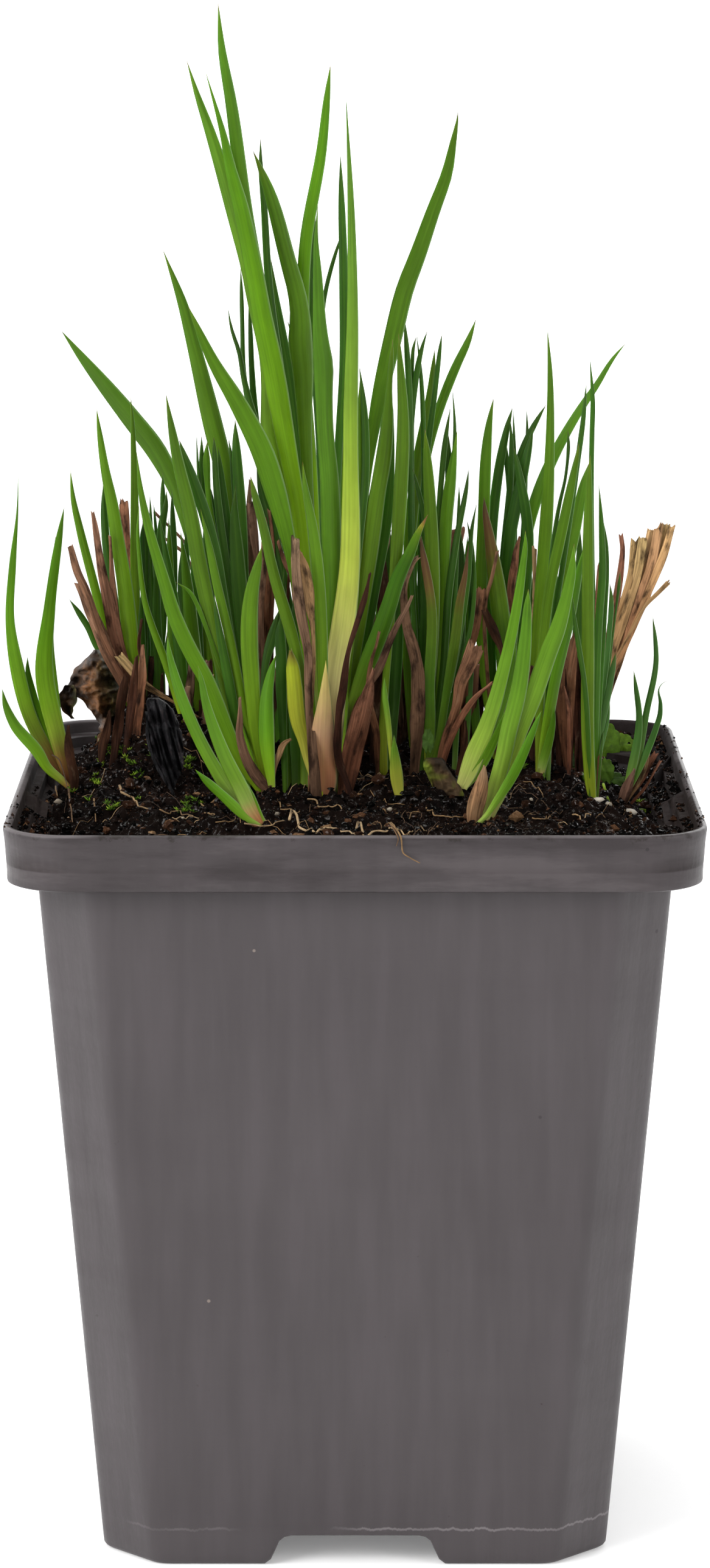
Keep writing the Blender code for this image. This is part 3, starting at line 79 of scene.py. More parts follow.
# White studio: a round paper cove, with large soft lamps at both sides, above and behind. Standard colour
# view, so that a hex colour under full light shows as that colour.
studio = {
    "paper": "F4F4F4",
    "sky": "FFFFFF",
    "skyStrength": 0.22,
    "surfaceShare": 0.50,           # of a hex colour, as the lamps are that much brighter
    "paperGlow": 0.17,              # keeps the far paper white
    # x, y, z in m, size in m, watts
    "lamps": {
        "left_softbox": (-0.62, -0.46, 0.48, 0.5, 7.0),
        "right_softbox": (0.85, -0.65, 0.50, 0.5, 4.2),
        "top_softbox": (-0.1, -0.05, 0.95, 0.5, 4.2),
        "back_softbox": (0.3, 0.75, 0.55, 0.6, 3.0),
    },
    "aim": (0.0, 0.0, 0.09),
    "cove": (3.6, 1.2, 4.2),        # m: flat radius, radius of the curve up, height of the wall
    "coveSteps": 72,
    "glowRing": (0.9, 1.5),         # m: the paper's glow grows between these radii
    "farGlow": (-0.6, 0.9, 0.30, 0.95),  # from and to these y in m, least glow in front and greatest behind
}


def hexValues(text):
    # Red, green and blue of an sRGB hex colour, 0 to 1
    return np.array([int(text[i:i + 2], 16) / 255 for i in (0, 2, 4)])


def toLinear(value):
    # sRGB to linear: c / 12.92 up to 0.04045, else ((c + 0.055) / 1.055) ^ 2.4
    return np.where(value <= 0.04045, value / 12.92, ((value + 0.055) / 1.055) ** 2.4)


def hexColor(text):
    return toLinear(hexValues(text))


def surfaceColor(text):
    # What a surface is painted with so that it shows the hex colour under these lamps
    return hexColor(text) * studio["surfaceShare"]


def newMaterial(name, roughness, specular):
    # A Principled material; gives the material and its tree
    material = bpy.data.materials.new(name)
    material.use_nodes = True
    shader = material.node_tree.nodes["Principled BSDF"]
    shader.inputs["Roughness"].default_value = roughness
    shader.inputs["Specular IOR Level"].default_value = specular
    return material, material.node_tree


def addNode(tree, kind, settings, out=None):
    # Adds a node; a Mix node mixes colours. settings are sockets to join, properties, input values by name
    # or number, or a ramp's stops. Gives the output asked for.
    item = tree.nodes.new("ShaderNode" + kind)
    if kind == "Mix":
        item.data_type = "RGBA"
    for key, value in settings.items():
        if isinstance(key, int) and isinstance(value, str):
            value = (*surfaceColor(value), 1.0)
        if isinstance(value, bpy.types.NodeSocket):
            tree.links.new(value, item.inputs[key])
        elif key == "stops":
            while len(item.color_ramp.elements) < len(value):
                item.color_ramp.elements.new(0.5)
            for element, (position, color) in zip(item.color_ramp.elements, value):
                element.position = position
                element.color = (*(surfaceColor(color) if isinstance(color, str) else (color,) * 3), 1.0)
        elif isinstance(key, str) and hasattr(item, key):
            setattr(item, key, value)
        else:
            item.inputs[key].default_value = value
    return item.outputs[out or (2 if kind == "Mix" else 0)]


def finishMaterial(material, links, height, strength, distance):
    # Joins the sockets to the shader, and the height as relief: its strength, and its depth in m
    tree = material.node_tree
    relief = addNode(tree, "Bump", {"Strength": strength, "Distance": distance, "Height": height})
    for key, socket in {**links, "Normal": relief}.items():
        tree.links.new(socket, tree.nodes["Principled BSDF"].inputs[key])
    return material


world = bpy.data.worlds.new("white_studio")
bpy.context.scene.world = world
world.use_nodes = True
sky = world.node_tree.nodes["Background"]
sky.inputs["Color"].default_value = (*hexColor(studio["sky"]), 1.0)
sky.inputs["Strength"].default_value = studio["skyStrength"]
for name, (x, y, z, size, watts) in studio["lamps"].items():
    lampData = bpy.data.lights.new(name, "AREA")
    lampData.size = size
    lampData.energy = watts
    lamp = bpy.data.objects.new(name, lampData)
    lamp.location = (x, y, z)
    dx, dy, dz = studio["aim"][0] - x, studio["aim"][1] - y, studio["aim"][2] - z
    lamp.rotation_euler = (math.atan2(math.hypot(dx, dy), -dz), 0.0, math.atan2(dy, dx) - math.pi / 2)
    bpy.context.scene.collection.objects.link(lamp)

bpy.context.scene.view_settings.view_transform = "Standard"

# Paper cove: a flat disc that curves up into a wall, profile (r, z) turned about z
flatRadius, curve, wallTop = studio["cove"]
steps = studio["coveSteps"]
bend = np.radians(np.linspace(0, 90, 12))
rise = [(flatRadius + curve * math.sin(a), curve - curve * math.cos(a)) for a in bend]
profile = np.array([(0.02, 0.0), (0.5, 0.0), *rise, (flatRadius + curve, wallTop)])
around = 2 * np.pi * np.arange(steps) / steps
cove = np.stack([profile[:, :1] * np.cos(around), profile[:, :1] * np.sin(around),
                 np.repeat(profile[:, 1:], steps, axis=1)], axis=-1)
i, j = np.arange(len(profile) - 1)[:, None], np.arange(steps)[None, :]
near, side = i * steps + j, i * steps + (j + 1) % steps
coveFaces = np.stack([near, near + steps, side + steps, side], axis=-1)
floorMesh = bpy.data.meshes.new("studio_floor")
floorMesh.from_pydata(cove.reshape(-1, 3), [], coveFaces.reshape(-1, 4).tolist() + [list(range(steps))])
floorMesh.shade_smooth()
studioFloor = bpy.data.objects.new("studio_floor", floorMesh)
bpy.context.scene.collection.objects.link(studioFloor)
paper, tree = newMaterial("matte_white_paper", 0.9, 0.2)
shader = tree.nodes["Principled BSDF"]
shader.inputs["Base Color"].default_value = (*hexColor(studio["paper"]), 1.0)
shader.inputs["Emission Color"].default_value = (1.0, 1.0, 1.0, 1.0)
ringStart, ringEnd = studio["glowRing"]
frontY, backY, frontGlow, backGlow = studio["farGlow"]
paperPlace = addNode(tree, "TexCoord", {}, out="Object")
reach = addNode(tree, "VectorMath", {"operation": "LENGTH", 0: paperPlace}, out="Value")
sides = addNode(tree, "SeparateXYZ", {0: paperPlace}).node
far = addNode(tree, "MapRange", {0: sides.outputs["Y"], 1: frontY, 2: backY, 3: frontGlow, 4: backGlow})
glow = addNode(tree, "MapRange", {0: reach, 1: ringStart, 2: ringEnd, 3: studio["paperGlow"], 4: far})
tree.links.new(glow, shader.inputs["Emission Strength"])
floorMesh.materials.append(paper)
print("camera, lamps and floor made")


def makePiece(name, part, material, replaced=(), smooth=True, sharpAngle=None):
    # A part is (points in mm, quads, triangles, values); values hold a number, a vector or a colour for each
    # point. replaced names the CAD nodes that the piece stands in for
    points, quads, triangles, values = part
    mesh = bpy.data.meshes.new(name)
    mesh.vertices.add(len(points))
    mesh.vertices.foreach_set("co", (points * 0.001).astype(np.float32).ravel())
    corners = np.concatenate([quads.ravel(), triangles.ravel()]).astype(np.int32)
    starts = np.concatenate([np.arange(len(quads)) * 4, len(quads) * 4 + np.arange(len(triangles)) * 3])
    mesh.loops.add(len(corners))
    mesh.loops.foreach_set("vertex_index", corners)
    mesh.polygons.add(len(starts))
    mesh.polygons.foreach_set("loop_start", starts.astype(np.int32))
    mesh.update(calc_edges=True)
    mesh.validate()
    for key, data in values.items():
        kind, field = {1: ("FLOAT", "value"), 3: ("FLOAT_VECTOR", "vector"), 4: ("FLOAT_COLOR", "color")}[
            1 if data.ndim == 1 else data.shape[1]]
        mesh.attributes.new(key, kind, "POINT").data.foreach_set(field, data.astype(np.float32).ravel())
    mesh.polygons.foreach_set("use_smooth", np.full(len(mesh.polygons), smooth))
    if sharpAngle:
        mesh.set_sharp_from_angle(angle=math.radians(sharpAngle))
    mesh.materials.append(material)
    item = bpy.data.objects.new(name, mesh)
    bpy.context.scene.collection.objects.link(item)
    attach(item, "root")
    if replaced:
        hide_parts(*replaced)


def joinParts(parts):
    # Several parts as one: face numbers are moved on by the points before them
    starts = np.cumsum([0] + [len(part[0]) for part in parts[:-1]])
    points = np.concatenate([part[0] for part in parts])
    quads = np.concatenate([part[1] + start for part, start in zip(parts, starts)])
    triangles = np.concatenate([part[2] + start for part, start in zip(parts, starts)])
    values = {key: np.concatenate([part[3][key] for part in parts]) for key in parts[0][3]}
    return points, quads, triangles, values


def outward(points, quads, triangles):
    # Signed volume of the closed part, a . (b x c) / 6 summed over its triangles; turned round when negative
    split = np.concatenate([quads[:, [0, 1, 2]], quads[:, [0, 2, 3]], triangles])
    a, b, c = (points[split[:, k]] - points.mean(axis=0) for k in range(3))
    if np.einsum("ij,ij->i", a, np.cross(b, c)).sum() < 0:
        quads, triangles = quads[:, ::-1], triangles[:, ::-1]
    return quads, triangles


def closeRings(grid):
    # Rings of points (ring, around, xyz) as one closed part: quads between rings, and a fan at each end
    rings, around = grid.shape[:2]
    i, j = np.arange(rings - 1)[:, None], np.arange(around)[None, :]
    near, side = i * around + j, i * around + (j + 1) % around
    quads = np.stack([near, side, side + around, near + around], axis=-1).reshape(-1, 4)
    points = np.concatenate([grid.reshape(-1, 3), grid[:1].mean(axis=1), grid[-1:].mean(axis=1)])
    j = np.arange(around)
    first = np.stack([(j + 1) % around, j, np.full(around, rings * around)], axis=-1)
    lastRow = (rings - 1) * around
    last = np.stack([lastRow + j, lastRow + (j + 1) % around, np.full(around, rings * around + 1)], axis=-1)
    quads, triangles = outward(points, quads, np.concatenate([first, last]))
    return points, quads, triangles


def ringValue(value, around):
    # A value for each ring spread to its points and to the two end points
    value = np.asarray(value, float)
    return np.concatenate([np.repeat(value, around, axis=0), value[:1], value[-1:]])


def sweepRings(path, across, half, thick):
    # Frame along a path: across is kept square to the direction d, and out = across x d.
    # point = centre + across * half * x + out * thick * y for each profile point (x, y)
    direction = np.gradient(path, axis=0)
    direction /= np.linalg.norm(direction, axis=1, keepdims=True)
    across = across - (across * direction).sum(axis=1, keepdims=True) * direction
    across /= np.linalg.norm(across, axis=1, keepdims=True)
    return path[:, None, :] + across[:, None, :] * half[:, :, None] + \
        np.cross(across, direction)[:, None, :] * thick[:, :, None]


def roundTube(path, radius, around=6, squash=1.0):
    # Circle of the given radius carried along the path: x = r cos a, y = r sin a * squash
    path, radius = np.asarray(path, float), np.broadcast_to(radius, len(path))
    angle = 2 * np.pi * np.arange(around) / around
    lead = path[-1] - path[0]
    start = np.cross(lead, [0.31, 0.17, 0.93])
    grid = sweepRings(path, np.tile(start, (len(path), 1)),
                      radius[:, None] * np.cos(angle), radius[:, None] * np.sin(angle) * squash)
    return closeRings(grid)


def smoothThrough(points, count, power=1.0):
    # Cubic Hermite line through the points, slopes by central differences over chord length
    data = np.array(points, float)
    along = np.concatenate(([0.0], np.cumsum(np.linalg.norm(np.diff(data[:, :2], axis=0), axis=1))))
    slopes = np.gradient(data, along, axis=0)
    at = along[-1] * np.linspace(0.0, 1.0, count) ** power
    index = np.clip(np.searchsorted(along, at, side="right") - 1, 0, len(along) - 2)
    gap = (along[index + 1] - along[index])[:, None]
    u = (at - along[index])[:, None] / gap
    line = (2 * u**3 - 3 * u**2 + 1) * data[index] + (u**3 - 2 * u**2 + u) * gap * slopes[index]
    return line + (3 * u**2 - 2 * u**3) * data[index + 1] + (u**3 - u**2) * gap * slopes[index + 1]


def valueField(x, y, cell, seed):
    # Smooth random field from -1 to 1: random corner values of square cells, blended by t * t * (3 - 2t)
    table = np.random.default_rng(seed).uniform(-1.0, 1.0, (256, 256))
    gx, gy = np.asarray(x) / cell + 900.0, np.asarray(y) / cell + 900.0
    ix, iy = np.floor(gx).astype(int), np.floor(gy).astype(int)
    tx, ty = gx - ix, gy - iy
    tx, ty = tx * tx * (3 - 2 * tx), ty * ty * (3 - 2 * ty)
    low = table[ix % 256, iy % 256] * (1 - tx) + table[(ix + 1) % 256, iy % 256] * tx
    high = table[ix % 256, (iy + 1) % 256] * (1 - tx) + table[(ix + 1) % 256, (iy + 1) % 256] * tx
    return low * (1 - ty) + high * ty


# Soil: moist brown-black peat with crumbs, hair roots and moss. Level and mounds are the CAD solid's own,
# and one more hollow shows the back left corner of the pot's inside.
soil = {
    "level": 98.5,
    # x, y, reach in x, reach in y, height
    "mounds": [
        (-29, 17, 11, 13, 7.6), (-6, 14, 20, 13, 4.5), (22, 12, 12, 12, 1.5), (-38, -34, 6, 14, -8.5),
        (-40, 2, 8, 12, -2.0), (17, -26, 8, 8, -0.7), (-37, 37, 10, 10, -6.5), (36, 36, 14, 12, -6.0),
        (42, -2, 7, 26, -4.0), (-40, 25, 7, 12, -6.0),
    ],
    "half": 40.1,
    "corner": 8.5,
    "frontLip": -43.5,          # y of the front edge, which lies on the pot's ledge
    "lipHeight": 99.0,
    "ledge": (-39.2, 90.0),     # y of the front wall under the ledge, and height where the skirt turns down
    "lipHalf": (39.0, 0.3),     # half width at the front edge, and how it widens behind it
    "lipRise": (-39.0, 2.0),    # from this y on, the soil rises to the lip within so many mm
    "cells": 290,
    "clods": ((8.0, 0.55), (3.3, 0.65), (1.6, 0.80), (0.8, 0.46), (0.45, 0.18)),  # grain and height
    "creases": (2.2, 1.1, 1.4, -0.35),  # grain, height, power and shift
    "bottom": 5.4,
    "taper": 0.80,
    # how many crumbs are tried, least and greatest radius in mm, and 1 for 32 faces or 0 for 8
    "crumbs": ((13500, (0.09, 0.36), 0), (2500, (0.28, 0.95), 1)),
    "crumbHalf": 40.0,          # strewn so far to both sides, and from the start backwards over the length
    "crumbStart": -43.0,
    "crumbLength": 82.5,
}


def soilHeight(x, y):
    # level + sum of height * exp(-(dx / reach x)^2 - (dy / reach y)^2)
    height = soil["level"] + 0.0 * x
    for mx, my, rx, ry, rise in soil["mounds"]:
        height = height + rise * np.exp(-((x - mx) / rx) ** 2 - ((y - my) / ry) ** 2)
    return height


def soilRelief(x, y):
    # Smooth height + random fields of five grain sizes + creased lumps, rise * |field|^power + shift
    height = soilHeight(x, y)
    for number, (cell, rise) in enumerate(soil["clods"]):
        height = height + rise * valueField(x, y, cell, 40 + number)
    grain, rise, power, shift = soil["creases"]
    height = height + rise * np.abs(valueField(x + 0.4 * y, y, grain, 51)) ** power + shift
    lip = np.clip((soil["lipRise"][0] - y) / soil["lipRise"][1], 0.0, 1.0)
    return height * (1 - lip) + np.maximum(height, soil["lipHeight"] + 0.35 * valueField(x, y, 1.2, 57)) * lip


def soilPart():
    # Grid (u, v) over the pot's mouth, corners pulled in where |x| + |y| passes the limit, z = relief;
    # its border drops as a tapered skirt to a flat bottom
    count = soil["cells"] + 1
    u, v = np.meshgrid(np.linspace(-1, 1, count), np.linspace(0, 1, count))
    y = soil["frontLip"] + (soil["half"] - soil["frontLip"]) * v
    lipHalf, widening = soil["lipHalf"]
    x = u * np.where(y < -40.0, lipHalf + (y - soil["frontLip"]) * widening, soil["half"])
    reach = np.abs(x) + np.abs(y)
    shrink = np.minimum(1.0, (2 * soil["half"] - soil["corner"]) / np.maximum(reach, 1.0))
    x, y = x * shrink, y * shrink
    top = np.stack([x, y, soilRelief(x, y)], axis=-1)
    quadStart = np.arange(count * (count - 1)).reshape(count - 1, count)[:, :-1].ravel()
    quads = np.stack([quadStart, quadStart + 1, quadStart + count + 1, quadStart + count], axis=-1)
    index = np.arange(count * count).reshape(count, count)
    border = np.concatenate([index[0, :-1], index[:-1, -1], index[-1, :0:-1], index[:0:-1, 0]])
    edge = top.reshape(-1, 3)[border]
    frontWall, ledgeHeight = soil["ledge"]
    ledge = np.stack([edge[:, 0], np.maximum(edge[:, 1], frontWall), np.full(len(edge), ledgeHeight)],
                     axis=-1)
    foot = np.stack([ledge[:, 0] * soil["taper"], ledge[:, 1] * soil["taper"],
                     np.full(len(edge), soil["bottom"])], axis=-1)
    points = np.concatenate([top.reshape(-1, 3), ledge, foot, [[0.0, 0.0, soil["bottom"]]]])
    n, k = len(edge), np.arange(len(edge))
    m = (k + 1) % n
    ledgeStart, footStart = count * count, count * count + n
    skirt = np.stack([border[k], ledgeStart + k, ledgeStart + m, border[m]], axis=-1)
    wall = np.stack([ledgeStart + k, footStart + k, footStart + m, ledgeStart + m], axis=-1)
    base = np.stack([footStart + m, footStart + k, np.full(n, footStart + n)], axis=-1)
    return points, np.concatenate([quads, skirt, wall]), base, {}


def lumpShape(detail):
    # Octahedron split once or not at all, on the unit sphere: 8 or 32 triangles
    points = np.array([(1, 0, 0), (0, 1, 0), (-1, 0, 0), (0, -1, 0), (0, 0, 1), (0, 0, -1)], float)
    faces = np.array([(0, 1, 4), (1, 2, 4), (2, 3, 4), (3, 0, 4), (1, 0, 5), (2, 1, 5), (3, 2, 5), (0, 3, 5)])
    if detail:
        edges = {}
        points = list(points)
        split = []
        for a, b, c in faces.tolist():
            middle = []
            for p, q in ((a, b), (b, c), (c, a)):
                key = (min(p, q), max(p, q))
                if key not in edges:
                    edges[key] = len(points)
                    points.append((points[p] + points[q]) / np.linalg.norm(points[p] + points[q]))
                middle.append(edges[key])
            ab, bc, ca = middle
            split += [(a, ab, ca), (b, bc, ab), (c, ca, bc), (ab, bc, ca)]
        points, faces = np.array(points), np.array(split)
    return points, faces


def scatterLumps(centres, radii, rng, rough=0.32, flat=0.75, detail=1):
    # Every lump: unit shape * (1 + random per corner) * radius * random stretch, turned about z
    shape, faces = lumpShape(detail)
    count, corners = len(centres), len(shape)
    stretch = rng.uniform(0.65, 1.35, (count, 1, 3)) * np.array([1.0, 1.0, flat])
    bumps = 1 + rough * rng.uniform(-1, 1, (count, corners, 1))
    body = shape[None] * bumps * stretch * radii[:, None, None]
    turn = rng.uniform(0, 2 * np.pi, count)
    cos, sin = np.cos(turn)[:, None], np.sin(turn)[:, None]
    body = np.stack([body[..., 0] * cos - body[..., 1] * sin, body[..., 0] * sin + body[..., 1] * cos,
                     body[..., 2]], axis=-1)
    points = (body + centres[:, None, :]).reshape(-1, 3)
    triangles = (faces[None] + corners * np.arange(count)[:, None, None]).reshape(-1, 3)
    tone = np.repeat(rng.uniform(0, 1, count), corners)
    return points, np.zeros((0, 4), int), triangles, {"tone": tone}


def insidePot(x, y, margin):
    # Inside the chamfered square by that margin
    half = soil["half"] - margin
    return (np.abs(x) < half) & (np.abs(y) < half) & (np.abs(x) + np.abs(y) < 2 * half - soil["corner"])


def soilMaterial():
    # Wet peat: near-black brown, matt with small glints where water sits on the grains; grains about 0.5 mm
    material, tree = newMaterial("moist_peat_soil", 0.85, 0.14)
    place = addNode(tree, "TexCoord", {}, out="Object")
    broad = addNode(tree, "TexNoise", {"Scale": 130.0, "Detail": 3.0, "Vector": place})
    fine = addNode(tree, "TexNoise", {"Scale": 1400.0, "Detail": 4.0, "Roughness": 0.65, "Vector": place})
    dark = addNode(tree, "ValToRGB", {"stops": [(0.36, "050303"), (0.55, "130D0A"), (0.74, "2C1F17")],
                                      "Fac": fine})
    warm = addNode(tree, "ValToRGB", {"stops": [(0.35, "060404"), (0.70, "2C1D15")], "Fac": broad})
    color = addNode(tree, "Mix", {0: 0.30, 6: dark, 7: warm})
    gloss = addNode(tree, "ValToRGB", {"stops": [(0.57, 0.9), (0.66, 0.25)], "Fac": fine})
    glint = addNode(tree, "ValToRGB", {"stops": [(0.57, 0.03), (0.66, 0.60)], "Fac": fine})
    links = {"Base Color": color, "Roughness": gloss, "Specular IOR Level": glint}
    return finishMaterial(material, links, fine, 0.9, 0.0004)


def crumbMaterial():
    # Loose peat crumbs: each its own tone from black to reddish brown, a few pale fibres
    material, tree = newMaterial("peat_crumbs", 0.8, 0.16)
    tone = addNode(tree, "Attribute", {"attribute_name": "tone"}, out="Fac")
    place = addNode(tree, "TexCoord", {}, out="Object")
    fine = addNode(tree, "TexNoise", {"Scale": 2200.0, "Detail": 3.0, "Vector": place})
    stops = [(0.0, "040302"), (0.45, "0E0907"), (0.72, "20140E"), (0.90, "3E281B"), (0.97, "5E402C"),
             (0.995, "907050")]
    each = addNode(tree, "ValToRGB", {"stops": stops, "Fac": tone})
    grain = addNode(tree, "ValToRGB", {"stops": [(0.3, 0.55), (0.7, 1.35)], "Fac": fine})
    color = addNode(tree, "Mix", {"blend_type": "MULTIPLY", 0: 1.0, 6: each, 7: grain})
    gloss = addNode(tree, "ValToRGB", {"stops": [(0.57, 0.95), (0.66, 0.20)], "Fac": fine})
    glint = addNode(tree, "ValToRGB", {"stops": [(0.57, 0.03), (0.66, 0.60)], "Fac": fine})
    links = {"Base Color": color, "Roughness": gloss, "Specular IOR Level": glint}
    return finishMaterial(material, links, fine, 0.9, 0.0003)


looseCrumb = crumbMaterial()
makePiece("soil_surface", soilPart(), soilMaterial(), ["soil"])

rng = np.random.default_rng(7)
parts = []
span = soil["crumbHalf"]
for count, (low, high), detail in soil["crumbs"]:
    tries = rng.uniform(-span, span, (count, 2))
    tries[:, 1] = soil["crumbStart"] + (tries[:, 1] + span) / (2 * span) * soil["crumbLength"]
    keep = insidePot(tries[:, 0], tries[:, 1], 0.3) | ((tries[:, 1] < -39.5) & (np.abs(tries[:, 0]) < 36.5))
    tries = tries[keep]
    radii = low + (high - low) * rng.uniform(0, 1, len(tries)) ** 2.4
    height = soilRelief(tries[:, 0], tries[:, 1]) + radii * rng.uniform(-0.25, 0.45, len(tries))
    parts.append(scatterLumps(np.column_stack([tries, height]), radii, rng, detail=detail))
makePiece("soil_crumbs", joinParts(parts), looseCrumb, smooth=False)
print("soil made")


# Pot: injection-moulded grey nursery pot, tapered, with chamfered corners, a rolled rim and four corner feet
pot = {
    "height": 100.0,
    "rimHalf": 45.0,
    "rimLowerEdge": 92.6,
    "rimRadius": 8.5,
    "topHalf": 40.9,
    "footHalf": 33.45,
    "taperHeight": 92.0,
    "chamfer": 7.2,
    "softness": 1.4,
    "wall": 1.2,
    "floorTop": 5.1,
    "footHeights": (0.12, 0.35, 0.7, 1.6, 2.8, 4.2, 5.05),
    "footInsets": (0.42, 0.18, 0.02, 0.0, 0.0, 0.0, 0.0),   # the feet's rounded lower edge
    "bodyHeights": (6.0, 12.0, 24.0, 40.0, 56.0, 72.0, 84.0, 92.0, 94.6),
    "innerHeights": (96.3, 95.9, 84.0, 60.0, 30.0),
    # the gap between two feet: mm from the side's middle, and its height there
    "arch": [(8.4, 3.9), (9.3, 3.7), (10.0, 3.1), (10.5, 1.9), (11.1, 0.6), (11.9, 0.0)],
    "archFade": 6.0,
}
# Where each side has its points, mm from its middle, closest round the arch's curve
halfSteps = np.array([22.0, 18.0, 14.0, 12.3, 11.9, 11.5, 11.1, 10.8, 10.5, 10.25, 10.0, 9.65, 9.3, 8.85,
                      8.4, 6.0, 3.0])
sideSteps = np.concatenate([-halfSteps, [0.0], halfSteps[::-1]])


def bodyHalf(z):
    # Half width grows evenly with height: foot + (top - foot) * z / taper height
    return pot["footHalf"] + (pot["topHalf"] - pot["footHalf"]) * z / pot["taperHeight"]


def cornerCurve(half, size, softness):
    # Corner at +x +y in 13 points. softness 0: quarter circle of that radius.
    # Else a flat chamfer whose two edges are quadratic curves reaching softness along each side
    if softness == 0:
        angle = np.radians(np.linspace(0, 90, 13))
        return np.stack([half - size + size * np.cos(angle), half - size + size * np.sin(angle)], axis=-1)
    inner, slant = half - size, softness * 0.7071
    t = np.linspace(0, 1, 5)[:, None]
    first = (1 - t) ** 2 * np.array([half, inner - softness]) + 2 * t * (1 - t) * np.array([half, inner]) + \
        t ** 2 * np.array([half - slant, inner + slant])
    flat = np.linspace(first[-1], first[-1][::-1], 5)[1:-1]
    return np.concatenate([first, flat, first[::-1, ::-1]])


def potRing(half, size, softness, z):
    # One closed ring: each side's steps, then its corner, turned to the four sides
    corner = cornerCurve(half, size, softness)
    side = np.stack([np.full(len(sideSteps), half), sideSteps], axis=-1)
    quarter = np.concatenate([side, corner])
    turns = [(1, 0), (0, 1), (-1, 0), (0, -1)]
    ring = np.concatenate([np.stack([quarter[:, 0] * c - quarter[:, 1] * s,
                                     quarter[:, 0] * s + quarter[:, 1] * c], axis=-1) for c, s in turns])
    return np.column_stack([ring, np.broadcast_to(z, len(ring))])


def archRise(offset):
    # Height of the gap between the feet at a distance from the middle of a side
    steps, rises = zip(*pot["arch"])
    return np.interp(np.abs(offset), steps, rises)


def archedRing(half, z):
    # A ring near the foot: z' = z + rise * (1 - z / fade), the rise taken across both middles
    ring = potRing(half, pot["chamfer"], pot["softness"], z)
    rise = np.maximum(archRise(ring[:, 0]), archRise(ring[:, 1]))
    ring[:, 2] = z + rise * max(0.0, 1 - z / pot["archFade"])
    return ring


def potPart():
    # Rings from the middle of the underside out, up the body, round the rim band, down the stepped inside to
    # the floor. The rim's profile: half width, corner radius and height
    rings = []
    footRing = archedRing(pot["footHalf"] - 0.7, 0.0)
    for share in np.linspace(0.03, 1.0, 34)[:-1]:
        ring = footRing * [share, share, 1.0]
        ring[:, 2] = np.maximum(archRise(ring[:, 0]), archRise(ring[:, 1]))
        rings.append(ring)
    rings.append(footRing)
    for z, inset in zip(pot["footHeights"], pot["footInsets"]):
        rings.append(archedRing(bodyHalf(z) - inset, z))
    for z in pot["bodyHeights"]:
        rings.append(potRing(bodyHalf(z), pot["chamfer"], pot["softness"], z))
    rim, radius, edge, top = pot["rimHalf"], pot["rimRadius"], pot["rimLowerEdge"], pot["height"]
    profile = [
        (rim - 1.6, radius - 1.2, edge + 2.0), (rim - 1.6, radius - 1.2, edge + 0.4),
        (rim - 1.45, radius - 1.0, edge + 0.1), (rim - 1.1, radius - 0.4, edge), (rim - 0.75, radius, edge),
        (rim - 0.5, radius, edge + 0.15),
        (rim - 0.42, radius, edge + 0.5), (rim - 0.42, radius, edge + 1.6), (rim - 0.3, radius, edge + 3.4),
        (rim - 0.15, radius, edge + 5.6), (rim, radius, top - 0.5), (rim - 0.05, radius, top - 0.2),
        (rim - 0.2, radius - 0.1, top - 0.05), (rim - 0.45, radius - 0.4, top),
        (rim - 0.85, radius - 0.8, top - 0.02), (rim - 1.1, radius - 1.1, top - 0.2),
        (rim - 1.2, radius - 1.2, top - 0.5), (rim - 1.3, radius - 1.2, 98.3),
        (rim - 1.45, radius - 1.3, 98.15), (rim - 2.45, radius - 1.6, 98.1),
        (rim - 2.6, radius - 1.6, 97.95), (rim - 2.7, radius - 1.6, 96.55), (rim - 2.85, radius - 1.7, 96.4),
    ]
    rings += [potRing(half, size, 0, z) for half, size, z in profile]
    innerChamfer = pot["chamfer"] - 0.586 * pot["wall"]
    for z in (*pot["innerHeights"], pot["floorTop"] + 0.6, pot["floorTop"]):
        inset = pot["wall"] + (0.5 if z == pot["floorTop"] else 0.0)
        rings.append(potRing(bodyHalf(z) - inset, innerChamfer, pot["softness"], z))
    for share in (0.6, 0.2):
        rings.append(rings[-1] * [share, share, 1.0])
    points, quads, triangles = closeRings(np.array(rings))
    return points, quads, triangles, {}


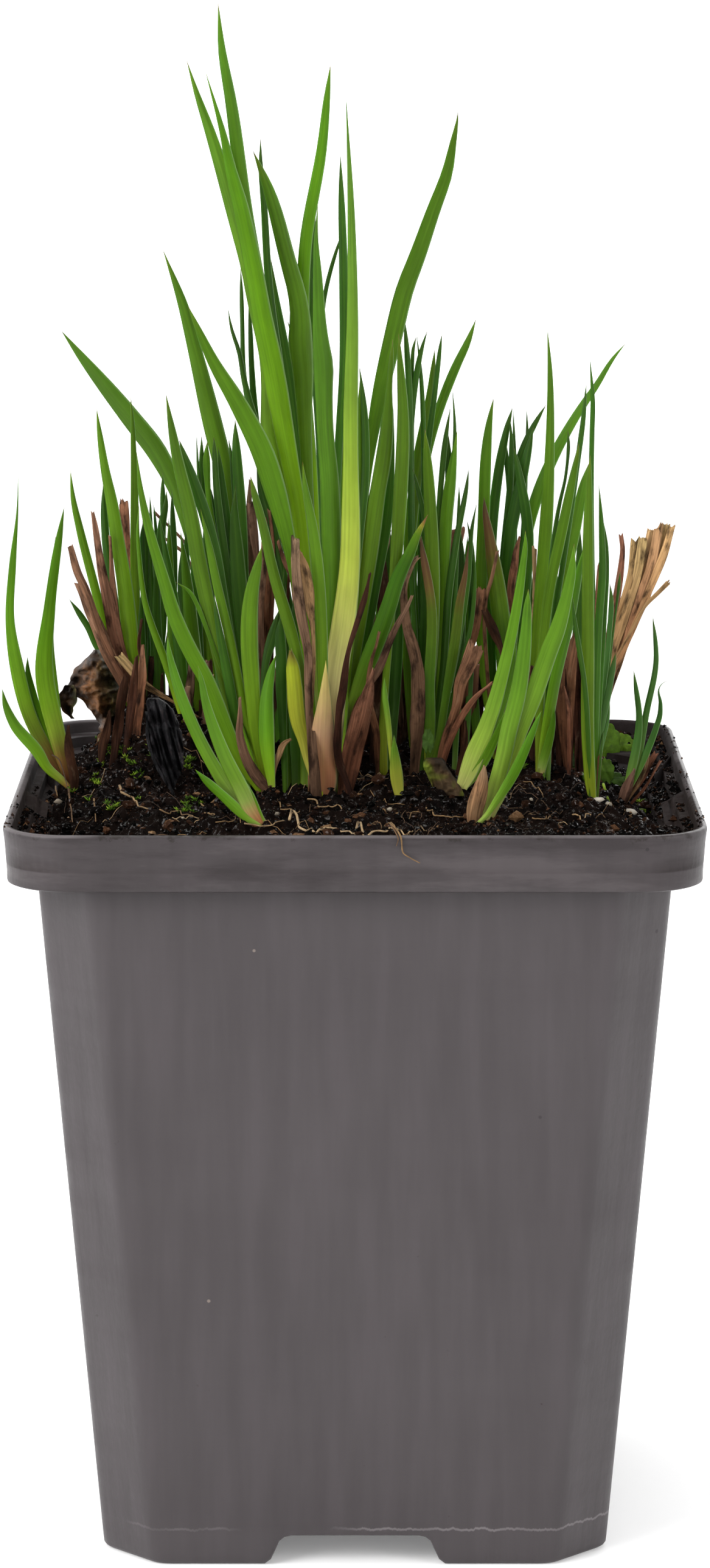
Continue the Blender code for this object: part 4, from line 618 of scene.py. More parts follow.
def plasticMaterial():
    # Recycled polypropylene, moulded: satin grey with a purple-brown cast. The melt's flow leaves faint
    # upright streaks 2 to 6 mm apart; scuffs and dried soil sit on the rim, and a ragged parting line runs 5
    # mm above the base
    material, tree = newMaterial("moulded_polypropylene", 0.48, 0.30)
    place = addNode(tree, "TexCoord", {}, out="Object")
    parts = addNode(tree, "SeparateXYZ", {0: place}).node
    streakPlace = addNode(tree, "Mapping", {"Scale": (1.0, 1.0, 0.06), "Vector": place})
    streak = addNode(tree, "TexNoise", {"Scale": 420.0, "Detail": 3.0, "Roughness": 0.5,
                                        "Vector": streakPlace})
    cloud = addNode(tree, "TexNoise", {"Scale": 34.0, "Detail": 4.0, "Vector": place})
    tint = addNode(tree, "ValToRGB", {"stops": [(0.34, "494345"), (0.5, "504A4C"), (0.66, "585154")],
                                      "Fac": streak})
    shade = addNode(tree, "ValToRGB", {"stops": [(0.3, "4C4547"), (0.7, "564F51")], "Fac": cloud})
    base = addNode(tree, "Mix", {0: 0.5, 6: tint, 7: shade})

    # Dust and grit stuck to it: pale tan and dark specks 0.2 to 0.4 mm wide, about 9 mm apart
    for scale, hexText, amount in ((110.0, "A3958A", 0.75), (95.0, "2E282A", 0.8)):
        speck = addNode(tree, "TexVoronoi", {"Scale": scale, "Randomness": 1.0, "Vector": place},
                        out="Distance")
        speck = addNode(tree, "MapRange", {0: speck, 1: 0.018, 2: 0.030, 3: amount, 4: 0.0})
        base = addNode(tree, "Mix", {0: speck, 6: base, 7: hexText})

    # Every layer over it: where it shows, its colour, and how it blends
    layers = []
    # Flash line: a thin pale ragged line where |z - (5 + wobble)| is small
    wobblePlace = addNode(tree, "Mapping", {"Scale": (1.0, 1.0, 0.0), "Vector": place})
    wobble = addNode(tree, "TexNoise", {"Scale": 420.0, "Detail": 5.0, "Roughness": 0.7,
                                        "Vector": wobblePlace})
    lift = addNode(tree, "Math", {"operation": "MULTIPLY_ADD", 0: wobble, 1: 0.0016, 2: 0.00425})
    off = addNode(tree, "Math", {"operation": "SUBTRACT", 0: parts.outputs["Z"], 1: lift})
    off = addNode(tree, "Math", {"operation": "ABSOLUTE", 0: off})
    line = addNode(tree, "MapRange", {0: off, 1: 0.00009, 2: 0.00022, 3: 1.0, 4: 0.0})
    patch = addNode(tree, "ValToRGB", {"stops": [(0.42, 0.0), (0.55, 0.7)], "Fac": cloud})
    line = addNode(tree, "Math", {"operation": "MULTIPLY", 0: line, 1: patch})
    layers.append((line, "9A9395", "MIX"))

    # Below the line the moulding is a little lighter
    low = addNode(tree, "MapRange", {0: parts.outputs["Z"], 1: 0.0042, 2: 0.0056, 3: 1.0, 4: 0.0})
    low = addNode(tree, "Math", {"operation": "MULTIPLY", 0: low, 1: 0.35})
    layers.append((low, "585254", "MIX"))

    # Rim: scuffs run along it, darker smears, and dried soil on its lip and inside
    smearPlace = addNode(tree, "Mapping", {"Scale": (0.25, 0.25, 1.6), "Vector": place})
    smear = addNode(tree, "TexNoise", {"Scale": 150.0, "Detail": 6.0, "Roughness": 0.65,
                                       "Vector": smearPlace})
    rimShare = addNode(tree, "MapRange", {0: parts.outputs["Z"], 1: 0.0915, 2: 0.0935, 3: 0.0, 4: 1.0})
    for stops, color in (([(0.51, 0.0), (0.62, 0.8)], "3A3234"), ([(0.36, 0.55), (0.47, 0.0)], "6E6769")):
        smears = addNode(tree, "ValToRGB", {"stops": stops, "Fac": smear})
        smears = addNode(tree, "Math", {"operation": "MULTIPLY", 0: smears, 1: rimShare})
        layers.append((smears, color, "MIX"))
    crustNoise = addNode(tree, "TexNoise", {"Scale": 520.0, "Detail": 5.0, "Roughness": 0.7, "Vector": place})
    lipShare = addNode(tree, "MapRange", {0: parts.outputs["Z"], 1: 0.0985, 2: 0.1, 3: 0.0, 4: 0.22})
    crust = addNode(tree, "Math", {"operation": "ADD", 0: crustNoise, 1: lipShare})
    crust = addNode(tree, "MapRange", {0: crust, 1: 0.70, 2: 0.78, 3: 0.0, 4: 0.85})
    layers.append((crust, "2A1F19", "MIX"))
    warm = addNode(tree, "Math", {"operation": "MULTIPLY", 0: rimShare, 1: 0.5})
    layers.append((warm, "FFF0EE", "MULTIPLY"))

    # The inside is painted dark: wet-soil dirt, and painted shade of the pot's hollow, full on the front and
    # side walls and weaker on the back wall, where it grows towards the right. Inside means under 8 mm out
    # from the rounded corners' centres
    flat = addNode(tree, "VectorMath", {"operation": "ABSOLUTE", 0: place})
    flat = addNode(tree, "VectorMath", {"operation": "MULTIPLY", 0: flat, 1: (1.0, 1.0, 0.0)})
    flat = addNode(tree, "VectorMath", {"operation": "SUBTRACT", 0: flat, 1: (0.0365, 0.0365, 0.0)})
    flat = addNode(tree, "VectorMath", {"operation": "MAXIMUM", 0: flat, 1: (0.0, 0.0, 0.0)})
    reach = addNode(tree, "VectorMath", {"operation": "LENGTH", 0: flat}, out="Value")
    inner = addNode(tree, "MapRange", {0: reach, 1: 0.0078, 2: 0.0082, 3: 1.0, 4: 0.0})
    high = addNode(tree, "MapRange", {0: parts.outputs["Z"], 1: 0.0950, 2: 0.0952, 3: 0.0, 4: 1.0})
    inside = addNode(tree, "Math", {"operation": "MULTIPLY", 0: inner, 1: high})
    dirt = addNode(tree, "MapRange", {0: crustNoise, 1: 0.35, 2: 0.65, 3: 0.80, 4: 0.97})
    dirtAndShade = addNode(tree, "Math", {"operation": "MULTIPLY", 0: inside, 1: dirt})
    # Painted shade: on the back wall this dark is weaker, and grows towards the right
    back = addNode(tree, "MapRange", {0: parts.outputs["Y"], 1: 0.036, 2: 0.041, 3: 1.0, 4: 0.0})
    right = addNode(tree, "MapRange", {0: parts.outputs["X"], 1: -0.02, 2: 0.03, 3: 0.35, 4: 0.85})
    back = addNode(tree, "Math", {"operation": "MAXIMUM", 0: back, 1: right})
    dirtAndShade = addNode(tree, "Math", {"operation": "MULTIPLY", 0: dirtAndShade, 1: back})
    layers.append((dirtAndShade, "2A211E", "MIX"))
    # Painted highlight: a thin pale line along the top edge of the lip
    lipHighlight = addNode(tree, "MapRange", {0: parts.outputs["Z"], 1: 0.09965, 2: 0.09985, 3: 0.0, 4: 0.55})
    lipHighlight = addNode(tree, "Math", {"operation": "MULTIPLY", 0: lipHighlight, 1: patch})
    layers.append((lipHighlight, "9A9193", "MIX"))
    for share, color, blend in layers:
        base = addNode(tree, "Mix", {"blend_type": blend, 0: share, 6: base, 7: color})

    gloss = addNode(tree, "MapRange", {0: smear, 1: 0.3, 2: 0.7, 3: 0.38, 4: 0.54})
    gloss = addNode(tree, "Math", {"operation": "MAXIMUM", 0: gloss, 1: dirtAndShade})
    sheen = addNode(tree, "MapRange", {0: dirtAndShade, 1: 0.0, 2: 0.8, 3: 0.30, 4: 0.06})
    orange = addNode(tree, "TexNoise", {"Scale": 900.0, "Detail": 2.0, "Vector": place})
    waves = addNode(tree, "Mix", {0: 0.25, 6: streak, 7: orange})
    waves = addNode(tree, "Mix", {0: dirtAndShade, 6: waves, 7: crustNoise})
    links = {"Base Color": base, "Roughness": gloss, "Specular IOR Level": sheen}
    return finishMaterial(material, links, waves, 0.4, 0.0004)


plastic = plasticMaterial()
makePiece("nursery_pot", potPart(), plastic, ["pot"], sharpAngle=38)
print("pot made")


# Leaves: flat sword blades in fans
leaf = {
    "rings": 48,
    "around": 14,
    "dryRings": 64,            # dead blades are cockled, so they take more rings
    "baseRings": 26,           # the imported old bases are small
    "baseAround": 10,
    "thickness": 0.085,        # half thickness as a share of the width
    "leastThickness": 0.13,    # half, mm
    "keel": 0.40,              # ridge along the middle, share of the half thickness
    "keelWidth": 0.16,         # share of the half width
    "dryThickness": (0.05, 0.09, 0.16),  # half: share of the width, least and greatest
    "cockle": (0.22, 0.12),    # two waves of a dead blade, shares of its half width
    "tear": (2.0, 1.2),        # mm: depth of a torn end at most, and how far down it shows
    "swing": (15, 8),          # degrees that each blade is turned, and twisted along its length, at most
    "fold": 0.13,              # each side lifts this share of the half width
    "layerStep": 0.85,         # mm between leaves of a shoot, front to back
    "layerSpread": 0.012,      # more for each mm of height
    "fanHeight": 14.0,         # mm over which a fan's leaves part from their common base
    "rowHeight": 0.08,         # mm of height for one row of pixels, near enough for depth
    "soilRow": 1290.0,
    "widen": 1.05,             # blade width over the width read, as the thin margins are too pale to read
    "sink": 1.1,               # mm that a leaf goes into the soil
    "seed": 21,
}

# Each shoot: depth of its base (mm, + is away from the camera) and how far it leans back per mm of height
shoots = {
    "farLeft": (1.0, -0.12),
    "left": (17.5, 0.08),
    "stalk": (4.5, 0.30),
    "centreLeft": (-6.5, -0.02),
    "frontLeft": (-31.0, -0.05),
    "main": (-7.6, 0.0),
    "sprout": (-11.5, -0.03),
    "middle": (2.3, 0.04),
    "middleRight": (1.0, 0.09),
    "backRight": (9.0, 0.11),
    "right": (-13.0, -0.02),
    "rightBack": (0.6, 0.05),
    "frontRight": (-24.0, -0.08),
    "frontRight2": (-8.0, -0.05),
    "farRight": (-4.0, -0.05),
}

# Each look: colours down the blade as (share of its length from the tip, hex); dry looks are crumpled
looks = {
    "tall": [(0, "793620"), (0.012, "6B8713"), (0.06, "568012"), (0.45, "638C14"), (0.8, "769D19"),
             (1, "A6B02A")],
    "deep": [(0, "8B3D22"), (0.008, "638917"), (0.05, "528114"), (0.45, "679316"), (0.7, "72A317"),
             (0.86, "A4B850"),
             (0.93, "C8A878"), (1, "A0704E")],
    "blue": [(0, "783C28"), (0.010, "5A811F"), (0.06, "517C1A"), (0.5, "5D881A"), (0.8, "6A951D"),
             (1, "94B22A")],
    "lime": [(0, "813F14"), (0.008, "5F890B"), (0.06, "558808"), (0.35, "689806"), (0.62, "88B408"),
             (0.86, "A4B850"),
             (0.93, "C8A878"), (1, "A0704E")],
    "cream": [(0, "6B3A28"), (0.008, "5E8A28"), (0.20, "6C9A2C"), (0.40, "86AE34"), (0.54, "ACCA40"),
              (0.66, "CADA54"), (0.75, "E2E27C"), (0.83, "EADA96"), (0.90, "D0A87A"), (1, "94684A")],
    "olive": [(0, "613019"), (0.012, "557610"), (0.06, "4C730D"), (0.45, "56810F"), (0.8, "5F8A14"),
              (1, "78901C")],
    # shade: the leaf greens painted darker, painted shade for leaves that stand in shadow inside the clump
    "shade": [(0, "5C3120"), (0.012, "3F6014"), (0.08, "345C10"), (0.5, "3C6914"), (0.8, "446F15"),
              (1, "55711A")],
    "fresh": [(0, "7A4A26"), (0.012, "5E8F16"), (0.08, "568B15"), (0.5, "6CA519"), (0.8, "95C125"),
              (1, "B5B068")],
    "far": [(0, "6B3420"), (0.012, "4F7812"), (0.08, "4A780D"), (0.42, "609414"), (0.66, "7AA81E"),
            (0.78, "8EA434"), (0.86, "A07840"), (0.93, "7E4A2E"), (1, "5E382A")],
    "front": [(0, "804A2A"), (0.015, "639418"), (0.10, "588916"), (0.38, "699B1E"), (0.62, "80AC30"),
              (0.76, "A8C45C"), (0.82, "D0B070"), (0.88, "D48E60"), (0.95, "B06E4C"), (1, "8A5238")],
    "frontPale": [(0, "804A2A"), (0.015, "639418"), (0.10, "588916"), (0.38, "699B1E"), (0.60, "82B032"),
                  (0.76, "A2C446"), (0.87, "BACA62"), (0.95, "C8C476"), (1, "A08850")],
    "foot": [(0, "D2CC66"), (0.25, "E8D282"), (0.5, "E0B888"), (0.75, "C08A5E"), (1, "8E5E40")],
    "sprout": [(0, "5E8E24"), (0.22, "6C9A26"), (0.5, "A6B83C"), (1, "C4C250")],
    "yellow": [(0, "7C6A2A"), (0.10, "B4C428"), (0.5, "CCD040"), (0.80, "D8D060"), (0.93, "C8B458"),
               (1, "9C8448")],
    "brownTip": [(0, "8A5A3A"), (0.025, "A2683F"), (0.045, "B8A838"), (0.07, "6E9618"), (0.2, "4E8314"),
                 (0.52, "60921A"), (0.72, "94B634"), (0.80, "8E8450"), (0.88, "7C5440"), (1, "5A3A2C")],
    "witheredTop": [(0, "523826"), (0.10, "6F4C30"), (0.20, "745D2C"), (0.30, "617C16"), (0.6, "528015"),
                    (1, "637E1D")],
    "redEdge": [(0, "7A3A26"), (0.03, "507028"), (0.12, "44702E"), (0.5, "548438"), (0.8, "709236"),
                (0.92, "8A6A4A"), (1, "5E4032")],
    "sheath": [(0, "C8A07C"), (0.3, "BC8C66"), (0.7, "BA8E68"), (1, "946850")],
    "straw": [(0, "E9C084"), (0.3, "D2A270"), (0.7, "B5845A"), (1, "926B4B")],
    "dryBrown": [(0, "A8765A"), (0.3, "946448"), (0.7, "7C4E36"), (1, "5A3826")],
    "dryPurple": [(0, "A88468"), (0.25, "8A6650"), (0.7, "7A5844"), (1, "5E4232")],
    "dryPale": [(0, "AC8066"), (0.3, "AA7C60"), (0.7, "90624A"), (1, "684430")],
    "dryTan": [(0, "B99163"), (0.4, "C2996B"), (0.8, "A37950"), (1, "79563B")],
    "dryDark": [(0, "4E3222"), (0.4, "553524"), (0.8, "452A1C"), (1, "2A1810")],
}
dryLooks = ("dryPale", "sheath", "straw", "dryBrown", "dryPurple", "dryTan", "dryDark")

# Each fan: node or piece, shoot, and its blades as rank from front to back, turn in degrees, look, and
# points from tip to base, three numbers each: column, row and width in the photograph's pixels. A first
# width of 2 or more is torn
fanTable = [
    ("far_left_leaf_1", "farLeft", [
        (0, 20, "far", [105, 833, 0, 99, 870, 8, 81, 1000, 18, 73, 1110, 28, 92, 1200, 26, 111, 1270, 18,
            118, 1298, 10])]),
    ("far_left_leaf_2", "farLeft", [
        (1, 20, "far", [30, 772, 0, 28, 840, 3, 20, 930, 11, 16, 1020, 14, 28, 1100, 22, 48, 1175, 22,
            103, 1276, 13, 114, 1295, 8]),
        (2, 20, "far", [45, 1079, 0, 45, 1100, 7, 51, 1130, 11, 72, 1195, 12, 92, 1235, 10, 110, 1290, 7]),
        (3, 20, "far", [91, 881, 0, 90, 900, 4, 87, 940, 6, 84, 1060, 8, 92, 1140, 9, 110, 1290, 8])]),
    ("far_left_low_leaves", "farLeft", [
        (-1, 20, "far", [3, 1131, 0, 9, 1159, 10, 22, 1188, 16, 62, 1236, 19, 78, 1262, 15, 100, 1281, 12,
            116, 1297, 7]),
        (-2, 20, "dryDark", [112, 1193, 2, 111, 1206, 7, 118, 1255, 15, 122, 1280, 15, 121, 1302, 10])]),
    ("left_leaf_1", "left", [
        (0, 8, "tall", [115, 771, 0, 120, 820, 8, 131, 870, 12, 154, 960, 14, 190, 1095, 13,
            205, 1140, 9])]),
    ("left_leaf_2", "left", [
        (-2, -8, "tall", [158, 670, 0, 163, 710, 8, 172, 770, 14, 184, 830, 19, 193, 890, 22, 203, 950, 24,
            214, 1050, 26, 228, 1165, 15])]),
    ("left_small_leaves", "left", [
        (1, 6, "tall", [214, 651, 0, 217, 690, 6, 219, 740, 9, 226, 1060, 14, 231, 1120, 13, 233, 1165, 10]),
        (3, 8, "shade", [113, 984, 0, 130, 1008, 9, 145, 1032, 10, 157, 1058, 11, 185, 1100, 10,
            224, 1162, 8]),
        (4, 8, "shade", [169, 796, 0, 170, 830, 9, 173, 880, 13, 190, 1000, 12, 205, 1080, 11,
            225, 1160, 8]),
        (2, 6, "shade", [238, 890, 0, 239, 960, 9, 239, 1020, 11, 241, 1080, 12, 239, 1160, 9]),
        (5, 6, "shade", [267, 777, 0, 267, 800, 6, 268, 880, 8, 262, 1000, 9, 256, 1070, 9, 240, 1160, 7]),
        (4.5, 6, "shade", [273, 807, 0, 272, 830, 8, 267, 855, 12, 264, 940, 13, 268, 1000, 12,
            262, 1080, 10, 243, 1160, 7]),
        (6, 6, "shade", [282, 806, 0, 283, 840, 7, 286, 920, 10, 284, 1000, 9, 270, 1080, 8, 246, 1160, 6]),
        (6.6, 6, "shade", [246, 814, 0, 247, 840, 4, 249, 880, 5, 248, 1060, 7, 240, 1160, 5]),
        (7.2, 6, "shade", [252, 828, 0, 254, 850, 4, 257, 890, 5, 254, 1060, 6, 242, 1160, 5]),
        (1.6, 5, "shade", [236, 856, 2, 237, 880, 14, 238, 905, 13, 239, 960, 9, 239, 1160, 6])]),
    ("centre_left_leaf_1", "centreLeft", [
        (1, 5, "olive", [224, 743, 0, 230, 800, 8, 272, 965, 20, 284, 1005, 23, 318, 1080, 25, 334, 1108, 25,
            382, 1220, 20, 400, 1260, 16, 426, 1300, 9])]),
    ("left_leaf_4", "left", [
        (9.6, -6, "blue", [100, 543, 0, 123, 573, 10, 212, 684, 31, 260, 747, 32, 292, 815, 22, 304, 855, 18,
            340, 1010, 12, 362, 1120, 11, 372, 1180, 8])]),
    ("centre_left_leaf_3", "centreLeft", [
        (3.2, 4, "tall", [272, 646, 0, 281, 700, 11, 298, 785, 20, 307, 820, 22, 327, 925, 25, 373, 1140, 18,
            388, 1205, 16, 410, 1260, 12, 430, 1295, 8]),
        (2.4, 6, "tall", [329, 836, 0, 344, 900, 11, 354, 950, 14, 375, 1040, 15, 413, 1220, 12,
            434, 1296, 8]),
        (1.9, 5, "shade", [352, 980, 0, 354, 1000, 6, 359, 1030, 10, 374, 1110, 16, 389, 1190, 15,
            400, 1235, 12, 420, 1280, 8])]),
    ("centre_left_leaf_4", "centreLeft", [
        (9.6, 5, "tall", [267, 409, 0, 303, 510, 17, 316, 560, 21, 355, 720, 31, 365, 760, 30, 376, 860, 24,
            402, 1100, 18, 432, 1292, 9])]),
    ("centre_left_leaf_5", "centreLeft", [
        (0, -4, "tall", [430, 897, 0, 424, 925, 12, 416, 960, 20, 417, 1160, 24, 421, 1200, 22,
            441, 1298, 10])]),
    ("centre_left_leaf_6", "centreLeft", [
        (-1, -6, "fresh", [453, 1076, 0, 446, 1100, 11, 440, 1130, 18, 437, 1200, 26, 447, 1302, 10]),
        (-2.2, 4, "dryPurple", [394, 1148, 3, 394, 1180, 9, 393, 1203, 12, 400, 1235, 14, 428, 1284, 18,
            446, 1303, 12])]),
    ("centre_left_leaf_8", "left", [
        (-8, 8, "tall", [228, 830, 0, 226, 870, 5, 229, 920, 7, 236, 980, 9, 278, 1108, 12, 290, 1150, 10,
            300, 1192, 3])]),
    ("centre_left_small_leaves", "centreLeft", [
        (5.2, 5, "shade", [387, 798, 0, 385, 830, 9, 389, 910, 22, 396, 1000, 24, 402, 1060, 19,
            412, 1150, 15, 434, 1290, 8]),
        (7.4, 5, "shade", [386, 690, 0, 387, 720, 10, 392, 800, 18, 408, 1100, 14, 436, 1290, 8]),
        (5, 5, "shade", [294, 722, 0, 303, 750, 10, 338, 850, 19, 358, 930, 17, 367, 980, 14, 430, 1290, 8]),
        (5.8, 5, "shade", [351, 718, 0, 352, 740, 7, 354, 780, 10, 385, 1010, 11, 400, 1110, 10,
            432, 1290, 7]),
        (6.4, 5, "shade", [358, 735, 0, 361, 760, 6, 366, 800, 10, 397, 1040, 9, 434, 1290, 7]),
        (7, 5, "shade", [322, 707, 0, 326, 780, 5, 360, 960, 6, 432, 1290, 5]),
        (7.6, 5, "shade", [331, 716, 0, 331, 740, 6, 332, 805, 10, 342, 860, 10, 365, 960, 8, 432, 1290, 6]),
        (8.2, 5, "shade", [333, 775, 0, 342, 805, 9, 353, 880, 10, 372, 960, 8, 434, 1290, 6]),
        (8, 5, "shade", [375, 720, 0, 379, 745, 5, 386, 830, 7, 400, 960, 7, 436, 1290, 6]),
        (6.4, 5, "fresh", [340, 726, 0, 339, 745, 9, 341, 800, 9, 356, 900, 8, 396, 1200, 6])]),
    ("front_left_leaf_1", "frontLeft", [
        (1, -10, "front", [275, 1045, 0, 277, 1070, 8, 284, 1100, 13, 364, 1280, 23, 390, 1318, 27,
            424, 1352, 24])]),
    ("front_left_leaf_2", "frontLeft", [
        (0, -10, "front", [325, 1094, 0, 329, 1110, 6, 337, 1150, 13, 366, 1235, 22, 398, 1300, 25,
            415, 1335, 25, 430, 1357, 20]),
        (-1, -10, "front", [320, 1264, 0, 340, 1284, 12, 362, 1304, 15, 410, 1345, 15, 433, 1358, 8]),
        (-1.8, -10, "front", [405, 1286, 0, 409, 1298, 8, 424, 1335, 12, 434, 1354, 8])]),
    ("main_leaf_1", "main", [
        (6, 4, "deep", [358, 3, 0, 364, 80, 12, 378, 160, 18, 405, 360, 23, 450, 600, 24, 470, 700, 22,
            503, 950, 17, 526, 1290, 9])]),
    ("main_leaf_2", "main", [
        (5, -4, "deep", [306, 98, 0, 325, 160, 10, 339, 200, 15, 387, 360, 25, 408, 440, 25, 418, 490, 26,
            441, 600, 27, 444, 650, 30, 446, 700, 36, 456, 760, 37, 475, 820, 21, 488, 880, 18,
            518, 1150, 12, 525, 1290, 8])]),
    ("main_leaf_3", "main", [
        (4, 4, "lime", [337, 116, 0, 371, 240, 13, 379, 280, 18, 390, 320, 23, 416, 440, 29, 430, 520, 32,
            447, 600, 35, 476, 760, 28, 488, 820, 23, 504, 960, 19, 514, 1040, 17, 527, 1290, 9])]),
    ("main_leaf_4", "main", [
        (7, -3, "tall", [415, 247, 0, 437, 300, 15, 476, 440, 26, 487, 480, 28, 493, 520, 32, 493, 560, 38,
            497, 600, 34, 500, 680, 24, 514, 960, 14, 527, 1290, 8])]),
    ("main_leaf_5", "main", [
        (8, 5, "lime", [543, 105, 0, 538, 150, 9, 529, 240, 16, 502, 400, 20, 499, 600, 20, 511, 780, 20,
            517, 860, 15, 523, 1000, 13, 529, 1290, 8])]),
    ("main_leaf_6", "main", [
        (1, -5, "blue", [522, 334, 0, 519, 400, 8, 521, 440, 13, 527, 560, 25, 531, 600, 32, 532, 640, 28,
            534, 700, 26, 542, 800, 30, 544, 860, 31, 546, 1080, 16, 532, 1292, 8])]),
    ("main_leaf_7", "main", [
        (0, 5, "cream", [568, 153, 0, 577, 360, 12, 579, 520, 18, 576, 680, 23, 576, 760, 24, 576, 860, 30,
            575, 920, 32, 562, 1040, 38, 554, 1090, 38, 542, 1220, 38, 536, 1294, 34])]),
    ("main_small_leaves", "main", [
        (9.5, 5, "shade", [559, 254, 0, 560, 300, 7, 564, 440, 14, 565, 600, 15, 556, 740, 13, 549, 950, 11,
            536, 1290, 8]),
        (10.5, 3, "shade", [428, 226, 0, 428, 270, 7, 433, 330, 10, 441, 460, 12, 468, 660, 12, 515, 1080, 9,
            530, 1280, 6]),
        (11.3, 3, "shade", [519, 340, 0, 513, 400, 8, 510, 480, 10, 513, 540, 12, 524, 720, 11,
            533, 1280, 6]),
        (9.5, 3, "shade", [374, 506, 0, 380, 540, 5, 393, 580, 7, 400, 620, 9, 455, 800, 11, 495, 960, 10,
            528, 1280, 6]),
        (12, 3, "shade", [395, 440, 0, 396, 470, 5, 398, 550, 7, 399, 600, 8, 430, 760, 10, 480, 940, 9,
            528, 1280, 6]),
        (13, 3, "shade", [408, 490, 0, 411, 540, 7, 413, 600, 9, 424, 720, 12, 450, 830, 11, 495, 1000, 9,
            530, 1280, 6]),
        (12, 3, "shade", [445, 425, 0, 450, 470, 8, 478, 640, 18, 495, 780, 16, 508, 900, 13, 530, 1280, 6]),
        (13, 3, "shade", [472, 527, 0, 483, 560, 9, 490, 600, 13, 500, 650, 14, 506, 720, 13, 532, 1280, 6]),
        (9.6, 3, "shade", [421, 765, 0, 428, 800, 11, 450, 880, 17, 470, 970, 13, 522, 1285, 7]),
        (10.3, 3, "shade", [568, 368, 0, 553, 410, 5, 531, 500, 7, 528, 600, 7, 530, 900, 7, 534, 1280, 5]),
        (8.6, 3, "shade", [590, 600, 0, 597, 660, 9, 600, 780, 13, 591, 880, 12, 560, 1150, 9,
            541, 1285, 7])]),
    ("main_leaf_9", "main", [
        (2.5, 6, "olive", [309, 503, 0, 327, 545, 11, 348, 590, 18, 392, 665, 28, 434, 750, 35, 450, 800, 35,
            474, 890, 22, 500, 1050, 15, 524, 1290, 8])]),
    ("main_front_leaves", "main", [
        (-1, -5, "tall", [411, 782, 0, 415, 800, 7, 431, 860, 14, 449, 940, 17, 481, 1050, 19, 495, 1110, 15,
            506, 1210, 10, 518, 1290, 7]),
        (-1.6, -5, "tall", [497, 759, 0, 500, 790, 7, 514, 870, 16, 530, 1120, 17, 529, 1294, 8]),
        (-2.2, 4, "yellow", [477, 1070, 3, 480, 1090, 18, 483, 1120, 24, 491, 1190, 24, 498, 1216, 18,
            505, 1250, 12, 518, 1292, 8])]),
    ("middle_leaf_1", "middle", [
        (-2, 5, "brownTip", [703, 845, 0, 685, 880, 12, 677, 900, 16, 650, 960, 24, 644, 980, 25,
            624, 1040, 28, 608, 1080, 28, 568, 1210, 16, 558, 1252, 9]),
        (-3, 4, "dryBrown", [602, 1133, 3, 596, 1150, 16, 579, 1205, 20, 563, 1262, 10])]),
    ("middle_leaf_2", "middle", [
        (0, -6, "tall", [645, 557, 0, 643, 590, 7, 639, 640, 10, 637, 680, 17, 629, 760, 25, 622, 800, 25,
            609, 880, 31, 587, 1040, 23, 566, 1190, 15, 560, 1250, 9]),
        (2, 5, "shade", [646, 667, 0, 645, 740, 6, 635, 860, 16, 620, 950, 14, 565, 1248, 8])]),
    ("middle_leaf_3", "middle", [
        (-0.9, 6, "tall", [655, 548, 0, 656, 575, 6, 662, 680, 18, 656, 840, 22, 640, 1040, 12,
            630, 1180, 13, 629, 1230, 15, 631, 1283, 12])]),
    ("middle_leaf_4", "middle", [
        (3, 5, "olive", [752, 183, 0, 751, 200, 4, 746, 225, 9, 734, 285, 18, 712, 345, 22, 680, 435, 27,
            670, 460, 28, 644, 560, 29, 611, 720, 18, 606, 760, 13, 596, 860, 9, 570, 1120, 9,
            562, 1245, 7])]),
    ("front_sprout", "sprout", [
        (1, 5, "sprout", [631, 1112, 0, 632, 1140, 8, 637, 1180, 9, 644, 1250, 7, 651, 1302, 6]),
        (0, 10, "sprout", [647, 1207, 0, 648, 1230, 10, 652, 1280, 20, 656, 1308, 14])]),
    ("middle_right_leaf_1", "middleRight", [
        (6.5, 5, "olive", [714, 574, 0, 712, 600, 7, 708, 640, 12, 687, 760, 19, 668, 1000, 15,
            670, 1120, 12, 678, 1245, 8])]),
    ("middle_right_leaf_2", "middleRight", [
        (7.7, -5, "olive", [782, 524, 0, 769, 560, 10, 750, 600, 14, 719, 680, 15, 690, 800, 15,
            678, 950, 13, 676, 1080, 11, 684, 1245, 8])]),
    ("middle_right_leaf_3", "middleRight", [
        (1, 5, "tall", [698, 705, 0, 700, 730, 8, 707, 840, 20, 710, 1060, 19, 704, 1150, 16,
            703, 1247, 12]),
        (0, -5, "witheredTop", [691, 886, 2, 694, 905, 8, 708, 990, 15, 705, 1140, 18, 706, 1180, 18,
            706, 1250, 12]),
        (0, 5, "witheredTop", [770, 893, 0, 763, 950, 9, 757, 980, 13, 748, 1050, 17, 730, 1160, 13,
            722, 1210, 12, 711, 1250, 10])]),
    ("middle_right_small_leaves", "middleRight", [
        (2.4, -6, "tall", [751, 707, 0, 740, 790, 17, 733, 850, 20, 730, 930, 16, 720, 1160, 13,
            710, 1250, 9]),
        (3.4, 4, "shade", [664, 522, 0, 666, 545, 5, 672, 640, 10, 674, 760, 9, 675, 900, 8, 697, 1245, 7]),
        (4.2, 4, "shade", [702, 543, 0, 695, 565, 5, 676, 700, 8, 674, 800, 8, 676, 950, 7, 699, 1245, 7]),
        (4.8, 4, "shade", [684, 547, 0, 690, 600, 5, 696, 800, 7, 694, 1000, 6, 700, 1245, 7]),
        (5.2, 4, "shade", [726, 548, 0, 723, 570, 5, 715, 640, 8, 701, 750, 10, 690, 950, 9, 701, 1245, 7]),
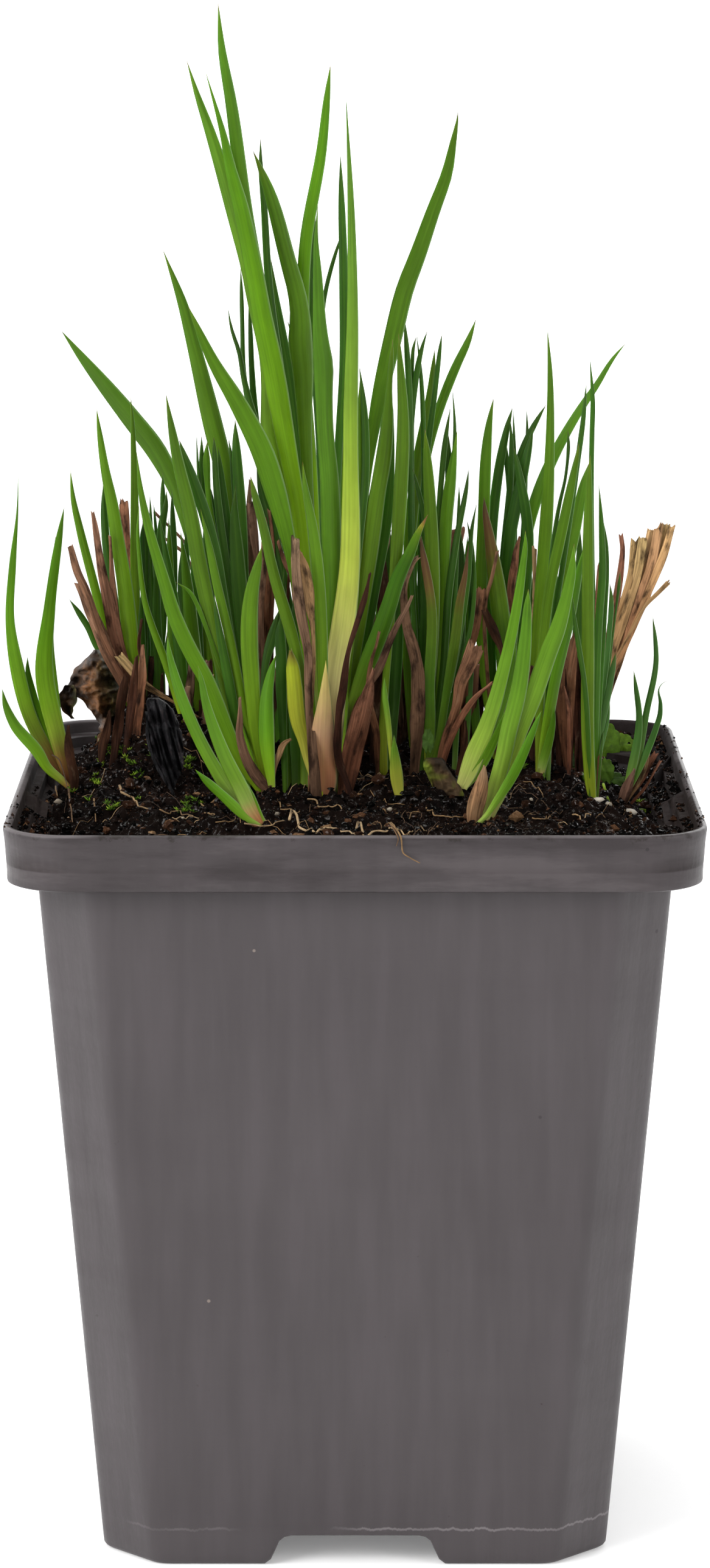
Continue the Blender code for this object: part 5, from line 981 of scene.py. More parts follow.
        (4.6, 4, "shade", [684, 553, 0, 679, 570, 5, 677, 600, 6, 677, 680, 6, 678, 850, 6, 698, 1245, 7]),
        (3, 4, "shade", [740, 668, 0, 732, 720, 8, 724, 800, 9, 715, 1100, 8, 704, 1245, 7]),
        (3.9, 4, "shade", [743, 635, 0, 747, 700, 5, 740, 820, 7, 733, 950, 7, 705, 1245, 7]),
        (1.9, 4, "shade", [770, 770, 0, 767, 795, 5, 751, 880, 10, 737, 975, 12, 728, 1100, 11,
            708, 1245, 8]),
        (2.6, 4, "shade", [754, 799, 0, 754, 820, 4, 753, 845, 5, 744, 1010, 9, 709, 1245, 7]),
        (2, 4, "shade", [678, 770, 0, 683, 790, 5, 695, 840, 8, 706, 930, 7, 708, 1100, 6, 704, 1245, 7]),
        (3.2, 4, "shade", [783, 826, 0, 775, 870, 6, 769, 940, 10, 752, 1060, 10, 711, 1245, 8]),
        (3.8, 4, "shade", [767, 855, 0, 772, 880, 5, 779, 945, 6, 776, 1010, 7, 756, 1100, 8,
            712, 1245, 8])]),
    ("back_right_leaf_1", "backRight", [
        (0, 5, "tall", [811, 653, 0, 806, 680, 7, 794, 870, 19, 790, 1020, 18, 795, 1100, 16,
            812, 1235, 9])]),
    ("back_right_small_leaves", "backRight", [
        (2.8, -5, "shade", [842, 669, 0, 835, 695, 8, 828, 725, 12, 811, 840, 16, 808, 1080, 13,
            818, 1235, 8]),
        (1.8, -5, "shade", [876, 702, 0, 871, 725, 8, 859, 780, 16, 838, 880, 19, 833, 930, 18,
            826, 1100, 14, 830, 1240, 9]),
        (1.2, 5, "shade", [844, 735, 0, 848, 755, 8, 853, 780, 12, 867, 870, 18, 864, 970, 16,
            838, 1242, 8]),
        (3.6, 4, "shade", [897, 665, 0, 888, 680, 5, 856, 745, 11, 841, 810, 11, 838, 880, 10,
            832, 1240, 5]),
        (2.4, 4, "shade", [838, 688, 0, 840, 720, 6, 840, 760, 9, 825, 940, 11, 824, 1240, 6]),
        (4.6, 4, "shade", [865, 672, 0, 866, 700, 4, 864, 780, 6, 846, 1050, 7, 834, 1240, 5]),
        (4, 4, "shade", [843, 671, 0, 844, 700, 3, 846, 900, 7, 830, 1240, 5]),
        (3.2, 4, "shade", [827, 711, 0, 830, 735, 6, 836, 800, 8, 836, 900, 8, 832, 1050, 7,
            828, 1240, 5])]),
    ("back_right_leaf_3", "backRight", [
        (-1, 5, "witheredTop", [795, 816, 0, 797, 840, 8, 802, 870, 14, 821, 1000, 29, 826, 1040, 28,
            826, 1160, 16, 824, 1240, 10])]),
    ("back_right_leaf_6", "backRight", [
        (0, 5, "tall", [899, 538, 0, 903, 600, 7, 903, 740, 15, 897, 860, 21, 885, 1000, 18, 868, 1150, 13,
            852, 1245, 8])]),
    ("back_right_leaf_7", "backRight", [
        (5.8, 5, "blue", [1028, 564, 0, 1010, 585, 5, 978, 636, 10, 960, 662, 12, 868, 865, 18, 860, 910, 16,
            846, 1080, 12, 843, 1240, 8])]),
    ("right_leaf_1", "right", [
        (0, -5, "tall", [970, 748, 0, 968, 780, 8, 967, 820, 12, 966, 1060, 20, 967, 1240, 19, 971, 1295, 16,
            975, 1322, 9]),
        (-0.9, 5, "shade", [940, 976, 0, 942, 1000, 4, 961, 1130, 8, 970, 1315, 6])]),
    ("right_small_leaves", "right", [
        (1.2, 5, "shade", [984, 795, 0, 988, 860, 8, 990, 940, 12, 984, 1020, 13, 978, 1210, 12,
            978, 1316, 7]),
        (4.2, 5, "shade", [969, 586, 0, 974, 670, 8, 973, 700, 8, 977, 1200, 9, 978, 1312, 6]),
        (2, 4, "shade", [992, 859, 0, 995, 885, 5, 997, 945, 7, 995, 985, 7, 984, 1180, 7, 980, 1310, 5]),
        (2.6, 4, "redEdge", [1012, 1070, 0, 1008, 1092, 8, 1003, 1120, 10, 980, 1255, 8, 978, 1305, 6]),
        (3.2, 4, "redEdge", [1002, 1150, 0, 999, 1175, 6, 987, 1235, 6, 981, 1300, 5]),
        (3.6, 4, "redEdge", [1002, 958, 0, 1004, 980, 6, 1001, 1040, 8, 984, 1200, 7, 980, 1305, 5])]),
    ("right_back_leaves", "rightBack", [
        (0.6, 5, "tall", [951, 729, 0, 949, 745, 6, 944, 770, 10, 917, 900, 17, 908, 940, 17, 886, 1170, 13,
            884, 1284, 8]),
        (-0.4, 5, "fresh", [958, 902, 0, 953, 930, 9, 942, 990, 15, 912, 1120, 18, 898, 1200, 17,
            884, 1288, 9]),
        (-1.2, 5, "front", [911, 1158, 0, 909, 1180, 7, 888, 1270, 13, 884, 1290, 9]),
        (1.4, 4, "shade", [963, 630, 0, 961, 660, 5, 946, 780, 9, 929, 900, 9, 912, 1010, 9, 892, 1280, 6]),
        (2, 4, "shade", [933, 708, 0, 934, 725, 5, 932, 760, 5, 928, 790, 5, 921, 820, 6, 896, 1050, 8,
            888, 1280, 5])]),
    ("right_leaf_5", "rightBack", [
        (3.8, -5, "blue", [967, 762, 0, 960, 790, 11, 948, 850, 18, 920, 990, 16, 900, 1120, 14,
            888, 1282, 8])]),
    ("front_right_leaf_1", "frontRight", [
        (1, 5, "frontPale", [943, 893, 0, 939, 940, 14, 932, 975, 18, 914, 1040, 26, 902, 1070, 28,
            877, 1142, 29, 850, 1213, 24, 824, 1290, 28, 806, 1332, 20])]),
    ("front_right_leaf_2", "frontRight", [
        (0, -5, "frontPale", [868, 968, 0, 867, 985, 8, 864, 1040, 18, 851, 1140, 26, 836, 1200, 27,
            828, 1240, 26, 810, 1305, 23, 798, 1340, 16])]),
    ("front_right_leaf_3", "frontRight", [
        (-1, 5, "frontPale", [889, 1168, 0, 882, 1185, 7, 874, 1205, 11, 832, 1292, 16, 815, 1317, 12,
            799, 1340, 9, 786, 1353, 8]),
        (-2, 5, "sheath", [796, 1260, 3, 794, 1275, 14, 780, 1335, 27, 777, 1358, 20])]),
    ("front_right_leaf_4", "frontRight2", [
        (0, 5, "frontPale", [863, 872, 0, 863, 895, 7, 859, 930, 11, 832, 1080, 19, 797, 1200, 27,
            780, 1240, 31, 768, 1272, 27, 758, 1294, 18]),
        (-1, 5, "frontPale", [829, 1168, 0, 822, 1190, 7, 768, 1288, 11, 759, 1298, 7]),
        (1, 5, "frontPale", [848, 1056, 0, 844, 1085, 7, 818, 1175, 16, 790, 1240, 15, 764, 1288, 9])]),
    ("far_right_leaves", "farRight", [
        (1, -20, "redEdge", [1072, 1012, 0, 1076, 1045, 6, 1078, 1080, 8, 1062, 1170, 10, 1042, 1270, 10,
            1030, 1305, 8]),
        (0, -20, "redEdge", [1041, 1101, 0, 1044, 1125, 6, 1050, 1180, 10, 1036, 1270, 13, 1026, 1306, 9]),
        (-1, -20, "redEdge", [1095, 1119, 0.6, 1088, 1123, 1, 1083, 1130, 1.6, 1085, 1155, 6, 1084, 1175, 8,
            1078, 1195, 9, 1036, 1290, 9, 1026, 1310, 6])]),
    ("dead_left_sheaths", "left", [
        (-3.2, 8, "dryPale", [152, 843, 5, 155, 860, 8, 164, 920, 12, 180, 1000, 20, 190, 1050, 22,
            204, 1095, 18, 216, 1145, 10]),
        (-4.4, 8, "dryPale", [130, 958, 15, 138, 975, 17, 147, 1000, 19, 162, 1035, 21, 176, 1070, 22,
            192, 1103, 18, 208, 1140, 10]),
        (-5.2, 8, "dryPale", [115, 898, 9, 127, 940, 12, 140, 968, 12, 170, 1050, 11, 205, 1120, 8]),
        (-2.8, 8, "dryPale", [180, 880, 3, 192, 1030, 13, 216, 1130, 8])]),
    ("left_dead_strips", "left", [
        (9, 8, "dryBrown", [203, 828, 15, 205, 860, 15, 208, 890, 11, 218, 1010, 8, 230, 1150, 7]),
        (8, 5, "dryBrown", [253, 841, 2, 312, 905, 5, 330, 960, 3]),
        (8.5, 5, "dryBrown", [260, 877, 2, 282, 893, 5, 303, 910, 5, 322, 960, 3]),
        (-3, 5, "dryDark", [232, 1020, 3, 228, 1060, 6, 236, 1100, 5, 238, 1160, 4]),
        (-4, -15, "dryBrown", [234, 1085, 4, 232, 1130, 12, 226, 1245, 12])]),
    ("straw_strip", "left", [
        (-6.2, 30, "straw", [197, 1079, 12, 212, 1096, 13, 230, 1117, 12, 263, 1141, 8, 290, 1156, 3])]),
    ("dead_main_1", "main", [
        (-3.4, 4, "dryPurple", [485, 888, 14, 485, 920, 14, 493, 1000, 17, 506, 1080, 13, 506, 1120, 12,
            519, 1299, 18])]),
    ("main_dead_strips", "main", [
        (-2.8, 4, "dryTan", [493, 905, 2, 497, 920, 10, 507, 980, 18, 513, 1030, 8, 515, 1090, 6,
            511, 1180, 5, 508, 1290, 4]),
        (-4.5, 0, "foot", [535, 1085, 0, 534, 1130, 14, 530, 1250, 45, 531, 1290, 42, 531, 1302, 36]),
        (-4.8, 15, "dryDark", [608, 942, 2, 598, 985, 9, 583, 1035, 8, 569, 1085, 9, 566, 1110, 12,
            555, 1200, 12, 554, 1220, 14, 556, 1250, 12, 566, 1275, 9, 575, 1300, 8, 580, 1325, 5]),
        (2, 0, "shade", [461, 1010, 0, 460, 1040, 15, 462, 1080, 18, 462, 1130, 18, 464, 1180, 14,
            468, 1290, 8]),
        (-2, 5, "lime", [490, 970, 0, 508, 1025, 5, 512, 1050, 4, 510, 1150, 3, 510, 1280, 2]),
        (-1.5, 10, "dryBrown", [613, 1102, 4, 604, 1140, 20, 574, 1260, 32, 567, 1300, 24])]),
    ("middle_dead_strips", "middle", [
        (-3.4, 4, "dryPurple", [677, 978, 2, 670, 995, 6, 650, 1032, 10, 630, 1080, 13, 620, 1102, 13,
            606, 1130, 4]),
        (-5, 5, "dryBrown", [623, 1038, 2, 618, 1060, 4, 610, 1085, 6, 605, 1140, 8, 617, 1200, 12,
            620, 1262, 6]),
        (2.6, 5, "dryPurple", [640, 872, 2, 634, 890, 12, 627, 905, 16, 620, 930, 14, 612, 990, 10,
            610, 1020, 12, 600, 1120, 10, 575, 1240, 8])]),
    ("dead_curl", "middleRight", [
        (-1, 10, "dryPurple", [686, 917, 6, 680, 922, 9, 673, 936, 10, 666, 955, 11, 668, 1025, 14,
            682, 1075, 20, 687, 1160, 22, 686, 1200, 23, 682, 1248, 16])]),
    ("dead_torn_strips", "middleRight", [
        (-1.4, -8, "dryBrown", [780, 1064, 27, 775, 1080, 26, 756, 1125, 19, 752, 1150, 17, 746, 1172, 14,
            730, 1220, 13, 722, 1252, 9]),
        (-2.4, -8, "dryBrown", [807, 1123, 2, 785, 1142, 8, 740, 1215, 10, 728, 1252, 9])]),
    ("back_right_dead_strips", "backRight", [
        (-3, 5, "dryBrown", [790, 971, 17, 781, 1035, 12, 771, 1070, 12, 762, 1200, 8]),
        (-2.5, 5, "dryBrown", [817, 907, 5, 806, 955, 6, 800, 975, 6, 797, 1000, 6, 800, 1100, 6,
            815, 1235, 5]),
        (-3.4, 5, "dryDark", [797, 1005, 10, 808, 1030, 16, 825, 1075, 7, 828, 1120, 4]),
        (0.5, 5, "dryBrown", [853, 885, 3, 849, 900, 8, 845, 930, 12, 840, 960, 12, 838, 990, 10,
            836, 1100, 8, 834, 1240, 6]),
        (0.2, 5, "dryTan", [878, 901, 8, 877, 980, 4, 868, 1100, 4])]),
    ("dead_back_right", "rightBack", [
        (5, 5, "dryBrown", [945, 1040, 4, 938, 1070, 20, 932, 1100, 29, 930, 1220, 20, 934, 1270, 12])]),
    ("dead_right", "right", [
        (8.6, -12, "straw", [1044, 890, 14, 1040, 930, 14, 1030, 975, 14, 1012, 1022, 14, 990, 1110, 12,
            976, 1180, 5, 973, 1300, 4]),
        (8.1, -16, "straw", [1056, 887, 14, 1050, 930, 14, 1020, 1030, 13, 990, 1130, 10, 975, 1200, 5,
            973, 1300, 4]),
        (8.5, -6, "straw", [1070, 874, 14, 1062, 915, 15, 1029, 1030, 13, 1010, 1080, 11, 994, 1130, 9,
            976, 1200, 5, 973, 1300, 4]),
        (7.9, -12, "straw", [1082, 868, 14, 1073, 915, 15, 1056, 970, 14, 1036, 1030, 12, 1015, 1082, 10,
            996, 1140, 8, 976, 1210, 4, 973, 1300, 3]),
        (8.4, -18, "straw", [1094, 864, 14, 1084, 905, 16, 1067, 960, 14, 1022, 1075, 10, 1000, 1140, 8,
            976, 1220, 4, 973, 1300, 3]),
        (7.7, -8, "straw", [1104, 866, 10, 1094, 900, 13, 1058, 990, 10, 1015, 1090, 7, 986, 1160, 4,
            973, 1300, 3])]),
    ("centre_dead_strips", "centreLeft", [
        (9, 5, "dryBrown", [441, 836, 2, 447, 875, 4, 446, 1040, 4, 436, 1290, 3]),
        (8, 5, "dryBrown", [456, 888, 4, 468, 925, 7, 476, 945, 5, 484, 1000, 3, 500, 1150, 3]),
        (8.6, 5, "dryDark", [462, 885, 3, 475, 920, 4, 474, 950, 2]),
        (9.5, 5, "dryPurple", [412, 826, 12, 417, 880, 14, 422, 920, 8, 424, 1000, 6, 434, 1290, 5]),
        (10, 5, "straw", [408, 850, 2, 404, 880, 5, 390, 940, 4, 400, 1100, 3]),
        (5.4, 5, "dryPurple", [433, 888, 8, 433, 920, 10, 427, 1000, 12, 430, 1100, 12, 430, 1150, 10,
            436, 1290, 8]),
        (4, 5, "shade", [459, 1000, 0, 452, 1030, 14, 436, 1090, 12, 432, 1125, 8, 434, 1290, 6]),
        (-3, 25, "dryTan", [480, 1213, 4, 466, 1222, 9, 458, 1240, 9, 452, 1262, 5, 448, 1290, 4]),
        (3, 5, "tall", [288, 956, 0, 312, 973, 6, 325, 997, 7, 338, 1030, 7, 430, 1290, 5])]),
    ("left_dead_strips", "stalk", [
        (0, 20, "dryDark", [207, 1110, 6, 203, 1130, 14, 197, 1165, 16, 187, 1242, 11]),
        (1.5, 15, "dryDark", [224, 1080, 5, 221, 1110, 11, 206, 1238, 10]),
        (0.6, 10, "dryDark", [180, 1172, 5, 175, 1200, 13, 169, 1225, 14, 166, 1258, 8]),
        (2.4, -20, "dryBrown", [234, 1062, 4, 233, 1110, 15, 229, 1150, 18, 225, 1192, 13])]),
    ("middle_dead_strips", "middleRight", [
        (5, 5, "dryBrown", [742, 868, 28, 727, 950, 10, 716, 1100, 6, 706, 1245, 6]),
        (5.6, 5, "dryBrown", [760, 870, 8, 742, 960, 6, 712, 1240, 5]),
        (-4, 10, "dryDark", [764, 1185, 2, 765, 1200, 6, 758, 1250, 11, 752, 1275, 8])]),
    ("back_right_dead_strips", "rightBack", [
        (4.2, 5, "dryBrown", [927, 1127, 1, 935, 1175, 9, 935, 1195, 6])]),
    ("right_dead_strips", "right", [
        (3.5, 5, "dryBrown", [985, 925, 6, 983, 960, 8, 979, 1100, 3]),
        (6, 5, "dryBrown", [1020, 879, 7, 1023, 900, 8, 1021, 925, 10, 1010, 995, 12, 1004, 1020, 10,
            992, 1150, 8, 982, 1300, 6]),
        (7, 5, "dryTan", [1098, 957, 8, 1080, 975, 7, 1062, 993, 6, 1035, 1040, 4]),
        (4.4, 5, "shade", [1019, 938, 0, 1017, 960, 5, 1014, 985, 4, 1000, 1100, 4, 982, 1300, 4])]),
    ("far_right_sheaths", "farRight", [
        (1.4, -20, "dryBrown", [1077, 1238, 7, 1066, 1256, 10, 1053, 1280, 11, 1036, 1304, 8]),
        (0.6, 25, "dryTan", [1066, 1234, 3, 1061, 1258, 6, 1048, 1290, 6, 1036, 1308, 4]),
        (2.2, 10, "dryBrown", [1084, 1252, 3, 1056, 1298, 5, 1044, 1312, 4]),
        (-1.6, -10, "dryPurple", [1042, 1266, 3, 1029, 1298, 18, 1024, 1314, 16])]),
    # Filler blades behind the fans, most in the painted-shade look: they fill the dark gaps between the fans
    ("back_leaves", "left", [
        (-1, 8, "olive", [296, 872, 0, 304, 930, 12, 320, 1080, 22, 328, 1140, 20, 334, 1250, 16]),
        (0.5, -6, "shade", [262, 850, 0, 272, 910, 10, 284, 980, 16, 300, 1130, 18, 306, 1250, 14]),
        (2, 5, "tall", [333, 900, 0, 338, 1020, 20, 348, 1170, 18, 352, 1250, 14]),
        (1.2, 12, "shade", [318, 850, 0, 319, 920, 10, 326, 1090, 18, 330, 1250, 14]),
        (1.4, 6, "shade", [256, 880, 0, 257, 950, 9, 258, 1030, 14, 262, 1100, 16, 268, 1240, 12]),
        (2.6, -6, "olive", [277, 850, 0, 278, 900, 9, 281, 980, 12, 282, 1050, 14, 288, 1120, 16,
            296, 1250, 12]),
        (3.2, 6, "shade", [297, 905, 0, 297.5, 940, 10, 299, 990, 14, 306, 1060, 16, 318, 1250, 12]),
        (0, 4, "shade", [232, 960, 0, 232, 1020, 10, 236, 1180, 12]),
        (3.6, 5, "shade", [305, 868, 0, 305.5, 900, 8, 308, 960, 11, 314, 1060, 14, 322, 1250, 10]),
        (1.8, 5, "shade", [246, 870, 0, 247, 940, 9, 250, 1000, 11, 264, 1240, 10])]),
    ("back_leaves", "middle", [
        (3.6, -8, "shade", [662, 930, 0, 657, 980, 10, 653, 1050, 18, 640, 1260, 14]),
        (4.2, 6, "olive", [634, 880, 0, 631, 930, 14, 629, 990, 20, 624, 1070, 20, 616, 1240, 14]),
        (5, 5, "shade", [737, 715, 0, 737, 750, 10, 738, 790, 13, 735, 880, 11, 715, 1250, 8]),
        (4, 5, "shade", [639, 862, 0, 640, 900, 11, 640, 960, 12, 630, 1250, 8])]),
    ("back_leaves", "backRight", [
        (1.5, 8, "shade", [952, 860, 0, 952, 910, 10, 951, 990, 14, 946, 1090, 18, 938, 1240, 14]),
        (1, 8, "olive", [768, 880, 0, 766, 940, 12, 768, 1010, 16, 786, 1240, 14]),
        (2, -8, "shade", [872, 930, 0, 872, 1000, 16, 868, 1080, 22, 862, 1240, 16])]),
    ("back_leaves", "middleRight", [
        (4, 8, "shade", [700, 900, 0, 699, 980, 14, 694, 1240, 14]),
        (5, 5, "shade", [757, 872, 0, 758, 920, 12, 758, 980, 14, 747, 1250, 9]),
        (6, 5, "shade", [775, 910, 0, 775, 950, 9, 775, 1010, 11, 765, 1250, 8])]),
    ("back_leaves", "centreLeft", [
        (8.4, 6, "shade", [378, 900, 0, 382, 980, 16, 388, 1080, 20, 400, 1240, 14]),
        (7.4, 10, "shade", [486, 960, 0, 486, 1020, 18, 488, 1150, 30, 490, 1260, 22]),
        (7, -10, "olive", [505, 1000, 0, 503, 1060, 16, 500, 1120, 22, 497, 1260, 18]),
        (7.8, 6, "shade", [466, 930, 0, 466, 1000, 12, 468, 1160, 22, 472, 1260, 16]),
        (11, 5, "shade", [335, 850, 0, 337, 900, 9, 345, 960, 10, 358, 1100, 10, 372, 1250, 8])]),
    ("back_sheaths", "centreLeft", [
        (9.2, 5, "dryBrown", [436, 852, 5, 440, 900, 12, 440, 1040, 18, 436, 1260, 12]),
        (9.9, -8, "dryPurple", [411, 790, 4, 409, 830, 9, 412, 910, 12, 424, 1240, 10])]),
    ("back_sheaths", "middle", [
        (3.2, 5, "dryDark", [628, 906, 6, 629, 950, 18, 630, 1000, 20, 624, 1090, 18, 612, 1250, 12])]),
    ("back_leaves", "main", [
        (9, 5, "tall", [592, 615, 0, 591, 680, 10, 591, 810, 14, 586, 920, 12, 560, 1250, 8]),
        (9.6, 5, "tall", [562, 715, 0, 562, 760, 10, 561, 840, 11, 558, 920, 9, 545, 1250, 7])]),
    ("back_leaves", "rightBack", [
        (6, 5, "shade", [909, 910, 0, 910, 950, 13, 911, 1010, 16, 906, 1100, 13, 900, 1250, 10])]),
]
blades = [(name, shoot, rank, turn, look, np.reshape(numbers, (-1, 3)))
          for name, shoot, members in fanTable for rank, turn, look, numbers in members]


def bladeDepth(shoot, rank, row, fanRank):
    # shoot's base + (step + spread * height) * rank + lean * height; at its base ranks close to the fan's mean
    baseDepth, lean = shoots[shoot]
    height = np.maximum(0.0, (leaf["soilRow"] - row) * leaf["rowHeight"])
    share = np.clip(height / leaf["fanHeight"], 0, 1)
    rank = fanRank + (rank - fanRank) * share * share * (3 - 2 * share)
    return baseDepth + (leaf["layerStep"] + leaf["layerSpread"] * height) * rank + lean * height


def bladePath(shoot, rank, points, fanRank, rings):
    # Smooth line through the points in space, run straight on at its base until a little under the soil
    columns, rows, widths = smoothThrough(points, 60).T
    places, scale = spaceFromPhoto(columns, rows, bladeDepth(shoot, rank, rows, fanRank))
    widths = np.maximum(widths, 0.0) * scale * leaf["widen"]
    down = places[-1] - places[-3]
    down /= np.linalg.norm(down)
    down[2] = min(down[2], -0.6)
    places = np.concatenate([places, places[-1] + down * np.arange(1, 25)[:, None] * 0.5])
    widths = np.concatenate([widths, np.full(24, widths[-1])])
    depthIn = soilHeight(places[:, 0], places[:, 1]) - leaf["sink"] - places[:, 2]
    buried = np.flatnonzero((depthIn > 0) & (np.arange(len(places)) > 12))
    stop = buried[0] + 1 if len(buried) else len(places)
    places, widths = places[:stop], widths[:stop]
    along = np.concatenate(([0.0], np.cumsum(np.linalg.norm(np.diff(places, axis=0), axis=1))))
    at = along[-1] * np.linspace(0, 1, rings) ** 1.12
    path = np.stack([np.interp(at, along, places[:, k]) for k in range(3)], axis=-1)
    return path, np.interp(at, along, widths), at


def bladePart(shoot, rank, turn, look, points, fanRank, rng):
    # Lens across: x = cos a, y = sin a * |sin a|^0.4 + keel * exp(-(x / keel width)^2), plus fold * |x|.
    # Dry blades have cockled halves, y + two sines along and across; torn ends are shifted along at random
    dry = look in dryLooks
    rings, around = leaf["dryRings" if dry else "rings"], leaf["around"]
    if shoot.startswith("bases"):
        rings, around = leaf["baseRings"], leaf["baseAround"]
    path, width, along = bladePath(shoot, rank, points, fanRank, rings)
    share = along / along[-1]
    angle = 2 * np.pi * np.arange(around) / around
    x, y = np.cos(angle), np.sin(angle) * np.abs(np.sin(angle)) ** 0.4
    keelLine = leaf["keel"] * np.exp(-(x / leaf["keelWidth"]) ** 2) * np.sign(np.sin(angle) + 1e-9)
    direction = np.gradient(path, axis=0)
    direction /= np.linalg.norm(direction, axis=1, keepdims=True)
    level = np.cross(direction, [0.0, 1.0, 0.0])
    level /= np.linalg.norm(level, axis=1, keepdims=True)
    out = np.cross(level, direction)
    most, twist = leaf["swing"]
    swing = rng.uniform(-most, most)
    swing = swing + rng.uniform(-twist, twist) * np.sin(np.pi * share * rng.uniform(0.7, 1.6))
    turnNow = np.radians(turn + swing)[:, None]
    across = level * np.cos(turnNow) + out * np.sin(turnNow)
    torn = points[0][2] >= 2
    half = 0.5 * np.maximum(width, 0.4 if torn else 0.02) / np.cos(turnNow[:, 0])
    thick = np.maximum(leaf["leastThickness"], width * leaf["thickness"])
    thick = np.minimum(thick, 0.8 * half + 0.01)
    if dry:
        part, least, greatest = leaf["dryThickness"]
        thick = np.clip(part * width, least, greatest)
    fold = leaf["fold"] * rng.uniform(0.5, 1.4) * half * (1 if rng.uniform() < 0.75 else -1)
    lift = fold[:, None] * (np.abs(x) - 0.5)
    if dry:
        wave = rng.uniform(0, 6.28, 4)
        slow, quick = leaf["cockle"]
        lift = lift + half[:, None] * (slow * np.sin(along[:, None] * 0.55 + 2.4 * x + wave[0]) +
                                       quick * np.sin(along[:, None] * 1.3 - 4.0 * x + wave[1]))
    grid = sweepRings(path, across, half[:, None] * x, thick[:, None] * (y + keelLine) + lift)
    if torn:
        tear = rng.uniform(-1, 1, around)
        tear = (tear + tear[::-1]) * 0.5 * min(leaf["tear"][0], 0.5 * width[0] + 0.4)
        grid = grid + direction[:, None, :] * (tear * np.exp(-along / leaf["tear"][1])[:, None])[:, :, None]
    stops, colors = zip(*looks[look])
    table = np.array([hexValues(text) for text in colors])
    color = np.stack([np.interp(share, stops, table[:, k]) for k in range(3)], axis=-1)
    color = color * rng.uniform(0.92, 1.08) * (1 + rng.uniform(-0.03, 0.03, 3))
    color = toLinear(np.clip(color, 0, 1)) * studio["surfaceShare"]
    points3d, quads, triangles = closeRings(grid)
    offset = rng.uniform(0, 900)
    place = np.stack([np.broadcast_to(half[:, None] * x, (rings, around)) + offset,
                      np.broadcast_to(along[:, None], (rings, around)),
                      np.broadcast_to(x, (rings, around))], axis=-1)
    ends = np.array([[offset, along[0], 0.0], [offset, along[-1], 0.0]])
    values = {
        "bladeColor": np.column_stack([ringValue(color, around), np.ones(rings * around + 2)]),
        "bladePlace": np.concatenate([place.reshape(-1, 3), ends]),
    }
    return points3d, quads, triangles, values


def leafMaterial():
    # Living leaf: smooth waxy skin over parallel veins about 0.25 mm apart, drawn twice as coarse so that
    # they show. Both margins are a little darker and redder; one is then painted pale, partly its own pale
    # edge and partly a painted highlight. The middle is painted lighter, a painted highlight along the keel
    material, tree = newMaterial("living_leaf", 0.46, 0.10)
    place = addNode(tree, "Attribute", {"attribute_name": "bladePlace"}, out="Vector")
    color = addNode(tree, "Attribute", {"attribute_name": "bladeColor"}, out="Color")
    parts = addNode(tree, "SeparateXYZ", {0: place}).node
    veinPlace = addNode(tree, "Mapping", {"Scale": (2.2, 0.035, 0.0), "Vector": place})
    veins = addNode(tree, "TexNoise", {"Scale": 1.6, "Detail": 3.0, "Roughness": 0.6, "Vector": veinPlace})
    blotchPlace = addNode(tree, "Mapping", {"Scale": (0.5, 0.12, 0.0), "Vector": place})
    blotch = addNode(tree, "TexNoise", {"Scale": 1.0, "Detail": 3.0, "Vector": blotchPlace})
    stripe = addNode(tree, "ValToRGB", {"stops": [(0.30, 0.74), (0.5, 1.0), (0.72, 1.22)], "Fac": veins})
    base = addNode(tree, "Mix", {"blend_type": "MULTIPLY", 0: 0.8, 6: color, 7: stripe})
    patches = addNode(tree, "ValToRGB", {"stops": [(0.35, 0.88), (0.65, 1.12)], "Fac": blotch})
    base = addNode(tree, "Mix", {"blend_type": "MULTIPLY", 0: 0.9, 6: base, 7: patches})
    side = addNode(tree, "Math", {"operation": "ABSOLUTE", 0: parts.outputs["Z"]})
    edge = addNode(tree, "MapRange", {0: side, 1: 0.82, 2: 0.99, 3: 0.0, 4: 0.40})
    base = addNode(tree, "Mix", {"blend_type": "MULTIPLY", 0: edge, 6: base, 7: "B08A6E"})
    # One margin is painted pale: partly the leaf's own pale edge, partly a painted highlight
    pale = addNode(tree, "MapRange", {0: parts.outputs["Z"], 1: 0.80, 2: 0.95, 3: 0.0, 4: 0.42})
    base = addNode(tree, "Mix", {0: pale, 6: base, 7: "A9C98C"})
    # Painted highlight: the middle of the blade, along the keel, is screened lighter
    keelHighlight = addNode(tree, "MapRange", {0: side, 1: 0.0, 2: 0.22, 3: 0.25, 4: 0.0})
    base = addNode(tree, "Mix", {"blend_type": "SCREEN", 0: keelHighlight, 6: base, 7: "4A6A18"})
    gloss = addNode(tree, "MapRange", {0: blotch, 1: 0.3, 2: 0.7, 3: 0.36, 4: 0.52})
    shader = tree.nodes["Principled BSDF"]
    shader.inputs["Subsurface Weight"].default_value = 0.12
    shader.inputs["Subsurface Radius"].default_value = (0.4, 1.0, 0.2)
    shader.inputs["Subsurface Scale"].default_value = 0.0006
    return finishMaterial(material, {"Base Color": base, "Roughness": gloss}, veins, 0.35, 0.00012)


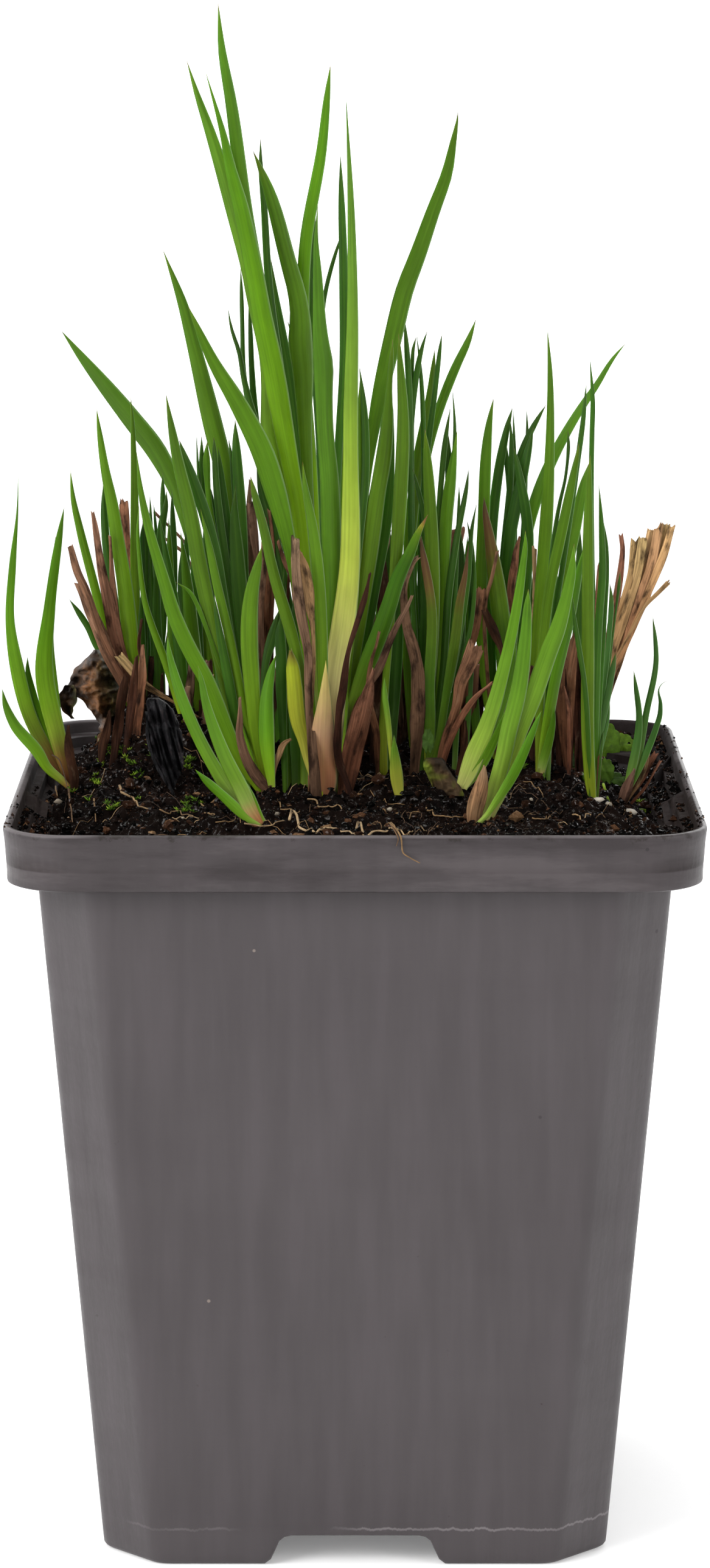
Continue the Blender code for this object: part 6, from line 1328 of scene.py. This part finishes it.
def dryLeafMaterial():
    # Dead leaf: papery, matt, fibres 0.2 to 0.5 mm apart standing out, dark rot stains and spots
    material, tree = newMaterial("dry_dead_leaf", 0.85, 0.08)
    place = addNode(tree, "Attribute", {"attribute_name": "bladePlace"}, out="Vector")
    color = addNode(tree, "Attribute", {"attribute_name": "bladeColor"}, out="Color")
    fibrePlace = addNode(tree, "Mapping", {"Scale": (3.0, 0.08, 0.0), "Vector": place})
    fibres = addNode(tree, "TexNoise", {"Scale": 1.5, "Detail": 4.0, "Roughness": 0.65, "Vector": fibrePlace})
    stainPlace = addNode(tree, "Mapping", {"Scale": (0.7, 0.22, 0.0), "Vector": place})
    stains = addNode(tree, "TexNoise", {"Scale": 1.0, "Detail": 5.0, "Roughness": 0.6, "Vector": stainPlace})
    stripe = addNode(tree, "ValToRGB", {"stops": [(0.30, 0.32), (0.47, 0.85), (0.70, 1.45)], "Fac": fibres})
    base = addNode(tree, "Mix", {"blend_type": "MULTIPLY", 0: 0.9, 6: color, 7: stripe})
    stain = addNode(tree, "ValToRGB", {"stops": [(0.50, 0.0), (0.64, 0.85)], "Fac": stains})
    base = addNode(tree, "Mix", {0: stain, 6: base, 7: "24150E"})
    pale = addNode(tree, "ValToRGB", {"stops": [(0.28, 0.35), (0.40, 0.0)], "Fac": stains})
    base = addNode(tree, "Mix", {0: pale, 6: base, 7: "B89878"})
    return finishMaterial(material, {"Base Color": base}, fibres, 0.8, 0.0002)


livingLeaf = leafMaterial()
dryLeaf = dryLeafMaterial()

# Old leaf bases: torn brown strips that stand packed behind the fans. Each patch: left and right column, row
# that they reach, depth of their feet, how many, and their looks
oldBases = [
    ((238, 300), 1120, 8.0, 9, ("dryDark", "dryBrown")),
    ((300, 372), 1096, 3.0, 11, ("dryDark", "dryPurple")),
    ((372, 452), 1075, 1.0, 12, ("dryDark", "dryPurple", "dryBrown")),
    ((440, 520), 1095, 0.0, 12, ("dryDark", "shade")),
    ((500, 610), 1100, -2.0, 12, ("dryDark", "dryBrown")),
    ((590, 700), 1080, 0.0, 14, ("dryDark", "dryPurple")),
    ((680, 790), 1085, 1.5, 14, ("dryDark", "dryBrown", "dryPurple")),
    ((770, 880), 1095, 3.0, 13, ("dryDark", "dryPurple")),
    ((870, 968), 1085, -4.0, 12, ("dryBrown", "dryDark")),
    ((440, 500), 1180, -3.0, 6, ("dryDark", "dryBrown")),
    ((215, 262), 1150, 6.5, 6, ("dryDark",)),
    ((178, 238), 1104, 8.5, 8, ("dryDark",)),
]
baseRow = 1250
rng = np.random.default_rng(77)
for (left, right), top, depth, count, baseLooks in oldBases:
    patch = "bases%d" % left
    shoots[patch] = (11.0 + depth, 0.03)
    for number in range(count):
        column = rng.uniform(left, right)
        reach = top + rng.uniform(-25, 55)
        tip = column + rng.normal(0, 9)
        width = rng.uniform(7, 16)
        route = [(tip, reach, width * rng.uniform(0.3, 0.9)),
                 (tip * 0.7 + column * 0.3, reach * 0.7 + baseRow * 0.3, width),
                 (column, reach * 0.3 + baseRow * 0.7, width * 1.05),
                 (column + rng.normal(0, 3), baseRow + 12, width * 0.9)]
        blades.append(("old_leaf_bases", patch, rng.uniform(-3, 3), rng.uniform(-35, 35),
                       baseLooks[rng.integers(len(baseLooks))], np.array(route)))


def makeBlades():
    # One piece for each name: its blades joined, replacing the CAD node of that name
    rng = np.random.default_rng(leaf["seed"])
    fans = {}
    for name, shoot, rank, turn, look, points in blades:
        fans.setdefault(name, []).append((shoot, rank, turn, look, points))
    for name, members in fans.items():
        fanRank = sum(member[1] for member in members) / len(members)
        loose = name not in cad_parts
        for kind, material, slotName in (("living", livingLeaf, "green_leaf"), ("dry", dryLeaf, "dry_leaf")):
            parts = [bladePart(*member, member[1] * 0.3 if loose else fanRank, rng) for member in members
                     if (member[3] in dryLooks) == (kind == "dry")]
            if parts:
                mixed = len({member[3] in dryLooks for member in members}) == 2
                title = name + ("_dry" if mixed and kind == "dry" else "")
                replaced = [name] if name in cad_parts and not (mixed and kind == "dry") else []
                makePiece("leaf_" + title, joinParts(parts), material, replaced)
    return len(fans)


print("leaves made:", makeBlades(), "pieces")


# Small things on the soil, placed by the photograph's pixels where their rays meet the soil
small = {
    "curlDepth": (14.5, 0.05),      # depth of the curled leaf at the soil row, and lean for each mm
    "barkDepth": -5.5,
    "barkThickness": 0.9,
    "stumpDepth": -9.6,
    "soilDepths": (-43.4, 41.0),    # y of the soil's front and back edge
    "fibres": 120,
    "fibreRadius": (0.03, 0.075),
    "fibreLength": (2.5, 13.0),
    "fibreSteps": 14,
    "sprigReach": (0.35, 0.85),     # mm that a moss sprig's tips stand out from its foot, and rise
    "sprigRise": (0.2, 0.8),
    "seed": 5,
}


def soilFromPhoto(columns, rows):
    # Bisection on depth: the ray falls as it goes back, so the soil is met where ray height = relief
    columns, rows = np.asarray(columns, float), np.asarray(rows, float)
    near, far = (np.full(columns.shape, depth) for depth in small["soilDepths"])
    for step in range(26):
        middle = (near + far) / 2
        place = spaceFromPhoto(columns, rows, middle)[0]
        above = place[..., 2] > soilRelief(place[..., 0], place[..., 1])
        near, far = np.where(above, middle, near), np.where(above, far, middle)
    return spaceFromPhoto(columns, rows, (near + far) / 2)


def tonedTube(path, radius, tone, around=6, squash=1.0):
    points, quads, triangles = roundTube(path, radius, around, squash)
    return points, quads, triangles, {"tone": np.full(len(points), float(tone))}


def toneMaterial(name, stops, roughness, specular, scale, strength):
    # Each body's own tone along the colour stops, times a fine grain
    material, tree = newMaterial(name, roughness, specular)
    tone = addNode(tree, "Attribute", {"attribute_name": "tone"}, out="Fac")
    place = addNode(tree, "TexCoord", {}, out="Object")
    fine = addNode(tree, "TexNoise", {"Scale": scale, "Detail": 4.0, "Roughness": 0.6, "Vector": place})
    each = addNode(tree, "ValToRGB", {"stops": stops, "Fac": tone})
    grain = addNode(tree, "ValToRGB", {"stops": [(0.3, 0.5), (0.7, 1.45)], "Fac": fine})
    color = addNode(tree, "Mix", {"blend_type": "MULTIPLY", 0: 0.9, 6: each, 7: grain})
    return finishMaterial(material, {"Base Color": color}, fine, strength, 0.0002)


# Dry root and fibre: tan outer skin, 0.1 to 0.5 mm thick
rootMaterial = toneMaterial("dry_root_fibre", [(0, "33251A"), (0.3, "644A34"), (0.6, "96764F"),
                                               (1, "C6A880")],
                            0.75, 0.2, 1500.0, 0.5)
# Moss and young weeds: soft matt green
mossMaterial = toneMaterial("moss_and_weeds", [(0, "1C2E0C"), (0.35, "35520E"), (0.7, "5E8414"),
                                               (1, "8CA828")],
                            0.7, 0.15, 900.0, 0.5)
# Stones and seeds: pale grit
stoneMaterial = toneMaterial("grit_and_seeds", [(0, "6A5C50"), (0.5, "B0A490"), (1, "E0D6C6")], 0.7, 0.25,
                             700.0, 0.4)

rng = np.random.default_rng(small["seed"])

# Roots that lie on the soil: points (column, row), radius in mm and tone
lyingRoots = [
    ([(112, 1302), (114, 1318), (117, 1340), (119, 1362)], 0.14, 0.35),
    ([(91, 1300), (93, 1310), (95, 1320)], 0.12, 0.6),
    ([(196, 1300), (209, 1314), (222, 1325), (243, 1338)], 0.17, 0.75),
    ([(154, 1320), (156, 1340), (157, 1358)], 0.12, 0.5),
    ([(475, 1351), (488, 1357), (502, 1367), (535, 1372), (566, 1373), (583, 1375)], 0.17, 1.0),
    ([(583, 1375), (610, 1374), (636, 1371), (668, 1373), (701, 1370)], 0.15, 0.9),
    ([(401, 1358), (414, 1363), (427, 1366), (447, 1361), (467, 1354)], 0.12, 0.75),
    ([(330, 1330), (352, 1350), (371, 1356), (395, 1352)], 0.10, 0.6),
    ([(505, 1318), (528, 1330), (552, 1334), (571, 1345)], 0.13, 0.7),
    ([(620, 1330), (640, 1345), (665, 1348), (690, 1340)], 0.10, 0.55),
    ([(455, 1325), (470, 1338), (492, 1340)], 0.10, 0.65),
    ([(700, 1335), (722, 1347), (748, 1349), (768, 1343)], 0.11, 0.6),
    ([(868, 1345), (884, 1352), (905, 1349)], 0.10, 0.6),
    ([(940, 1345), (960, 1352), (985, 1350), (1003, 1356)], 0.11, 0.7),
    ([(262, 1335), (280, 1344), (301, 1341), (318, 1349)], 0.10, 0.5),
]
parts = []
for route, radius, tone in lyingRoots:
    line = smoothThrough(route, 26)
    place = soilFromPhoto(line[:, 0], line[:, 1])[0]
    place[:, 2] = np.convolve(np.pad(place[:, 2], 6, mode="edge"), np.ones(13) / 13,
                              mode="valid") + radius + 0.45
    parts.append(tonedTube(place, radius * (1.05 - 0.5 * np.linspace(0, 1, 26)), tone))
# Two root ends hang over the front of the rim, and one from the far left fan: column, row and chosen depth
hangingRoots = [
    [(640, 1352, -43.2), (652, 1364, -44.3), (658, 1374, -45.15), (660, 1388, -45.3), (662, 1401, -45.3),
     (673, 1409, -45.35), (690, 1418, -45.3)],
    [(640, 1352, -43.2), (650, 1368, -44.6), (654, 1378, -45.25), (651, 1390, -45.35)],
    [(85, 1240, -3.4), (94, 1245, -4.0), (102, 1262, -4.8), (107, 1280, -5.6), (112, 1302, -7.0)],
]
for number, route in enumerate(hangingRoots):
    line = smoothThrough(route, 24)
    place = spaceFromPhoto(line[:, 0], line[:, 1], line[:, 2])[0]
    parts.append(tonedTube(place, (0.13 - 0.02 * number) * (1.1 - 0.6 * np.linspace(0, 1, 24)),
                           0.55 - 0.2 * number))
# Loose hair fibres: from a random place, heading turned by a slow random walk
low, high = small["fibreRadius"]
for number in range(small["fibres"]):
    x, y = rng.uniform(-38, 38), rng.uniform(-42.5, 38)
    if not insidePot(x, y, 2.0) and not (y < -39 and abs(x) < 35):
        continue
    steps, length = small["fibreSteps"], rng.uniform(*small["fibreLength"])
    heading = rng.uniform(0, 2 * np.pi) + np.cumsum(rng.normal(0, 0.28, steps))
    xs = np.clip(x + np.cumsum(np.cos(heading)) * length / steps, -38.5, 38.5)
    ys = np.clip(y + np.cumsum(np.sin(heading)) * length / steps, -43.0, 38.5)
    radius = rng.uniform(low, high)
    zs = soilRelief(xs, ys) + radius + rng.uniform(0.0, 0.5) * np.sin(np.linspace(0, np.pi, steps)) + 0.1
    parts.append(tonedTube(np.column_stack([xs, ys, zs]), radius, rng.uniform(0, 1) ** 1.6, 4))
makePiece("soil_roots", joinParts(parts), rootMaterial)


def sheetPart(outline, depths, thickness, bulge, seed, rough, folds, groove=0.0, down=84, acrossCount=36):
    # Sheet between a left and a right edge, rows from top to bottom: column = left + (right - left) * u,
    # depth = given depth + bulge * cos + random folds + lengthwise grooves; its back lies a thickness behind
    rows = smoothThrough(outline, down)
    ragged = rough * np.stack([valueField(rows[:, 0], 0, 7.0, seed), valueField(rows[:, 0], 50, 7.0, seed)],
                              axis=-1)
    u = np.linspace(0, 1, acrossCount)
    left, right = rows[:, 1] + ragged[:, 0], rows[:, 2] + ragged[:, 1]
    columns = left[:, None] + (right - left)[:, None] * u
    line = np.broadcast_to(rows[:, :1], columns.shape)
    base = np.interp(rows[:, 0], *zip(*depths))[:, None]
    depth = base + bulge * (np.cos((u - 0.5) * np.pi) - 0.6) + \
        folds[0] * valueField(columns, line, 16.0, seed + 1) + \
        folds[1] * valueField(columns, line, 6.0, seed + 2) + \
        groove * valueField(columns - 0.28 * line, line * 0.06, 3.2, seed + 3)
    front = spaceFromPhoto(columns, line, depth)[0]
    back = front + [0.0, thickness, 0.0]
    grid = np.concatenate([front, back[:, ::-1]], axis=1)
    points, quads, triangles = closeRings(grid)
    tone = np.concatenate([np.broadcast_to(u, columns.shape), np.broadcast_to(u[::-1], columns.shape)],
                          axis=1)
    return points, quads, triangles, {"tone": np.concatenate([tone.ravel(), [0.5, 0.5]])}


def curledLeafMaterial():
    # Rotted leaf: leathery brown-black, olive and mossy to the right, rusty where it folds
    material, tree = newMaterial("rotted_curled_leaf", 0.6, 0.3)
    tone = addNode(tree, "Attribute", {"attribute_name": "tone"}, out="Fac")
    place = addNode(tree, "TexCoord", {}, out="Object")
    broad = addNode(tree, "TexNoise", {"Scale": 320.0, "Detail": 4.0, "Roughness": 0.6, "Vector": place})
    fine = addNode(tree, "TexNoise", {"Scale": 1500.0, "Detail": 4.0, "Roughness": 0.65, "Vector": place})
    dark = addNode(tree, "ValToRGB", {"stops": [(0.35, "24160C"), (0.50, "54381E"), (0.62, "925E30")],
                                      "Fac": broad})
    moss = addNode(tree, "ValToRGB", {"stops": [(0.38, "2A2A16"), (0.56, "4A5222"), (0.68, "6E7A34")],
                                      "Fac": fine})
    share = addNode(tree, "Math", {"operation": "MULTIPLY_ADD", 0: tone, 1: 0.9, 2: -0.10})
    share = addNode(tree, "Math", {"operation": "ADD", 0: share, 1: broad})
    share = addNode(tree, "MapRange", {0: share, 1: 0.85, 2: 1.15, 3: 0.0, 4: 0.6})
    color = addNode(tree, "Mix", {0: share, 6: dark, 7: moss})
    return finishMaterial(material, {"Base Color": color}, fine, 0.9, 0.0004)


# Outlines of the leaf and its hanging flap: row, left and right column
curlRows = [(1068, 152, 163), (1085, 138, 180), (1100, 122, 190), (1117, 114, 197), (1130, 108, 200),
            (1144, 122, 200), (1154, 138, 197), (1170, 148, 192), (1183, 158, 186), (1200, 164, 184),
            (1214, 168, 182)]
flapRows = [(1126, 106, 120), (1134, 100, 124), (1143, 96, 126), (1155, 96, 126), (1162, 98, 121),
            (1172, 105, 118), (1181, 116, 121)]
baseDepth, lean = small["curlDepth"]
curlDepths = [(1068, baseDepth + lean * 17), (1214, baseDepth)]
parts = [sheetPart(curlRows, curlDepths, 0.4, -2.2, 61, 3.0, (1.7, 0.8)),
         sheetPart(flapRows, curlDepths, 0.4, 1.2, 65, 2.4, (1.2, 0.6))]
makePiece("rotted_leaf", joinParts(parts), curledLeafMaterial(), ["curled_dead_leaf"])


def barkMaterial():
    # Charred bark chip: blue-black, with fine lengthwise grooves about 0.4 mm apart and a dull sheen
    material, tree = newMaterial("charred_bark", 0.66, 0.20)
    place = addNode(tree, "TexCoord", {}, out="Object")
    grain = addNode(tree, "Mapping", {"Rotation": (0.0, -0.22, 0.0), "Scale": (1.0, 1.0, 0.10),
                                      "Vector": place})
    lines = addNode(tree, "TexNoise", {"Scale": 1500.0, "Detail": 4.0, "Roughness": 0.6, "Vector": grain})
    stops = [(0.32, "050506"), (0.50, "131216"), (0.62, "2C2528"), (0.76, "4A4038")]
    color = addNode(tree, "ValToRGB", {"stops": stops, "Fac": lines})
    return finishMaterial(material, {"Base Color": color}, lines, 1.0, 0.0005)


# Outlines of the chip and of a sliver beside it: row, left and right column
barkRows = [(1148, 241, 259), (1156, 240, 272), (1168, 240, 283), (1182, 240, 289), (1205, 241, 297),
            (1228, 243, 300), (1252, 252, 301), (1270, 263, 297), (1284, 273, 290), (1296, 279, 286)]
sliverRows = [(1170, 238, 242), (1190, 239, 243), (1210, 239, 244), (1235, 245, 250), (1262, 256, 261),
              (1290, 273, 279), (1306, 283, 287)]
barkDepth = small["barkDepth"]
barkDepths = [(1150, barkDepth + 0.2), (1306, barkDepth)]
sliverDepths = [(1150, barkDepth - 0.9), (1306, barkDepth - 1.6)]
parts = [sheetPart(barkRows, barkDepths, small["barkThickness"], 0.0, 71, 1.6, (0.4, 0.15), 1.2),
         sheetPart(sliverRows, sliverDepths, 0.6, 0.0, 75, 0.6, (0.3, 0.1), 0.3)]
makePiece("charred_bark_chip", joinParts(parts), barkMaterial(), ["bark_chip"])

# Mossy old stem: a thick leaning slab with a cut top; its outline by pixel rows, moss mostly along its left
stumpRows = [(1251, 700, 727), (1256, 696, 732), (1266, 698, 735), (1280, 704, 745), (1294, 710, 757),
             (1308, 715, 764)]
slab = sheetPart(stumpRows, [(1251, small["stumpDepth"] + 1.2), (1308, small["stumpDepth"])], 3.0, -1.4, 83,
                 0.8,
                 (0.5, 0.3), 0.2)
points = slab[0]
mossy = 0.30 + 0.45 * valueField(points[:, 0], points[:, 2], 1.1, 85) + 0.35 * (1 - slab[3]["tone"]) ** 3
stump = (*slab[:3], {"tone": np.clip(mossy, 0, 1)})
stumpMaterial = toneMaterial("mossy_old_stem", [(0, "2C2013"), (0.45, "56422A"), (0.65, "5E5C20"),
                                                (1, "82982E")],
                             0.85, 0.15, 800.0, 0.9)
makePiece("mossy_old_stem", stump, stumpMaterial, ["mossy_stump"])


def lobedLeaf(column, row, width, height, lobes, depthAhead, tone, seed, tilt=0.5, depth=None):
    # Small broad leaf: radius = 0.86 + 0.14 |sin(lobes * a / 2)| - notch at its stalk, domed by
    # 0.22 (1 - r^2) and a random field, leaning back by tilt; a second face lies 0.25 mm behind
    centre, scale = soilFromPhoto(np.array([column]), np.array([row + height / 2]))
    centre, scale = centre[0] + [0.0, -depthAhead, height * scale[0] * 0.45], scale[0]
    if depth is not None:
        centre, scale = spaceFromPhoto(column, row, depth)
    angle = 2 * np.pi * np.arange(56) / 56
    notch = 0.30 * np.exp(-((angle - 1.5 * np.pi) / 0.25) ** 2)
    edge = 0.86 + 0.14 * np.abs(np.sin(lobes * angle / 2)) - notch
    radii = np.array([0.04, 0.3, 0.55, 0.8, 0.95, 1.0])
    r = np.concatenate([radii, radii[::-1]])[:, None] * edge
    dome = 0.22 * (1 - r ** 2) + 0.20 * valueField(3 * r * np.cos(angle), 3 * r * np.sin(angle), 1.0, seed)
    dome = dome * width * scale * 0.5 - np.repeat([0.0, 0.25], 6)[:, None]
    x, up = r * np.cos(angle) * width * scale / 2, r * np.sin(angle) * height * scale / 2
    grid = np.stack([centre[0] + x, centre[1] - dome * math.cos(tilt) + up * math.sin(tilt),
                     centre[2] + up * math.cos(tilt) + dome * math.sin(tilt)], axis=-1)
    points, quads, triangles = closeRings(grid)
    return points, quads, triangles, {"tone": np.full(len(points), tone)}


# Weeds: column, row, width and height in pixels, lobes, mm in front of the soil there, tone, seed, and lean
weedParts = [
    lobedLeaf(703.0, 1218.0, 20, 44, 8, 3.0, 0.36, 91, 0.3, -7.0),
    lobedLeaf(998, 1212, 42, 66, 7, 2.4, 0.62, 92, 0.35),
    lobedLeaf(1021, 1222, 46, 52, 9, 1.4, 0.74, 96, 0.6),
    lobedLeaf(1010, 1238, 42, 28, 5, 0.6, 0.45, 97, 0.9),
    lobedLeaf(1005, 1277, 44, 30, 11, 0.8, 0.36, 94, 0.7),
    lobedLeaf(994, 1262, 30, 46, 9, 1.6, 0.52, 98, 0.3),
    lobedLeaf(938, 1240, 24, 34, 5, 2.5, 0.16, 93, 0.4),
    lobedLeaf(918, 1233, 20, 12, 5, 2.6, 0.20, 99, 0.8),
    lobedLeaf(1050, 1330, 24, 13, 5, 0.8, 0.85, 95, 0.8),
]
# Their stalks: points (column, row), radius in mm and tone
weedStalks = [
    ([(938, 1252), (948, 1266), (961, 1286)], 0.34, 0.5),
    ([(704, 1268), (706, 1275), (709, 1282)], 0.3, 0.2),
    ([(991, 1293), (996, 1308), (1000, 1324)], 0.2, 1.0),
]
for route, radius, tone in weedStalks:
    line = smoothThrough(route, 16)
    place = soilFromPhoto(line[:, 0], line[:, 1])[0]
    place[:, 2] += 0.4
    weedParts.append(tonedTube(place, radius, tone))

# Moss: sprigs of five to nine tiny pointed leaves round one foot. Clusters: column, row, spread and sprigs
mossPatches = [(165, 1222, 5, 5), (178, 1241, 7, 7), (204, 1236, 6, 6), (214, 1258, 7, 5), (228, 1276, 6, 7),
               (158, 1288, 6, 7), (150, 1312, 6, 5), (176, 1327, 5, 3), (191, 1329, 5, 5), (312, 1250, 6, 6),
               (304, 1262, 5, 4), (318, 1322, 9, 10), (302, 1335, 6, 5), (247, 1238, 8, 4), (495, 1219, 5, 5),
               (985, 1262, 6, 5), (712, 1262, 5, 3), (860, 1262, 5, 3), (1075, 1335, 8, 6),
               (1050, 1322, 5, 4), (112, 1300, 5, 3), (232, 1317, 5, 3), (212, 1128, 8, 6),
               (262, 1205, 5, 4), (460, 1120, 14, 16), (458, 1150, 14, 14), (160, 1258, 5, 3)]
feet, tips, tones = [], [], []
for column, row, spread, count in mossPatches:
    place, scale = soilFromPhoto(column + rng.normal(0, spread, count),
                                 row + rng.normal(0, spread * 0.6, count))
    for foot in place:
        leaves = rng.integers(5, 10)
        heading = rng.uniform(0, 2 * np.pi, leaves)
        reach = rng.uniform(*small["sprigReach"], leaves)
        rise = rng.uniform(*small["sprigRise"], leaves)
        feet.append(np.repeat(foot[None], leaves, axis=0) + [0.0, 0.0, 0.15])
        tips.append(feet[-1] + np.column_stack([np.cos(heading) * reach, np.sin(heading) * reach, rise]))
        tones.append(np.full(leaves, rng.uniform(0.45, 1.0)))
feet, tips, tones = np.concatenate(feet), np.concatenate(tips), np.concatenate(tones)
# Each tiny leaf is a spindle: foot, a ring of three round its middle, tip
around = 2 * np.pi * np.arange(3) / 3
ring = np.stack([np.cos(around), np.sin(around), 0 * around], axis=-1) * 0.15
middle = (feet * 0.5 + tips * 0.5)[:, None, :] + ring
points = np.concatenate([feet[:, None], middle, tips[:, None]], axis=1).reshape(-1, 3)
spindle = np.array([(0, 2, 1), (0, 3, 2), (0, 1, 3), (4, 1, 2), (4, 2, 3), (4, 3, 1)])
triangles = (spindle[None] + 5 * np.arange(len(feet))[:, None, None]).reshape(-1, 3)
mossPart = (points, np.zeros((0, 4), int), triangles, {"tone": np.repeat(tones, 5)})
makePiece("moss_and_weeds", joinParts(weedParts + [mossPart]), mossMaterial)

# Stones and a seed: column, row and width in pixels, and tone
stones = [(95, 1325, 14, 0.2), (981, 1323, 17, 0.9), (1037, 1343, 19, 0.95), (1000, 1330, 14, 0.55),
          (640, 1338, 9, 0.5), (455, 1345, 8, 0.4), (872, 1322, 9, 0.35), (300, 1352, 8, 0.45)]
columns, rows, widths, tones = (np.array(v, float) for v in zip(*stones))
place, scale = soilFromPhoto(columns, rows)
points, quads, triangles, values = scatterLumps(place + [0.0, -0.4, 0.75], widths * scale * 0.5, rng, 0.22,
                                                0.7)
makePiece("grit", (points, quads, triangles, {"tone": np.repeat(tones, 18)}), stoneMaterial)

# Moulded lugs on the ledges inside the rim, two at each side. Each place: outer and inner end of the top edge
# (x, y), and how far the foot comes forward
lug = {
    "places": [((43.9, -8.6), (40.6, -12.2), 13.0), ((43.9, 19.5), (41.0, 9.5), 2.0)],
    "top": (99.2, 1.1),             # height at the outer end, and its fall to the inner end
    "notch": (0.62, 0.06, 0.45),    # where along the edge, its width along it, and depth in mm
    "foot": 96.0,
    "thickness": 0.6,
}


def lugPart(side, outer, inner, forward):
    # Sheet between a wavy top edge and its foot: from (x, y, top - fall * u - notch) to (x, y - forward, foot)
    u, v = np.meshgrid(np.linspace(0, 1, 30), np.linspace(0, 1, 12))
    x = side * (outer[0] + (inner[0] - outer[0]) * u)
    y = outer[1] + (inner[1] - outer[1]) * u - forward * v
    high, fall = lug["top"]
    at, wide, deep = lug["notch"]
    top = high - fall * u - deep * np.exp(-((u - at) / wide) ** 2) + 0.10 * valueField(u * 9, 0 * u, 2.0, 87)
    front = np.stack([x, y, top + (lug["foot"] - top) * v], axis=-1)
    back = front + [0.0, lug["thickness"], 0.0]
    points, quads, triangles = closeRings(np.concatenate([front, back[:, ::-1]], axis=1))
    if side < 0:
        quads, triangles = quads[:, ::-1], triangles[:, ::-1]
    return points, quads, triangles, {}


lugParts = [lugPart(side, *place) for side in (-1, 1) for place in lug["places"]]
makePiece("moulded_lugs", joinParts(lugParts), plastic)

# Crumbs lodged on the two ledges inside the rim, and a thin crust on its side edges. Each band is how far
# out it lies from the square of the rounded corners' centres, in mm
ledges = {
    "tries": 60000,
    "most": 4200,               # crumbs that are kept
    "square": 36.5,             # half width
    "lower": (3.6, 5.6),
    "upper": (6.0, 7.1),
    "edge": (7.4, 8.4),
    "heights": (96.35, 98.1, 99.9),
    "radius": (0.10, 0.45),     # the least, and how much more the largest has
}
tries = rng.uniform(-44.9, 44.9, (ledges["tries"], 2))
reach = np.linalg.norm(np.maximum(np.abs(tries) - ledges["square"], 0), axis=1)
bands = [ledges["lower"], ledges["upper"], ledges["edge"]]
lower, upper, edge = ((reach > start) & (reach < end) for start, end in bands)
thick = valueField(tries[:, 0], tries[:, 1], 7.0, 91) + rng.uniform(-0.5, 0.5, len(tries))
cleanCorner = (tries[:, 0] < -15) & (tries[:, 1] > 37)
onEdge = edge & (np.abs(tries[:, 0]) > 40.0)
keep = (tries[:, 1] > -42.0) & ~cleanCorner & ((lower | upper) & (thick > -0.12) | onEdge & (thick > 0.28))
tries, lower, edge = (values[keep][:ledges["most"]] for values in (tries, lower, edge))
radii = ledges["radius"][0] + ledges["radius"][1] * rng.uniform(0, 1, len(tries)) ** 3
radii = np.where(edge, radii * 0.5, radii)
lowest, middle, highest = ledges["heights"]
height = np.where(lower, lowest + rng.uniform(0, 0.9, len(tries)), np.where(edge, highest, middle))
ledgeCrumbs = scatterLumps(np.column_stack([tries, height + 0.4 * radii]), radii, rng, detail=0)
makePiece("ledge_crumbs", ledgeCrumbs, looseCrumb, smooth=False)
print("small things made")
